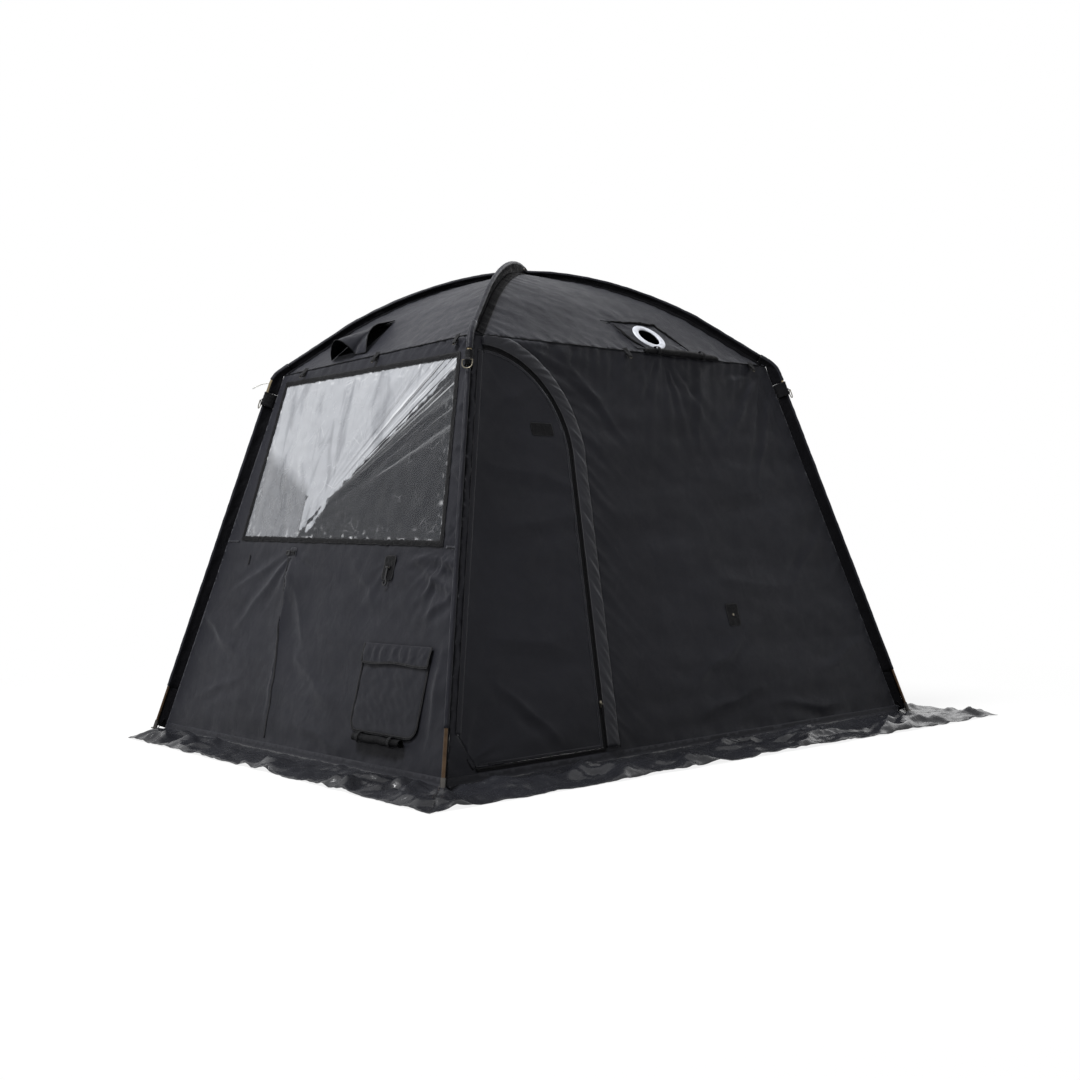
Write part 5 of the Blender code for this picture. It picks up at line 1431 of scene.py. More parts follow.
# The light colour is painted on the creases' highlights and glints, and the shade colour is painted shade in
# the haze
clearPane = paneFinish(
    "clearPane",
    {
        "clear": (0.022, 0.024, 0.029),
        "hazed": (0.272, 0.281, 0.300),
        "shade": (0.140, 0.147, 0.162),
        "light": (0.66, 0.67, 0.69),
        "clearAlpha": 0.58,
        "hazedAlpha": 0.92,
        "halfShare": 0.52,
        "creases": [(33.0, 0.9, 0.55, 0.62, 0.9), (80.0, 1.6, 0.57, 0.64, 0.6)],
    },
)
guyLoop.data.materials.append(cordWhite)


def dressNodes():
    # The rigid CAD pieces keep their shapes and take better finishes
    dress = {
        "roof_arch_upper": poleBronze,
        "roof_arch_lower": poleBronze,
        "zip_slider": steelWire,
        "zip_pull": tapeBlack,
        "tab_hook": hookPlastic,
    }
    onCorners = {"leg_pole_": poleBronze, "foot_tip_": tipMetal, "elbow_": elbowMetal, "d_ring_": steelWire}
    dress.update({start + corner: material for corner in corners for start, material in onCorners.items()})
    for name, material in dress.items():
        for slot in bpy.data.objects[name].material_slots:
            slot.material = material


dressNodes()
print("all finishes ready")

# Sleeves: round over the pole, with a web of two layers down to the seam

sleeveFolds = {
    "side": 0.0042,
    "pitch": 0.06,
    "round": 0.0014,
    "roundPitch": 0.035,
    "webSteps": 7,
    "roundSteps": 15,
    "reach": 0.0035,
    "gap": 0.0009,
    "thickness": 0.0011,
    "flange": {"cloth": 0.0010, "crown": 0.0004, "waver": 0.0011, "pitch": 0.022, "seed": 360},
}
sleeveWeb = np.linspace(0, 1, sleeveFolds["webSteps"])
sleeveTurns = np.radians(np.linspace(-12, 192, sleeveFolds["roundSteps"]))


def sleeveSection(pole, outward, root, radius, waver, easing):
    # Two layers of web from the seam to a round over the pole: flat points, and how far each stands aside
    web, turns, gap = sleeveWeb, sleeveTurns, sleeveFolds["gap"]
    around = pole + outward * (radius * np.sin(turns))[:, None]
    aside = radius * np.cos(turns)
    right = root + (around[0] - root) * web[:, None]
    left = around[-1] + (root - around[-1]) * web[:, None]
    rightSide = lerp(gap, aside[0], web**easing) + waver
    leftSide = lerp(aside[-1], -gap, 1 - (1 - web) ** easing) + waver[::-1]
    return np.vstack([right[:-1], around, left[1:]]), np.concatenate([rightSide[:-1], aside, leftSide[1:]])


def sleeveRows(cornerOf, poles, seams, seed, sideways=1.0):
    # cornerOf gives the plane of each station, and a sign where the arch passes over the crown
    look, web, turns = sleeveFolds, sleeveWeb, sleeveTurns
    rows, lines = [], []
    gone = 0.0
    for i, (pole, seam) in enumerate(zip(poles, seams)):
        corner, sign = cornerOf(i)
        if i:
            gone += float(np.linalg.norm(inCorner(corner, pole) - lines[-1]))
        outward = (pole - seam) / np.hypot(*(pole - seam))
        lumps = clothNoise(np.full_like(turns, gone / look["roundPitch"]), turns * 0.9 + 5, seed)
        radius = poleShape["sleeve"] + look["round"] * np.clip(0.35 + lumps, 0, 1)
        bow = look["side"] * np.sin(math.pi * web)
        waver = bow * clothNoise(np.full_like(web, gone / look["pitch"]), web * 1.3, seed + 1)
        waver += 0.4 * bow * clothNoise(np.full_like(web, gone / 0.022), web * 2.1, seed + 2)
        section, side = sleeveSection(pole, outward, seam - outward * look["reach"], radius, waver, 3)
        ring = inCorner(corner, section, side * sign * sideways)
        rows.append(ring if sign > 0 else ring[::-1])
        lines.append(inCorner(corner, pole))
    return np.array(rows), np.array(lines)


def finishSleeve(name, rows, lines, nodes, restsOn, keep=None, tidied=False):
    # The web is black, and the round over the pole is the shell's own cloth
    made = sweptCloth(name, rows, sleeveFolds["thickness"], sleeveBlack, rows - lines[:, None], keep=keep)
    data = made[0].data
    data.materials.append(shellCloth)
    web, columns = sleeveFolds["webSteps"] - 1, rows.shape[1]
    low = np.array([min(v % columns for v in polygon.vertices) for polygon in data.polygons])
    data.polygons.foreach_set("material_index", ((low >= web) & (low < columns - 1 - web)).astype(int))
    if tidied:
        removeLoose(made[0])
    sewn(made, "tent", "sleeve_fabric", "stretched", restsOn, *nodes)


def makeLegSleeve(corner, seed):
    name, rest = joined(corner), ["leg_pole_" + corner]
    start, top = poleShape["legSleeveStart"], socketDistance(corner) - 0.0003
    poles, seams = zip(*(legStation(d) for d in np.linspace(start, top, 90)))
    rows, lines = sleeveRows(lambda i: (corner, 1), poles, seams, seed)
    finishSleeve("legSleeve" + name, rows, lines, ["corner_sleeve_" + corner], rest)
    # Below the sleeve only its web goes on to the ground, behind the bare pole
    poles, seams = zip(*(legStation(d) for d in np.linspace(0.034, start, 16)))
    poles = [pole + (seam - pole) * 0.112 for pole, seam in zip(poles, seams)]
    rows, _ = sleeveRows(lambda i: (corner, 1), poles, seams, seed, 0.12)
    web = rows[:, : sleeveFolds["webSteps"]]
    made = sweptCloth("footWeb" + name, web, sleeveFolds["thickness"], sleeveBlack, cornerAxes(corner)[1])
    sewn(made, "tent", "sleeve_fabric", "stretched", rest)


def ridgeHalf(corner):
    # Even stations from the elbow to the crown
    stations = ridgeStations(corner)
    (pole, seam), (nextPole, nextSeam) = stations[:2]
    step = (nextPole - pole) / np.hypot(*(nextPole - pole))
    share = (float((elbowEnds(corner)[1] - pole) @ step) + 0.0003) / float(np.hypot(*(nextPole - pole)))
    poles = np.array([lerp(pole, nextPole, share)] + [p for p, _ in stations[1:]])
    seams = np.array([lerp(seam, nextSeam, share)] + [s for _, s in stations[1:]])
    gone = goneAlong(poles)
    at = np.linspace(0, gone[-1], 76)
    return [np.stack([np.interp(at, gone, line[:, i]) for i in range(2)], -1) for line in (poles, seams)]


def makeRidgeSleeve(name, first, second, node, arch, seed, notch=0.0):
    (firstPoles, firstSeams), (secondPoles, secondSeams) = ridgeHalf(first), ridgeHalf(second)
    poles = np.vstack([firstPoles, secondPoles[-2::-1]])
    seams = np.vstack([firstSeams, secondSeams[-2::-1]])
    count = len(firstPoles)
    rows, lines = sleeveRows(lambda i: (first, 1) if i < count else (second, -1), poles, seams, seed)
    keep = None
    if notch:
        # The upper sleeve's web is open where the lower sleeve passes under it
        columns = rows.shape[1]
        web = sleeveFolds["webSteps"] - 1
        keep = np.ones((len(rows) - 1, columns - 1), bool)
        near = np.hypot(lines[:, 0], lines[:, 1]) < notch
        inWeb = [column for column in range(columns - 1) if column < web or column >= columns - 1 - web]
        keep[np.ix_(near[:-1] | near[1:], inWeb)] = False
    finishSleeve(name, rows, lines, [node], [arch], keep)


def makeSleeves():
    for number, corner in enumerate(corners):
        makeLegSleeve(corner, 300 + 7 * number)
    upper = ("front_left", "rear_right", "ridge_sleeve_upper", "roof_arch_upper")
    makeRidgeSleeve("ridgeSleeveUpper", *upper, 340, 0.016)
    lower = ("front_right", "rear_left", "ridge_sleeve_lower", "roof_arch_lower")
    makeRidgeSleeve("ridgeSleeveLower", *lower, 350)


def makeRidgeFlange(side, name, path, seed):
    # Black seam strip on the canopy beside a ridge
    under = roofRelief(side, 200 + 20 * list(sides).index(side))
    grid = tapeGrid(path, 0.003, 0.036, 0.010, 5)
    lift = tentSize["cloth"] + 0.0026
    made = tapeCloth(name, grid, onRoof(side), lift, sleeveFolds["flange"], sleeveBlack, under, seed)
    sewn(made, "tent", "sleeve_fabric", "stretched", ["roofCanopy"])


def makeFlanges():
    for number, side in enumerate(sides):
        loop = goreLoop(side, 0.02)
        half = len(loop) // 2 + 1
        if side != "left":
            makeRidgeFlange(side, "ridgeFlangeRight" + side.title(), loop[1 : half - 3], number)
        if side != "right":
            makeRidgeFlange(side, "ridgeFlangeLeft" + side.title(), loop[half + 2 : -1], 10 + number)


makeSleeves()
makeFlanges()
print("sleeves sewn over the poles")

# Patches over the elbows, with a rolled webbing lug for each ring

patchShape = {
    "cloth": 0.0022,
    "hem": 0.0008,
    "shoulder": 0.0075,
    "lugRadius": 0.0037,
    "lugHalf": 0.0105,
    "lugCloth": 0.0010,
    "swell": 0.0012,
}


def makePatch(corner, seed):
    look = patchShape
    start = socketDistance(corner)
    turns = np.radians(np.linspace(-10, 190, 15))
    rows, lines = [], []
    for i, distance in enumerate(np.linspace(start, start + poleShape["patchLength"], 16)):
        pole, seam = legStation(distance)
        outward = (pole - seam) / np.hypot(*(pole - seam))
        lumps = look["swell"] * clothNoise(np.full_like(turns, i * 0.35), turns * 1.3 + 2, seed)
        radius = poleShape["patchReach"] + lumps + look["hem"] * (i in (0, 1, 14, 15))
        flare = seam + outward * 0.011
        shares = [seam - outward * 0.002, flare, lerp(flare, pole - outward * 0.004, 0.5)]
        spread = [0.0012, look["shoulder"], 0.0125]
        around = pole + outward * (radius * np.sin(turns))[:, None]
        section = np.vstack([shares, around, shares[::-1]])
        side = np.concatenate([spread, radius * np.cos(turns), [-v for v in spread[::-1]]])
        rows.append(inCorner(corner, section, side))
        lines.append(inCorner(corner, pole))
    rows, lines = np.array(rows), np.array(lines)
    made = sweptCloth("elbowPatch" + joined(corner), rows, look["cloth"], tapeStitched, rows - lines[:, None])
    sewn(made, "tent", "webbing", "stretched", ["elbow_" + corner], "corner_patch_" + corner)
    # The webbing goes from the patch round the ring's bar and back
    _, across = cornerAxes(corner)
    leg = inCorner(corner, legDirection)
    pole, _ = legStation(start + poleShape["patchLength"] * poleShape["ringShare"])
    outward = np.cross(across, leg)
    bar = inCorner(corner, pole) + outward * poleShape["ringLift"]
    drop, size = poleShape["ringLift"] - poleShape["patchReach"] - 0.0006, look["lugRadius"]
    path = [(-0.012, -drop), (-0.006, -drop + 0.0002)]
    path += [(-size * math.cos(a), size * math.sin(a)) for a in np.radians(np.linspace(-30, 210, 13))]
    path += [(0.006, -drop + 0.0002), (0.012, -drop)]
    widths = np.linspace(-look["lugHalf"], look["lugHalf"], 7)
    strip = np.array([[bar + across * w + leg * a + outward * h for w in widths] for a, h in path])
    lug = sweptCloth("ringLug" + joined(corner), strip, 0.0, tapeStitched, strip - bar)
    thicken(lug[0], look["lugCloth"], 1.0)
    sewn(lug, "tent", "webbing", "folded", ["elbow_" + corner])


for number, corner in enumerate(corners):
    makePatch(corner, 380 + 9 * number)
print("elbow patches and lugs made")

# Snow skirts: sewn to the walls' hems, turned out and crumpled on the ground

skirtShape = {
    "reach": {
        "side": 0.21, "front": 0.32, "near": 0.22, "cutLength": 0.24, "cutWidth": 0.12, "cutSide": 0.17
    },
    "top": 0.044,
    "curve": 0.0275,
    "cloth": 0.0014,
    "big": 0.030,
    "middle": 0.019,
    "small": 0.0042,
    "ragged": 0.010,
    "eyelet": 0.017,
    "flatRise": 0.004,
    "leastRise": 0.0016,
    "sideGap": 0.00005,
    "joint": 0.008,
    "cell": 0.0125,
}


def skirtEnds(side):
    # Outer corners of each skirt in plan
    reach = skirtShape["reach"]
    length, width = tentSize["footHalfLength"], tentSize["footHalfWidth"]
    farX, farY, nearY = length + reach["side"], width + reach["front"], width + reach["near"]
    cutX, cutY, cutReach = length - reach["cutLength"], width - reach["cutWidth"], length + reach["cutSide"]
    plan = {
        "front": ((-farX, -nearY), (farX, -farY)),
        "left": ((-cutReach, cutY), (-farX, -nearY)),
        "rear": ((farX, farY), (-cutX, farY)),
        "right": ((farX, -farY), (farX, farY)),
    }
    out, along, _, _ = sides[side]
    return [(float(np.dot(p, along[:2])), float(np.dot(p, out[:2]))) for p in plan[side]]


def hemSection(side):
    # Distances from the middle at which the skirt leaves its wall and reaches the ground
    out3 = np.array(sides[side][0], float)
    lift = tentSize["cloth"] + tentSize["gap"] + 0.0003
    wall = onWall(side)
    hem, low = (wall(0.0, level, lift) for level in (skirtShape["top"], tentSize["hem"]))
    return float(hem @ out3), float(low @ out3) + 2 * skirtShape["cloth"], lift, float(hem[2])


def groundFolds(worldX, worldY):
    # Folds of the skirts, in plan, so that neighbours meet at their shared seams
    look = skirtShape
    run = np.maximum(np.abs(worldX) - hemSection("left")[1], np.abs(worldY) - hemSection("front")[1])
    toEdge = np.full(worldX.shape, 9.0)
    for side in sides:
        out, along, _, _ = sides[side]
        a, r = worldX * along[0] + worldY * along[1], worldX * out[0] + worldY * out[1]
        toEdge = np.minimum(toEdge, nearLine(a, r, skirtEnds(side))[0])
    bend = 0.06 * clothNoise(worldX / 0.4, worldY / 0.4, 501)
    big = np.clip(creases(worldX / 0.24 + bend * 4, worldY / 0.15, 502), -0.2, 1)
    middle = np.clip(creases(worldX / 0.12 + worldY / 0.2, worldY / 0.095 - bend * 5, 503), -0.3, 1)
    small = creases(worldX / 0.060, worldY / 0.050 + worldX / 0.09, 504)
    height = look["big"] * np.clip(big, 0, 1) ** 1.2 + look["middle"] * np.clip(middle, 0, 1)
    height = height * np.clip(0.65 + clothNoise(worldX / 0.30, worldY / 0.30, 505) * 1.3, 0.35, 1)
    height += look["small"] * np.clip(small, 0, 1)
    rise = tentSize["hem"] * np.exp(-np.maximum(run, 0) / look["curve"])
    return rise + height * held(run, 0.03) * (0.25 + 0.75 * held(toEdge, 0.03))


def makeSkirt(side):
    look = skirtShape
    out, along, _, width = sides[side]
    out3, along3 = np.array(out, float), np.array(along, float)
    hemDepth, lowDepth, lift, level = hemSection(side)
    hemAlong = width * wallShare(level)
    strip = look["top"] - tentSize["hem"]
    (leftX, leftR), (rightX, rightR) = skirtEnds(side)
    gap, joint = look["sideGap"], lowDepth + look["joint"]
    start = lowDepth - strip

    def sideX(r, sign, beyond=0.0):
        # The skirt's side edge at a distance from the tent's middle
        end, endR = (leftX, leftR) if sign < 0 else (rightX, rightR)
        share = np.clip((r - hemDepth) / (endR - hemDepth), 0, 1)
        return lerp(sign * (hemAlong + beyond), end, share) - sign * gap

    loop = [(sideX(lowDepth, -1), start), (sideX(lowDepth, 1), start), (sideX(lowDepth, 1), lowDepth)]
    loop += [(sideX(joint, 1, lift), joint), (rightX - gap, rightR)]
    edge, _ = alongPath([(rightX - gap, rightR), (leftX + gap, leftR)], 0.03)
    wave = look["ragged"] * clothNoise(edge[:, 0] / 0.11, edge[:, 1] * 0 + 2.5, 510)
    wave = wave * np.sin(np.linspace(0, math.pi, len(edge))) ** 0.3
    loop += [(x, y + w) for (x, y), w in zip(edge[1:-1], wave[1:-1] - look["ragged"] * 0.4)]
    loop += [(leftX + gap, leftR), (sideX(joint, -1, lift), joint), (sideX(lowDepth, -1), lowDepth)]
    loops = [[(float(x), float(y)) for x, y in loop]]
    points, faces, seam = cutCloth(loops, look["cell"])
    a, r = points[:, 0], points[:, 1]
    world = out3 * r[:, None] + along3 * a[:, None]
    run = r - lowDepth
    height = groundFolds(world[:, 0], world[:, 1])
    # The pole tips come through open eyelets, where the cloth lies flat
    keep = np.ones(len(faces), bool)
    for corner, signs in corners.items():
        if corner != "rear_left" and np.dot(signs, out[:2]) > 0:
            foot = inCorner(corner, legFoot)
            away = np.hypot(a - float(foot @ along3), r - float(foot @ out3))
            height = lerp(look["flatRise"], height, held(away - look["eyelet"], 0.03))
            keep &= ~(away[faces] < look["eyelet"] - 0.002).any(1)
    ground = world + np.array((0, 0, 1.0)) * np.maximum(height, look["leastRise"])[:, None]
    climb = np.clip(-run / strip, 0, 1)
    puckers = 0.0018 * np.clip(clothNoise(a / 0.05, climb * 2, 512), 0, 1) * climb
    level = lerp(tentSize["hem"], look["top"], climb)
    onStrip = onWall(side)(a, level, lift + puckers + 0.0028 * (1 - climb))
    placed = np.where((run < 0)[:, None], onStrip, ground)
    obj = newObject(side + "Skirt", placed, faces[keep], points, seam, skirtCoated)
    obj.data.materials.append(shellCloth)
    obj.data.polygons.foreach_set("material_index", (run[faces[keep]] < 0.004).all(1).astype(int))
    removeLoose(obj)
    thicken(obj, look["cloth"])
    sewnSheet(obj, loops, "tent", "skirt_fabric", "laid", [side + "WallCloth"], "skirt_" + side)


for side in sides:
    makeSkirt(side)
print("skirts laid on the ground")

# Door: a cloth that swings on its sewn edge, with its zip, tapes and hook-and-loop patch

doorTrim = {
    "hemWidth": 0.013,
    "hingeWidth": 0.024,
    "zipInner": 0.001,
    "zipWidth": 0.013,
    "coilPitch": 0.0042,
    "patch": (-0.637, -0.529, 1.254, 1.308),
    "hemTape": {"cloth": 0.0008, "crown": 0.0004, "waver": 0.0004, "pitch": 0.05, "seed": 21},
    "hingeTape": {"cloth": 0.0009, "crown": 0.0012, "waver": 0.0005, "pitch": 0.04, "seed": 25},
    "zipTape": {"cloth": 0.0010, "crown": 0.0, "waver": 0.0, "pitch": 0.03, "seed": 31},
}


def makeDoor():
    look, onFront, lift = doorTrim, onWall("front"), tentSize["cloth"]
    loops = [doorLoop(0.0003, doorShape["hingeClearance"])]
    door = clothPiece("doorCloth", loops, onFront, doorRelief, 0.010, lift, shellThickness, shellCloth)
    sewnSheet(door, loops, "door", "shell_fabric", "hung", ["doorHingeTape"], "door_panel")
    hem = tapeGrid(doorPath, 0.0012, look["hemWidth"], 0.012, 5)
    made = tapeCloth("doorHem", hem, onFront, lift + 0.0012, look["hemTape"], shellStitched, doorRelief)
    sewn(made, "door", "shell_fabric", "stretched", ["doorCloth"])
    left, right, foot, head = look["patch"]
    patch = [roundedBox(left, right, foot, head, 0.008, 3)]

    def patchRelief(x, y):
        edge, _ = nearLine(x, y, patch[0], closed=True)
        return doorRelief(x, y) + 0.0009 * held(edge, 0.004) + 0.0005 * clothNoise(x / 0.012, y / 0.012, 73)

    piece = clothPiece(
        "doorGripPatch", patch, onFront, patchRelief, 0.005, lift + 0.0013, 0.0009, tapeStitched
    )
    sewnSheet(piece, patch, "door", "webbing", "stretched", ["doorCloth"])
    # The sewn edge, a strip along the door's hinge side
    heights = (doorShape["sill"] + doorShape["chamferHeight"] + 0.004, doorTop - 0.004)
    line = [(hingeAlong(y), y) for y in heights]
    grid = tapeGrid(line, look["hingeWidth"] / 2 - 0.001, -look["hingeWidth"] / 2, 0.012, 9)
    made = tapeCloth("doorHingeTape", grid, onFront, lift + 0.0022, look["hingeTape"], shellStitched)
    axes = wallAxes("front")
    step = np.array(line[1]) - np.array(line[0])
    step /= np.hypot(*step)
    middle = onFront(*((line[0][i] + line[1][i]) / 2 for i in range(2)), lift)
    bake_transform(made[0])


def makeZip():
    look, onFront, lift = doorTrim, onWall("front"), tentSize["cloth"] + 0.0006
    grid = tapeGrid(doorPath, -look["zipInner"], -look["zipInner"] - look["zipWidth"], 0.010, 5)
    made = tapeCloth("zipTape", grid, onFront, lift + 0.0012, look["zipTape"], tapeBlack)
    sewn(made, "tent", "webbing", "stretched", ["frontWallCloth"], "door_zip")
    grid = tapeGrid([doorLoop(0, 0)[-1], doorPath[0]], 0.014, -0.014, 0.008, 5)
    made = tapeCloth("doorFootGusset", grid, onFront, -0.0022, look["zipTape"], tapeBlack)
    sewn(made, "tent", "webbing", "stretched", ["frontWallCloth"])
    middle, gone = alongPath(offsetPath(doorPath, -look["zipInner"] - look["zipWidth"] / 2), 0.0007)
    turn = 2 * math.pi * gone / look["coilPitch"]
    ahead = np.gradient(middle, axis=0)
    ahead /= np.linalg.norm(ahead, axis=1, keepdims=True)
    side = np.stack([-ahead[:, 1], ahead[:, 0]], -1)
    flat = middle + side * (np.cos(turn) * 0.0022)[:, None]
    coil = onFront(flat[:, 0], flat[:, 1], lift + 0.0014 + 0.0010 * np.sin(turn))
    settle(tubesObject("zipCoil", [coil], 0.0005, wallAxes("front")[3], 4, tapeBlack), "tent", "webbing")


# The padded band over the zip, from the sill up the jamb and over the arch
flapShape = {
    "inner": 0.016,
    "width": 0.064,
    "thickness": 0.0125,
    "edge": 0.0034,
    "crease": 0.0046,
    "pitch": 0.036,
    "slant": 1.3,
    "cording": 0.0026,
}


def makeStormFlap():
    look = flapShape
    onFront, facing = onWall("front"), wallAxes("front")[3]
    grid = tapeGrid(flapPath, -look["inner"], -look["inner"] - look["width"], 0.0075, 21)
    grid[..., 1] = np.minimum(grid[..., 1], wallSlope("front") - 0.008)
    rows, columns = grid.shape[:2]
    share = np.linspace(0, 1, columns)[None, :] * np.ones((rows, 1))
    gone = goneAlong(grid[:, columns // 2])[:, None] * np.ones((1, columns))
    # Round across, closed at both ends, with slanting creases
    crown = np.sqrt(np.clip(4 * share * (1 - share), 0, 1))
    ends = np.sqrt(np.clip(np.minimum(gone, gone[-1, 0] - gone) / 0.008, 0.02, 1))
    slanted = (gone + look["slant"] * share * look["width"]) / look["pitch"]
    folds = clothNoise(slanted, share * 0.8 + gone / 0.3, 402)
    folds = folds + 0.5 * clothNoise(slanted * 2.3, share * 1.3, 403)
    top = look["edge"] + (look["thickness"] - look["edge"]) * crown * ends
    top = top + look["crease"] * folds * crown * ends
    base = tentSize["cloth"] + tentSize["gap"] + 0.0002
    upper = onFront(grid[..., 0], grid[..., 1], base + np.maximum(top, 0.0015))
    lower = onFront(grid[..., 0], grid[..., 1], np.full(top.shape, base))
    ring = np.concatenate([upper, lower[:, 1:-1][:, ::-1]], axis=1)
    count = ring.shape[1]
    faces, first, last = ringFaces(rows, count)
    width = np.minimum(np.arange(count), count - np.arange(count)) / count * 2 * look["width"]
    flat = np.stack([np.repeat(gone[:, 0], count), np.tile(width, rows)], -1)
    edge = np.concatenate([np.minimum(share[0], 1 - share[0]) * look["width"], np.zeros(count - columns)])
    faces += [first, last[::-1]]
    pad = newObject("stormFlapPad", ring.reshape(-1, 3), faces, flat, np.tile(edge, rows), flapStitched)
    recalculate(pad)
    settle(pad, "tent", "shell_fabric", "storm_flap")
    # Black cording along both edges
    gone, size = gone[:, 0], look["cording"]
    height = np.full(rows, base + size) + 0.0006 * clothNoise(gone / 0.02, gone * 0, 410)
    size = size * (1 + 0.15 * clothNoise(gone / 0.015, gone * 0 + 4, 411))
    for name, column in (("flapInnerCording", 0), ("flapOuterCording", -1)):
        line = onFront(grid[:, column, 0], grid[:, column, 1], height)
        settle(tubesObject(name, [line], size, facing, 8, tapeBlack), "tent", "webbing")


makeDoor()
makeZip()
makeStormFlap()
print("door, zip and padded band made")

# Window: a creased clear pane in a black binding

windowShape = {
    "fan": (-0.258, 0.934),
    "top": (0.626, 1.542),
    "depth": 0.0042,
    "bindingOuter": 0.0115,
    "bindingInner": 0.0110,
    "leftRoot": (-0.262, 1.075),
    "leftEnd": (-0.70, 1.285),
    "tongue": ((-0.215, 0.905), (-0.085, 1.045)),
    "bindingTape": {"cloth": 0.0018, "crown": 0.0018, "waver": 0.0014, "pitch": 0.022, "seed": 722},
}


def bellShare(value, middle, width):
    return np.exp(-(((value - middle) / width) ** 2))


def paneLight(x, y):
    # Fan of creases that spreads from low on the left, the haze beside it, and the painted highlights:
    # streaks along the creases and glints near the binding
    look = windowShape
    fan, top, root, end = look["fan"], look["top"], look["leftRoot"], look["leftEnd"]
    away = np.hypot(x - fan[0], y - fan[1]) + 1e-6
    turn = np.arctan2(y - fan[1], x - fan[0])
    mainTurn = math.atan2(top[1] - fan[1], top[0] - fan[0])
    past = turn - mainTurn
    under = -past / 0.10 + 0.5 * clothNoise(x / 0.12, y / 0.12, 701)
    haze = 1 - 1 / (1 + np.exp(-np.clip(under * 3.2, -30, 30))) * (np.cos(past) > -0.2)
    # Signed distances: haze left of the long diagonal and above the left line, with a tongue at its foot
    diagonal = -np.sin(mainTurn) * (x - fan[0]) + np.cos(mainTurn) * (y - fan[1])
    leftTurn = math.atan2(end[1] - root[1], end[0] - root[0])
    leftLine = np.sin(leftTurn) * (x - root[0]) - np.cos(leftTurn) * (y - root[1])
    inside = np.minimum(diagonal + 0.010, np.maximum(leftLine, x - root[0]))
    (startX, startY), tip = look["tongue"]
    size = math.hypot(tip[0] - startX, tip[1] - startY)
    stepX, stepY = (tip[0] - startX) / size, (tip[1] - startY) / size
    ahead = (x - startX) * stepX + (y - startY) * stepY
    aside = np.abs(stepX * (y - startY) - stepY * (x - startX))
    tongue = 0.016 * np.sin(math.pi * np.clip(ahead / size, 0.05, 1)) - aside
    inside = np.maximum(inside, np.minimum(np.minimum(ahead + 0.01, size - ahead), tongue))
    radial = clothNoise(turn * 7.0, away / 0.9, 703) + 0.6 * clothNoise(turn * 17.0, away / 0.5 + 2, 704)
    bunch = bellShare(past, 0.05, 0.20)
    upright = clothNoise(x / 0.055 + 0.10 * clothNoise(x / 0.2, y / 0.15, 705), y / 0.50, 706)
    leftPart = np.clip((0.05 - x) / 0.3, 0, 1)
    edge, along = nearLine(x, y, windowCorners, closed=True)
    # Painted glints near the binding, then painted highlights along the fan's creases, the upright folds and
    # the crinkles
    glint = np.clip(clothNoise(along / 0.030, edge / 0.020, 707) * 2.2 - 0.75, 0, 1)
    glint = glint * np.exp(-np.maximum(edge - 0.012, 0) / 0.022)
    streak = np.clip(radial * 1.5 - 0.30, 0, 1) * (0.35 + 0.65 * bunch) * haze
    streak += np.clip(radial * 2.0 - 0.85, 0, 1) * bellShare(past, -0.16, 0.13) * 0.55
    streak += 0.55 * np.clip(upright * 1.7 - 0.35, 0, 1) * leftPart * haze
    crinkle = creases(x / 0.06 + 0.3 * clothNoise(x / 0.05, y / 0.05, 709), y / 0.045, 708)
    streak += 3.5 * np.clip(crinkle - 0.86, 0, 1) * np.clip(clothNoise(x / 0.16, y / 0.13, 710) + 0.15, 0, 1)
    lines = bellShare(past, 0.02, 0.11) * np.clip((away - 0.22) / 0.35, 0, 1)
    lines = np.maximum(lines, 0.35 * bellShare(past, -0.16, 0.10) * np.clip((away - 0.3) / 0.3, 0, 1))
    values = {
        "hazeDepth": inside,
        "halfHaze": np.clip((root[0] + 0.01 - x) / 0.02, 0, 1),
        "paintedHighlight": np.clip(0.12 * streak + glint, 0, 1),
        "fanTurn": turn,
        "fanAway": away,
        "fanBunch": lines,
    }
    return values, radial, bunch, upright, leftPart, edge


def paneRelief(x, y):
    _, radial, bunch, upright, leftPart, edge = paneLight(x, y)
    depth = windowShape["depth"]
    total = depth * radial * (0.3 + bunch) + 0.6 * depth * upright * leftPart
    total = total + 0.002 * clothNoise(x / 0.08, y / 0.06, 712)
    total += seamPuckers(x, y, windowCorners, 0.0024, 0.045, 0.035, 713, 0.4, closed=True)
    return total * held(edge - 0.012, 0.035)


def makeWindow():
    look, onLeft = windowShape, onWall("left")
    loops = [offsetPath(windowCorners, 0.0003, closed=True)]
    points, faces, seam = cutCloth(loops, 0.0085)
    x, y = points[:, 0], points[:, 1]
    pane = newObject("windowPane", onLeft(x, y, 0.0012 + paneRelief(x, y)), faces, points, seam, clearPane)
    for name, values in paneLight(x, y)[0].items():
        addValues(pane.data, name, values)
    sewnSheet(pane, loops, "tent", "clear_pvc", "stretched", ["leftWallCloth"], "window_pane")
    # The binding is ragged, and wider in some places
    grid = tapeGrid(windowCorners, look["bindingInner"], -look["bindingOuter"], 0.008, 7, closed=True)
    ragged = 0.0013 * clothNoise(grid[..., 0] / 0.016, grid[..., 1] / 0.016, 720)
    middle = grid[:, 3:4]
    wider = 1 + 0.28 * clothNoise(grid[..., 0] / 0.020, grid[..., 1] / 0.020, 721)
    grid = middle + (grid - middle) * wider[..., None]
    grid[..., 1] += ragged
    made = tapeCloth(
        "windowBinding", grid, onLeft, tentSize["cloth"] + 0.0026, look["bindingTape"], tapeStitched
    )
    sewn(made, "tent", "webbing", "stretched", ["leftWallCloth"], "window_binding")


makeWindow()
print("window made")

# Roof outlets: the chimney's panel, ring and rolled flap, then the vent's net and hood

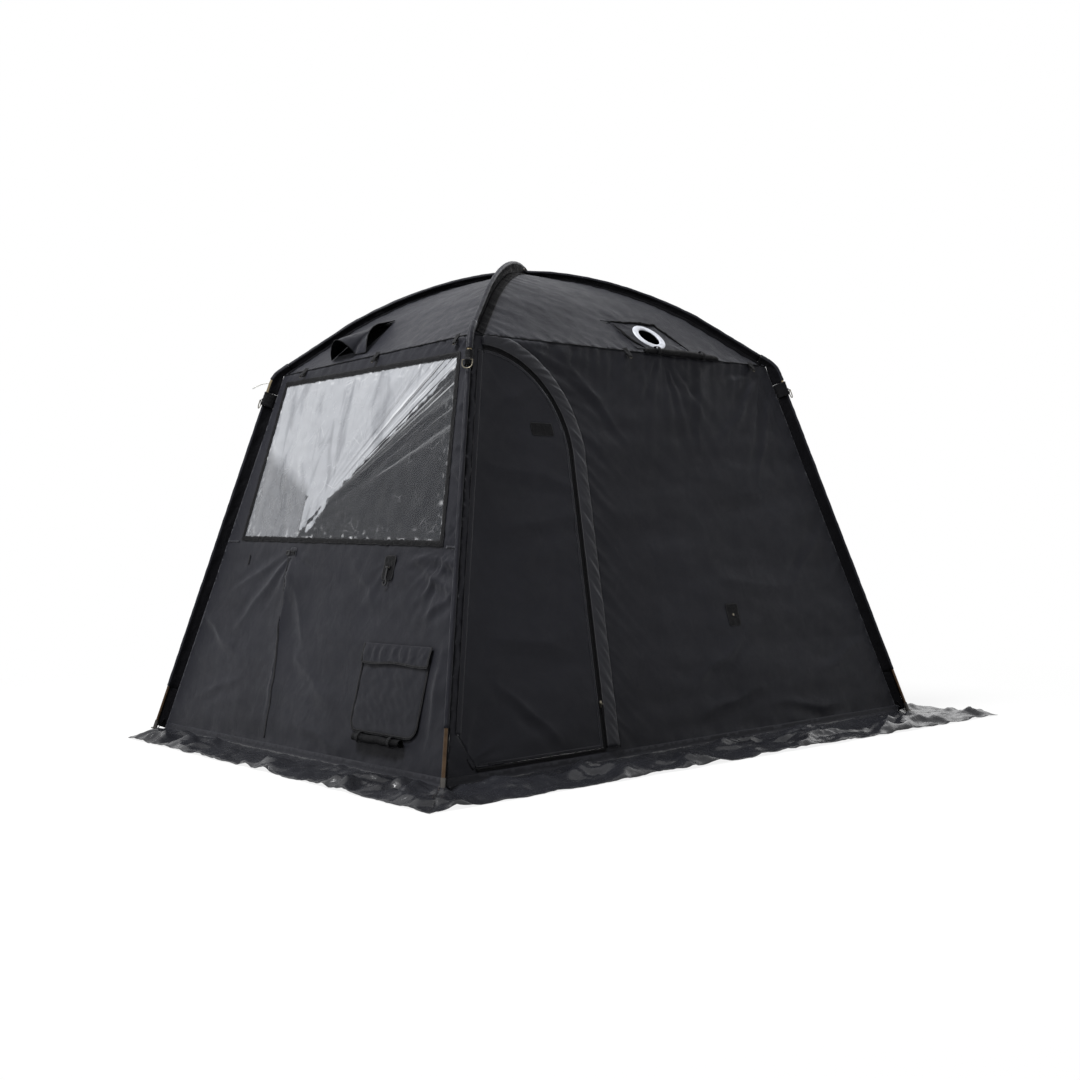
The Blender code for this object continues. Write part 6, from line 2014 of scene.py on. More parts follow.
chimneyShape = {
    "panel": [(0.035, 0.026), (0.385, 0.026), (0.268, 0.214), (0.010, 0.214)],
    "centre": (0.171, 0.116),
    "hole": 0.052,
    "ring": 0.080,
    "roll": {
        "along": 0.280,
        "up": 0.001,
        "length": 0.450,
        "radius": 0.0185,
        "turns": 2.6,
        "ends": 0.55,
        "easing": 0.5,
        "flat": 0.85,
        "ties": (-0.155, 0.12),
        "seed": 821,
    },
}


def makeChimney():
    look = chimneyShape
    onFrontRoof, axes = onRoof("front"), roofAxes("front")
    under = roofRelief("front", 200)
    loops = [look["panel"], arcPoints(look["centre"], look["hole"], look["hole"], 0, 360, 48)[:-1]]

    def panelRelief(x, y):
        away = np.hypot(x - look["centre"][0], y - look["centre"][1])
        edge, _ = nearLine(x, y, look["panel"], closed=True)
        folds = seamPuckers(x, y, look["panel"], 0.0060, 0.040, 0.040, 801, 0.5, closed=True)
        folds = folds + pullFolds(x, y, look["centre"], 0.010, 0.12, 22, 803)
        return under(x, y) + np.maximum(folds, -0.0004) * held(away - 0.082, 0.03) + 0.0006 * held(edge, 0.01)

    panel = clothPiece("chimneyPanel", loops, onFrontRoof, panelRelief, 0.0075, 0.0040, 0.0016, shellCloth)
    sewnSheet(panel, loops, "tent", "shell_fabric", "stretched", ["roofCanopy"], "chimney_panel")
    # Puckered cording round the panel, thicker where it is gathered
    _, lowRight, highRight, (leftX, leftY) = look["panel"]
    left = [(leftX + 0.012, leftY - 0.012), (0.030, 0.12), (0.060, 0.06), (0.092, 0.028)]
    head = [(leftX - 0.055, leftY - 0.002), (leftX, leftY), highRight, (0.32, 0.13), lowRight]
    for name, route in (("panelCordingHead", head), ("panelCordingLeft", left)):
        line, gone = alongPath(route, 0.006)
        bend = 0.0035 * clothNoise(gone / 0.05, gone * 0 + 3, 805)
        line = line + np.stack([bend * 0.3, bend], -1)
        swell = np.sin(np.clip(gone / gone[-1], 0.03, 0.97) * math.pi) ** 0.6
        size = 0.0062 * swell * (1 + 0.35 * clothNoise(gone / 0.022, gone * 0, 806))
        height = 0.0040 + size * 0.5 + panelRelief(line[:, 0], line[:, 1])
        cording = tubesObject(
            name, [onFrontRoof(line[:, 0], line[:, 1], height)], size, axes[3], 8, tapeBlack
        )
        settle(cording, "tent", "webbing")
    # The ring is a flat band with a rounded top and two stitched rounds
    inner, outer = look["hole"] - 0.0006, look["ring"]
    profile = [(inner, 0.0), (inner, 0.0026), (inner + 0.0016, 0.0040), (inner + 0.006, 0.0046)]
    profile += [(inner + 0.0068, 0.0041), (inner + 0.0076, 0.0047), (outer - 0.0066, 0.0046)]
    profile += [(outer - 0.0058, 0.0040), (outer - 0.005, 0.0044), (outer - 0.0014, 0.0036)]
    profile += [(outer, 0.0020), (outer, 0.0), (inner, 0.0)]
    ring = turnedPiece("chimneyRing", profile, 72, heatRing, frameAt(axes, *look["centre"], 0.0043))
    settle(ring, "tent", "heat_ring", "chimney_ring")
    makeRoll("chimneyRoll", look["roll"], axes, "chimney_flap", "roofCanopy")


def makeRoll(name, roll, axes, node, rest):
    # A rolled flap that tapers to its ends, with its two ties
    def taper(s):
        return roll["ends"] + (1 - roll["ends"]) * math.sin(math.pi * s) ** roll["easing"]

    made = rolledCloth(name, roll["length"], roll["radius"], roll["turns"], taper, roll["flat"], roll["seed"])
    place = frameAt(axes, roll["along"], roll["up"], 0.0022)
    made[0].data.transform(place)
    sewn(made, "tent", "webbing", "folded", [rest], node)
    rollTies(name, roll["ties"], roll["radius"], roll["flat"], place)


def rolledCloth(name, length, radius, turns, taper, flatness, seed):
    # Rolled up from one edge: the section is a spiral that starts small and ends under the roll
    share = np.linspace(0, 1, 64)
    angle = math.pi * 1.5 - 2 * math.pi * turns * (1 - share)
    rows, centres = [], []
    for i in range(61):
        s = i / 60
        spiral = radius * taper(s) * lerp(0.22, 0.965, share**0.85)
        bumps = 1 + 0.05 * clothNoise(angle * 0.7 + 3, np.full_like(angle, s * length / 0.030), seed) * share
        sag = 0.0012 * math.sin(2 * math.pi * s * 2.3)
        wide = spiral * bumps * np.cos(angle)
        high = radius * taper(s) * flatness + spiral * bumps * flatness * np.sin(angle)
        skew = 0.004 * (share - 0.5) * (i in (0, 60))
        uneven = 0.0025 * clothNoise(share * 3, share * 0 + s, seed + 1) * abs(2 * s - 1)
        x = (s - 0.5) * length + skew + uneven
        rows.append(np.stack([x, wide + sag, np.maximum(high, 0.0006)], -1))
        centres.append((0, 0, radius * taper(s) * flatness))
    rows = np.array(rows)
    outward = rows - np.array(centres)[:, None]
    outward[..., 0] = 0
    return sweptCloth(name, rows, 0.0009, tapeBlack, outward)


def rollTies(name, places, radius, flatness, place):
    # Narrow webbing ties round a roll
    turns = np.linspace(-0.42, math.pi + 0.42, 25)
    widths = np.linspace(-0.008, 0.008, 5)
    middle, wide = radius * flatness, radius * 0.97 + 0.0012
    high = radius * 0.97 * flatness + 0.0012
    for number, along in enumerate(places):
        rows = np.array(
            [[(along + w, wide * math.cos(t), middle + high * math.sin(t)) for w in widths] for t in turns]
        )
        made = sweptCloth(f"{name}Tie{number}", rows, 0.0, tapeStitched, rows - np.array((along, 0, middle)))
        thicken(made[0], 0.0010, 1.0)
        made[0].data.transform(place)
        sewn(made, "tent", "webbing", "folded", [name])


ventShape = {
    "centre": (-0.232, 0.171),
    "half": (0.088, 0.082),
    "mesh": 0.0058,
    "hood": (-0.205, 0.300),
    "hoodHalf": (0.135, 0.129),
    "rise": 0.085,
    "sideRise": 0.050,
    "lean": 0.55,
    "headInset": 0.075,
    "borderTape": {"cloth": 0.0010, "crown": 0.0003, "waver": 0.0002, "pitch": 0.03, "seed": 840},
}


def hoodPoint(u, v):
    look = ventShape
    # A round opening low on the left, and a raised right edge
    arch = np.sin(math.pi * np.clip(u / 0.70, 0, 1))
    lower = look["rise"] * np.maximum(arch, 0) ** 0.55 * (1 - v) ** 1.3
    right = look["sideRise"] * np.sin(math.pi * v**0.8) ** 1.2 * u**2.2
    across = (2 * u - 1) * look["hoodHalf"][0] + look["lean"] * lower * (1 - u) - look["headInset"] * u * v
    return across, (v - 1) * 2 * look["hoodHalf"][1], lower + right


def makeVent():
    look = ventShape
    axes, onLeftRoof = roofAxes("left"), onRoof("left")
    (centreX, centreY), (halfX, halfY) = look["centre"], look["half"]
    halfX, halfY = halfX - 0.0004, halfY - 0.0004
    steps = np.linspace(-1, 1, 25)
    strands = []
    for direction, count in ((0, round(2 * halfX / look["mesh"])), (1, round(2 * halfY / look["mesh"]))):
        for i in range(count + 1):
            across = np.full_like(steps, 2 * i / count - 1)
            partX, partY = (across, steps) if direction == 0 else (steps, across)
            sag = -0.004 * np.cos(math.pi * partX / 2) * np.cos(math.pi * partY / 2)
            strands.append(onLeftRoof(centreX + halfX * partX, centreY + halfY * partY, 0.0006 + sag))
    settle(tubesObject("ventNet", strands, 0.0006, axes[3], 4, tapeBlack), "tent", "webbing", "vent_mesh")
    grid = tapeGrid(boxLoop(centreX, centreY, halfX, halfY), 0.006, -0.016, 0.010, 5, closed=True)
    made = tapeCloth("ventBorder", grid, onLeftRoof, 0.0026, look["borderTape"], sleeveBlack)
    sewn(made, "tent", "webbing", "stretched", ["roofCanopy"])
    # The hood arches open along its lower and right edges
    u, v = np.meshgrid(np.linspace(0, 1, 55), np.linspace(0, 1, 49))
    across, down, rise = hoodPoint(u, v)
    loose = held(np.minimum(1 - v, u) * 0.26, 0.03)
    folds = 0.0022 * clothNoise(u * 4.5, v * 3, 851) + 0.0012 * clothNoise(u * 11, v * 9, 852)
    rise = rise + np.maximum(folds * loose, -rise * 0.5) + 0.0010 * loose
    origin, xAxis, yAxis, zAxis = axes
    start = origin + xAxis * look["hood"][0] + yAxis * look["hood"][1] + zAxis * 0.0036
    rows = start + across[..., None] * xAxis + down[..., None] * yAxis + rise[..., None] * zAxis
    made = sweptCloth("ventHood", rows, 0.0014, shellCloth, zAxis)
    # Painted shade: the hood's inner face takes the black sleeve cloth, so the opening under it reads dark
    made[0].data.materials.append(sleeveBlack)
    made[0].modifiers[-1].material_offset = 1
    sewn(made, "vent_hood", "shell_fabric", "hung", ["roofCanopy"], "vent_hood")
    for name, line in (("hoodLowerBinding", rows[0]), ("hoodSideBinding", rows[:, -1])):
        binding = tubesObject(name, [line + zAxis * 0.0006], 0.0024, zAxis, 8, tapeBlack)
        settle(binding, "vent_hood", "webbing")


makeChimney()
makeVent()
print("chimney outlet and roof vent made")

# Low port: a stitched cover with a puckered flap over it and its inner cover rolled up at the foot

portShape = {
    "along": 0.638,
    "foot": 0.150,
    "head": 0.474,
    "half": 0.207,
    "fillet": 0.045,
    "rise": 0.0046,
    "flapHeight": 0.072,
    "flapHalf": 0.212,
    "bindingTape": {"cloth": 0.0014, "crown": 0.0016, "waver": 0.0008, "pitch": 0.025, "seed": 905},
    "roll": {
        "up": 0.128,
        "length": 0.300,
        "radius": 0.0185,
        "turns": 2.3,
        "ends": 0.86,
        "easing": 1,
        "flat": 0.98,
        "ties": (-0.10, 0.10),
        "seed": 921,
    },
}


def makePort():
    look = portShape
    onLeft, axes = onWall("left"), wallAxes("left")
    leftX, rightX = look["along"] - look["half"], look["along"] + look["half"]
    outline = roundedBox(leftX, rightX, look["foot"], look["head"], look["fillet"], 6)

    def panelRelief(x, y):
        edge, _ = nearLine(x, y, outline, closed=True)
        soft = 0.0022 * clothNoise(x / 0.10, y / 0.055, 901)
        soft = soft + 0.0014 * clothNoise(x / 0.035 + y / 0.05, y / 0.03, 902)
        folds = seamPuckers(x, y, outline, 0.0022, 0.030, 0.035, 903, 0.5, closed=True)
        under = leftRelief(x, y) * held(edge, 0.01)
        return under + look["rise"] * held(edge, 0.008) + (soft + folds) * held(edge, 0.02)

    panel = clothPiece(
        "portCover", [outline], onLeft, panelRelief, 0.0065, 0.0030, shellThickness, shellCloth
    )
    sewnSheet(panel, [outline], "tent", "shell_fabric", "stretched", ["leftWallCloth"], "port_panel")
    corner, shoulder = len(outline) // 4, look["head"] - look["fillet"]
    below = [(leftX, shoulder)] + outline[3 * corner :] + outline[:corner] + [(rightX, shoulder)]
    grid = tapeGrid(below, 0.006, -0.006, 0.008, 5)
    made = tapeCloth("portBinding", grid, onLeft, 0.0052, look["bindingTape"], tapeStitched)
    sewn(made, "tent", "webbing", "stretched", ["portCover"])
    # The flap swings on its sewn upper edge
    long, high = 85, 19
    u, v = np.meshgrid(np.linspace(0, 1, long), np.linspace(0, 1, high))
    drop = look["flapHeight"] * (1 + 0.05 * np.sin(u * 9) * v)
    gathers = 0.5 + 0.5 * np.sin(2 * math.pi * 7 * u + 1.5 * clothNoise(u * 5, v * 2, 911))
    pucker = 0.0036 * np.sin(math.pi * np.clip(v, 0, 1)) * gathers
    gathers = np.clip(clothNoise(u * 22, v * 2.5, 912), -0.2, 1)
    pucker += 0.0014 * gathers * held(v * 0.07, 0.01) + 0.0020 * v**2
    x = look["along"] + (2 * u - 1) * (look["flapHalf"] - 0.004 * v)
    rows = onLeft(x, look["head"] - drop * v, 0.0104 + np.maximum(pucker, 0))
    made = sweptCloth("portFlap", rows, 0.0014, shellCloth, axes[3])
    sewn(made, "port_flap", "shell_fabric", "hung", ["portCover"], "port_flap")
    # One binding down the left, along the foot and up the right
    sideways, upward = axes[1], axes[2]
    border = np.concatenate([rows[:-1, 0], rows[-1], rows[-2::-1, -1]])
    inward = np.concatenate(
        [np.tile(a, (n, 1)) for a, n in ((sideways, high - 1), (upward, long), (-sideways, high - 1))]
    )
    share = np.linspace(-0.0040, 0.0068, 5)
    strip = border[:, None] + inward[:, None] * share[None, :, None] + axes[3] * 0.0007
    made = sweptCloth("portFlapBinding", strip, 0.0010, tapeStitched, axes[3])
    sewn(made, "port_flap", "webbing", "stretched", ["portFlap"])
    makeRoll("portRoll", {**look["roll"], "along": look["along"]}, axes, "port_roll", "leftWallCloth")


makePort()
print("low port made")

# Tabs, straps and loops

tabShape = {"fillet": 0.012, "lift": 0.0034, "cloth": 0.0013, "swell": 0.0006}
hookTabShape = {
    "place": (0.468, 0.762),
    "half": (0.037, 0.048),
    "barLift": 0.0086,
    "barHalf": 0.0125,
    "barRadius": 0.0019,
    "ear": (0.0042, 0.0105, 0.0088),
}
rivetTabShape = {
    "place": (0.296, 0.516),
    "half": (0.037, 0.048),
    "rivet": [
        (0.0056, 0.0),
        (0.0056, 0.0006),
        (0.0044, 0.0011),
        (0.0036, 0.0012),
        (0.0032, 0.0021),
        (0.0020, 0.0026),
        (0.0001, 0.0028),
    ],
}
strapShape = {
    "place": (-0.265, 0.826),
    "half": (0.026, 0.024),
    "buckle": (0.030, 0.022, 0.0062),
    "smallTab": [(-0.640, 0.822), (-0.640, 0.778)],
    "webbing": {"cloth": 0.0014, "crown": 0.0004, "waver": 0.0008, "pitch": 0.02, "seed": 941},
    "tabTape": {"cloth": 0.0014, "crown": 0.0010, "waver": 0.0006, "pitch": 0.02, "seed": 945},
}


def makeTab(name, side, look, material, follow, *nodes):
    (along, height), (halfLong, halfHigh) = look["place"], look["half"]
    outline = roundedBox(
        along - halfLong, along + halfLong, height - halfHigh, height + halfHigh, tabShape["fillet"], 5
    )

    def relief(x, y):
        edge, _ = nearLine(x, y, outline, closed=True)
        swell = tabShape["swell"] * held(edge, 0.006) + 0.0007 * clothNoise(x / 0.02, y / 0.018, 931)
        return follow(x, y) + swell

    tab = clothPiece(
        name, [outline], onWall(side), relief, 0.0045, tabShape["lift"], tabShape["cloth"], material
    )
    sewnSheet(tab, [outline], "tent", "webbing", "stretched", [side + "WallCloth"], *nodes)


def eyeletRing(name, matrix, inner, outer, height, material):
    middle, half = (inner + outer) / 2, (outer - inner) / 2
    profile = [
        (middle - half * math.cos(a), height * math.sin(a)) for a in np.radians(np.linspace(0, 180, 9))
    ]
    profile += [(outer, -0.0004), (inner, -0.0004), profile[0]]
    return turnedPiece(name, profile, 28, material, matrix)


def makeHookTab():
    # The bar stands between two folded ears, where the CAD's hook swings
    look, axes = hookTabShape, wallAxes("left")
    makeTab("hookTab", "left", look, tapeStitched, noRelief, "hook_tab")
    half, radius, fillet = look["barHalf"], look["barRadius"], 0.0005
    profile = [(0.0001, -half), (0.0015, -half), (radius, -half + fillet), (radius, half - fillet)]
    profile += [(0.0015, half), (0.0001, half)]
    place = frameAt(axes, *look["place"], look["barLift"]) @ Matrix.Rotation(math.pi / 2, 4, "Y")
    settle(turnedPiece("hookTabBar", profile, 20, steelWire, place), "tent", "webbing")
    along, height = look["place"]
    for number, sign in enumerate((-1, 1)):
        obj = startFrom(bpy.ops.mesh.primitive_cube_add, size=1, scale=look["ear"])
        bpy.ops.mesh.bevel(offset=0.0012, segments=3, affect="EDGES")
        place = frameAt(axes, along + sign * half, height, look["barLift"] - 0.0028)
        settle(finishPiece(obj, f"hookTabEar{number}", hookPlastic, place), "tent", "webbing")


def makeRivetTab():
    along, height = rivetTabShape["place"]
    makeTab("doorWallTab", "front", rivetTabShape, tapeStitched, frontRelief, "door_wall_tab")
    lift = tabShape["lift"] + float(frontRelief(np.array([along]), np.array([height]))[0]) + tabShape["swell"]
    place = frameAt(wallAxes("front"), along, height, lift)
    settle(turnedPiece("tabRivet", rivetTabShape["rivet"], 24, steelWire, place), "tent", "webbing")


def makeWindowStrap():
    # A patch, a short strap and half a side-release buckle, then the small tab near the left edge
    look, onLeft = strapShape, onWall("left")
    along, height = look["place"]
    makeTab("strapPatch", "left", look, shellStitched, noRelief, "window_strap")
    grid = tapeGrid([(along + 0.020, height), (along - 0.030, height + 0.001)], 0.0095, -0.0095, 0.005, 5)
    made = tapeCloth("strapWebbing", grid, onLeft, 0.0062, look["webbing"], tapeStitched)
    sewn(made, "tent", "webbing", "stretched", ["strapPatch"])
    obj = startFrom(bpy.ops.mesh.primitive_cube_add, size=1, scale=look["buckle"])
    bpy.ops.mesh.bevel(offset=0.0019, segments=3, affect="EDGES")
    obj = finishPiece(obj, "strapBuckle", hookPlastic)
    bpy.ops.object.mode_set(mode="EDIT")
    bpy.ops.mesh.select_all(action="DESELECT")
    bm = bmesh.from_edit_mesh(obj.data)
    for face in bm.faces:
        if face.normal.z > 0.99 and face.calc_area() > 0.0002:
            face.select_set(True)
    bmesh.update_edit_mesh(obj.data)
    bpy.ops.mesh.inset(thickness=0.0028)
    bpy.ops.mesh.extrude_region_move(TRANSFORM_OT_translate={"value": (0, 0, -0.0022)})
    place = frameAt(wallAxes("left"), along - 0.032, height, 0.0062)
    settle(finishPiece(obj, "strapBuckle", hookPlastic, place), "tent", "webbing")
    tip = tapeGrid(look["smallTab"], 0.006, -0.006, 0.006, 5)
    made = tapeCloth("smallTab", tip, onLeft, 0.0036, look["tabTape"], tapeStitched, leftRelief)
    sewn(made, "tent", "webbing", "stretched", ["leftWallCloth"])


eaveLoopShape = {
    "shares": {
        "front": (-0.06, 0.87),
        "left": (-0.72, 0.09, 0.87),
        "rear": (-0.87, 0.0, 0.87),
        "right": (-0.87, 0.0, 0.87),
    },
    "path": [
        (0.0135, 0.0012),
        (0.004, 0.0034),
        (-0.006, 0.0080),
        (-0.016, 0.0135),
        (-0.026, 0.0185),
        (-0.0325, 0.0205),
        (-0.0350, 0.0190),
        (-0.0348, 0.0160),
        (-0.0325, 0.0115),
        (-0.0285, 0.0066),
        (-0.022, 0.0034),
        (-0.010, 0.0022),
        (-0.001, 0.0018),
    ],
    "width": 0.028,
    "tipWidth": 0.017,
    "ringRadius": 0.0062,
    "wire": 0.0011,
}


def makeEaveLoops():
    # One folded webbing loop and one wire ring are made, then copied along the eaves
    look = eaveLoopShape
    rows = []
    for down, lift in look["path"]:
        half = lerp(look["width"], look["tipWidth"], min(1.0, max(0.0, -down / 0.034))) / 2
        rows.append([(w * half, down, lift) for w in np.linspace(-1, 1, 7)])
    rows = np.array(rows)
    outward = rows - np.array((0, -0.018, 0.0062))
    outward[..., 0] = 0
    loop, size, area = sweptCloth("eaveLoop", rows, 0.0012, tapeStitched, outward)
    ring = startFrom(
        bpy.ops.mesh.primitive_torus_add,
        major_radius=look["ringRadius"],
        minor_radius=look["wire"],
        major_segments=24,
        minor_segments=8,
    )
    bpy.ops.transform.resize(value=(1.0, 0.72, 1.0), center_override=(0, 0, 0))
    bpy.ops.transform.translate(value=(0, -0.0345, 0.0172))
    ring = finishPiece(ring, "eaveLoopRing", steelWire)
    places = [(side, share) for side, shares in look["shares"].items() for share in shares]
    for number, (side, share) in enumerate(places):
        head = wallSlope(side)
        turned = Matrix.Rotation(math.radians(12 * math.sin(5 * number + 1)), 4, "Z")
        place = frameAt(wallAxes(side), share * cornerAlong(side, head), head, 0.0018) @ turned
        oneLoop = copyOf(loop, f"eaveLoop{number}", place)
        sewn((oneLoop, size, area), "tent", "webbing", "folded", ["roofCanopy"])
        settle(copyOf(ring, f"eaveLoopRing{number}", place), "tent", "ring_steel")
    bpy.data.objects.remove(loop, do_unlink=True)
    bpy.data.objects.remove(ring, do_unlink=True)


makeHookTab()
makeRivetTab()
makeWindowStrap()
makeEaveLoops()
print("tabs, strap and eave loops made")

# Seams: cording at the eaves, and tapes across the walls

seamShape = {
    "eave": 0.0020,
    "ribWidth": 0.0106,
    "ribTape": {"cloth": 0.0012, "crown": 0.0012, "waver": 0.0004, "pitch": 0.03, "seed": 970},
    "inset": 0.012,
    "ribDown": [
        (-0.297, 0.798), (-0.286, 0.72), (-0.262, 0.60), (-0.232, 0.46), (-0.205, 0.30), (-0.190, 0.06)
    ],
}


def makeSeams():
    look = seamShape
    for number, side in enumerate(sides):
        head = wallSlope(side)
        reach = cornerAlong(side, head) - 0.004
        line, gone = alongPath([(-reach, head), (reach, head)], 0.010)
        size = look["eave"] * (1 + 0.3 * clothNoise(gone / 0.03, gone * 0, 960 + number))
        dip = 0.0016 * clothNoise(gone / 0.06, gone * 0 + 1, 965 + number)
        points = onWall(side)(line[:, 0], line[:, 1] + dip, 0.0020 + size * 0.4)
        cording = tubesObject(side + "EaveCording", [points], size, wallAxes(side)[3], 6, tapeBlack)
        settle(cording, "tent", "sleeve_fabric")

    def edge(side, y):
        return cornerAlong(side, y) - look["inset"]

    ribs = {
        "leftRibHigh": ("left", [(0.800, 0.838), (edge("left", 0.838), 0.836)], leftRelief),
        "leftRibLow": ("left", [(-edge("left", 0.885), 0.886), (-0.762, 0.884)], leftRelief),
        "leftRibDown": ("left", look["ribDown"], leftRelief),
        "rearRib": ("rear", [(-edge("rear", 0.86), 0.86), (edge("rear", 0.86), 0.86)], rearRelief),
        "rightRib": ("right", [(-edge("right", 0.86), 0.86), (edge("right", 0.86), 0.86)], rightRelief),
    }
    for number, (name, (side, path, follow)) in enumerate(ribs.items()):
        # The tape down from the strap is black: painted shade along the fold beside it
        finish = tapeStitched if name == "leftRibDown" else shellStitched
        grid = tapeGrid(path, look["ribWidth"] / 2, -look["ribWidth"] / 2, 0.010, 5)
        made = tapeCloth(name, grid, onWall(side), 0.0026, look["ribTape"], finish, follow, number)
        sewn(made, "tent", "shell_fabric", "stretched", [side + "WallCloth"])


makeSeams()
print("seams sewn")

# Corner feet: a webbing strap from the hem to an eyelet round each pole tip

footShape = {"inner": 0.0112, "outer": 0.0175, "rise": 0.0022, "height": 0.0165, "strapHalf": 0.0095}


def makeFoot(corner):
    look = footShape
    out, across = cornerAxes(corner)
    centre = inCorner(corner, legStation(look["height"])[0])
    matrix = matrixOf(centre, across, np.cross(inCorner(corner, legDirection), across))
    ring = eyeletRing(
        "footEyelet" + joined(corner), matrix, look["inner"], look["outer"], look["rise"], tipMetal
    )
    settle(ring, "tent", "webbing")
    start = inCorner(corner, np.array((halfDiagonal * baseShare - 0.004, 0.060)))
    bend = inCorner(corner, np.array((halfDiagonal * baseShare + 0.014, 0.034)))
    end = centre - out * (look["outer"] - 0.003) + np.array((0, 0, 0.0016))
    steps = np.linspace(0, 1, 13)[:, None]
    middle = (1 - steps) ** 2 * start + 2 * steps * (1 - steps) * bend + steps**2 * end
    widths = np.linspace(-look["strapHalf"], look["strapHalf"], 5)
    rows = middle[:, None] + across * widths[None, :, None] * lerp(1, 0.8, steps)[:, None]
    made = sweptCloth(
        "footStrap" + joined(corner), rows, 0.0014, tapeStitched, np.array((0, 0, 1.0)) + out * 0.5
    )
    sewn(made, "tent", "webbing", "stretched", ["leg_pole_" + corner])


for corner in corners:
    makeFoot(corner)
print("corner feet made")

# The elbows' covers: the sleeve's cloth carried round the bend, open at its lower end

coverShape = {"radius": 0.0124, "start": 0.006, "openStart": 0.056, "swell": 0.0014}


def makeElbowCover(corner, seed):
    look = coverShape
    low, high = elbowEnds(corner)
    (first, _), (second, _) = ridgeStations(corner)[:2]
    roofStep = (second - first) / np.hypot(*(second - first))
    turn = math.acos(float(legDirection @ roofStep))
    bend = poleShape["bend"]
    bendStart = low + legDirection * poleShape["legSocket"]
    centre = bendStart + legInward * bend
    start = low + legDirection * (poleShape["patchLength"] + 0.001)
    # Up the leg, round the bend and on to the roof arch's socket
    path = [lerp(start, bendStart, s) for s in np.linspace(0, 1, 12)[:-1]]
    for angle in np.linspace(0, turn, 12):
        path.append(centre - legInward * bend * math.cos(angle) + legDirection * bend * math.sin(angle))
    path += [lerp(path[-1], high, s) for s in np.linspace(0, 1, 6)[1:]]
    path = np.array(path)
    shellCorner = np.array((halfDiagonal * eaveShare, tentSize["eaveHeight"]))
    ahead = np.gradient(path, axis=0)
    ahead /= np.linalg.norm(ahead, axis=1, keepdims=True)
    gone = np.concatenate([[0], np.cumsum(np.hypot(*np.diff(path, axis=0).T))])
    web, turns = sleeveWeb, sleeveTurns
    rows = []
    for i, (pole, step) in enumerate(zip(path, ahead)):
        outward = np.array((step[1], -step[0]))
        if i < 11:
            _, seam = legStation(float(np.hypot(*(pole - legFoot))))
        elif i > len(path) - 6:
            seam = pole - outward * lerp(0.030, 0.0262, (i - len(path) + 6) / 5)
        else:
            seam = lerp(pole, shellCorner, 0.92)
        root = seam - (pole - seam) / np.hypot(*(pole - seam)) * 0.002
        lumps = clothNoise(np.full_like(turns, gone[i] / 0.02), turns + 1, seed) + 0.2
        radius = look["radius"] + look["swell"] * np.clip(lumps, 0, 1)
        uneven = clothNoise(np.full_like(web, gone[i] / 0.03), web * 1.5, seed + 1)
        waver = 0.003 * np.sin(math.pi * web) * uneven
        rows.append(inCorner(corner, *sleeveSection(pole, outward, root, radius, waver, 2)))
    rows = np.array(rows)
    # The elbow shows between the patch and the start of the cover, in front of the web
    columns, edge = rows.shape[1], sleeveFolds["webSteps"] - 1
    bare = look["openStart"] if corner == "rear_left" else look["start"]
    keep = np.ones((len(rows) - 1, columns - 1), bool)
    keep[np.ix_(gone[:-1] < bare, np.arange(edge, columns - 1 - edge))] = False
    finishSleeve(
        "elbowCover" + joined(corner), rows, inCorner(corner, path), [], ["elbow_" + corner], keep, True
    )


for number, corner in enumerate(corners):
    makeElbowCover(corner, 980 + 5 * number)
print("elbow covers made")


# Light and floor


def seenDirectly(tree):
    # One for the camera, mirrors and clear sheet, and zero for the light that falls on things
    path = addNode(tree, "ShaderNodeLightPath")
    shown = worked(tree, "MAXIMUM", path.outputs["Is Camera Ray"], path.outputs["Is Glossy Ray"])
    return worked(tree, "MAXIMUM", shown, path.outputs["Is Transmission Ray"])


stageShape = {"shadowNear": 1.6, "shadowFar": 4.2, "ambient": 0.29}


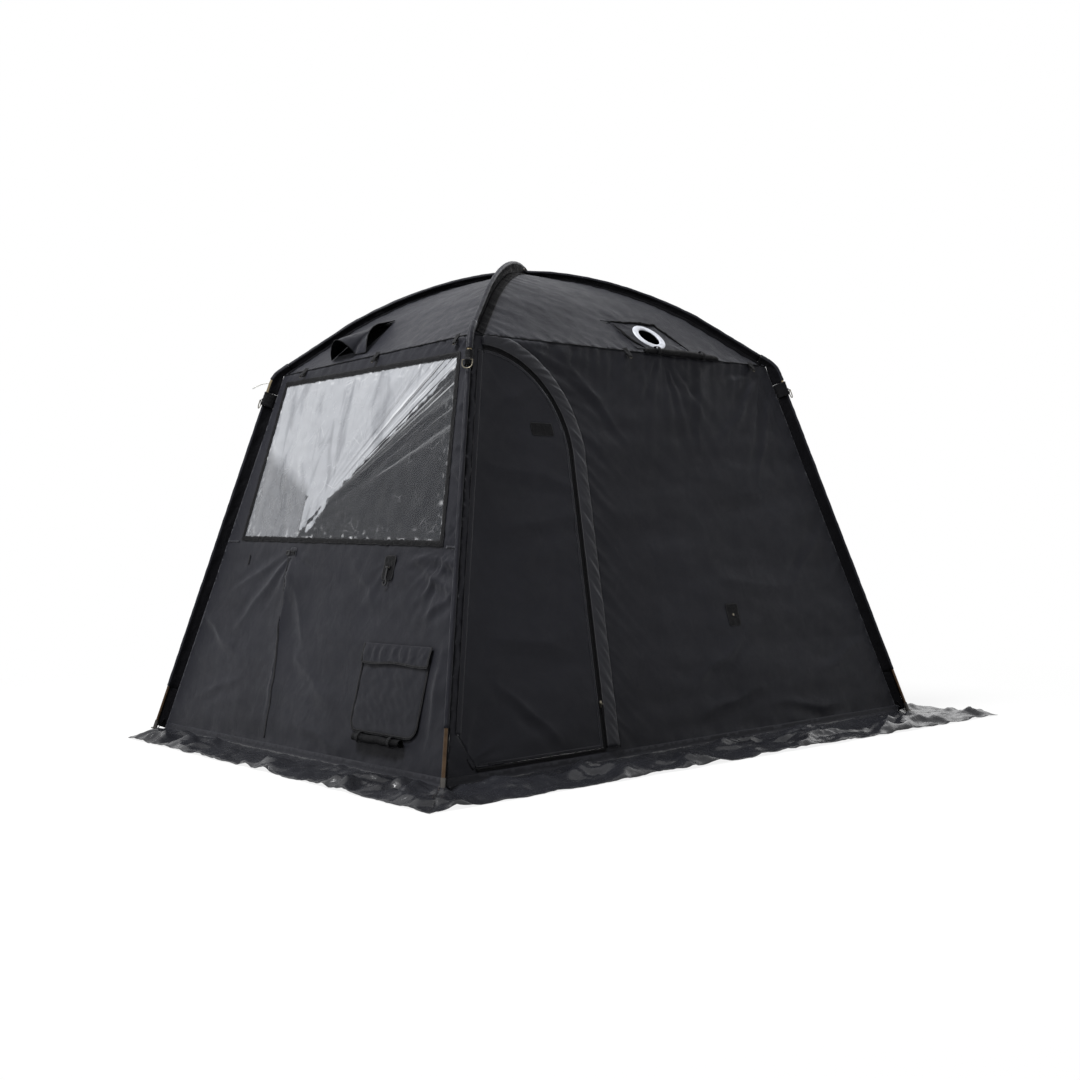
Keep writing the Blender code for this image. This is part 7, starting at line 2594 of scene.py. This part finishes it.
def makeStage():
    look = stageShape
    bpy.ops.object.select_all(action="DESELECT")
    bpy.ops.mesh.primitive_plane_add(size=60, location=(0, 0, -0.0005))
    floor = bpy.context.object
    floor.name = "paleFloor"
    dull = {"Base Color": (0.86, 0.86, 0.86, 1), "Roughness": 0.9, "Specular IOR Level": 0.1}
    material, tree, shader, place = newFinish("paleFloor", dull)
    # The object's shadow shows near it, and further out the floor runs into the white backdrop
    away = addNode(tree, "ShaderNodeVectorMath", {0: place}, operation="LENGTH").outputs["Value"]
    glow = ranged(tree, away, 0.86, 1.0, look["shadowNear"], look["shadowFar"])
    # Inside the tent the ground is only as bright as the light that gets in
    flat = addNode(
        tree, "ShaderNodeVectorMath", {0: place, 1: (1 / 1.33, 1 / 1.11, 0.0)}, operation="MULTIPLY"
    )
    flat = addNode(tree, "ShaderNodeVectorMath", {0: flat.outputs[0]}, operation="ABSOLUTE").outputs[0]
    parts = addNode(tree, "ShaderNodeSeparateXYZ", {"Vector": flat}).outputs
    outside = ranged(tree, worked(tree, "MAXIMUM", parts[0], parts[1]), 0, 1, 0.98, 1.0)
    share = worked(tree, "MULTIPLY", seenDirectly(tree), worked(tree, "MULTIPLY", glow, outside))
    white = addNode(tree, "ShaderNodeEmission", {"Color": (1, 1, 1, 1), "Strength": 1.0})
    mix = addNode(tree, "ShaderNodeMixShader", {0: share, 1: shader.outputs[0], 2: white.outputs[0]})
    tree.links.new(mix.outputs[0], tree.nodes["Material Output"].inputs[0])
    floor.data.materials.append(material)
    world = bpy.data.worlds.new("studio")
    world.use_nodes = True
    bpy.context.scene.world = world
    tree = world.node_tree
    strength = ranged(tree, seenDirectly(tree), look["ambient"], 1.0, 0, 1)
    back = tree.nodes["Background"]
    back.inputs["Color"].default_value = (1, 1, 1, 1)
    tree.links.new(strength, back.inputs["Strength"])


studioLamps = {
    "skyLeft": {"place": (-3.9, 0.25, 7.4), "aim": (0, 0, 1.0), "size": 2.0, "power": 965},
    "frontFill": {"place": (0.5, -6.5, 3.0), "aim": (0, 0, 0.9), "size": 4.0, "power": 25},
    "rightFill": {"place": (6.0, 1.0, 3.5), "aim": (0, 0, 1.0), "size": 4.0, "power": 60},
}


def makeLamps():
    for name, look in studioLamps.items():
        data = bpy.data.lights.new(name, "AREA")
        data.shape = "SQUARE"
        data.size = look["size"]
        data.energy = look["power"]
        lamp = bpy.data.objects.new(name, data)
        lamp.location = look["place"]
        aimLine = Vector(look["aim"]) - Vector(look["place"])
        lamp.rotation_euler = aimLine.to_track_quat("-Z", "Y").to_euler()
        bpy.context.scene.collection.objects.link(lamp)


makeStage()
makeLamps()
bpy.context.scene.view_settings.view_transform = "Standard"
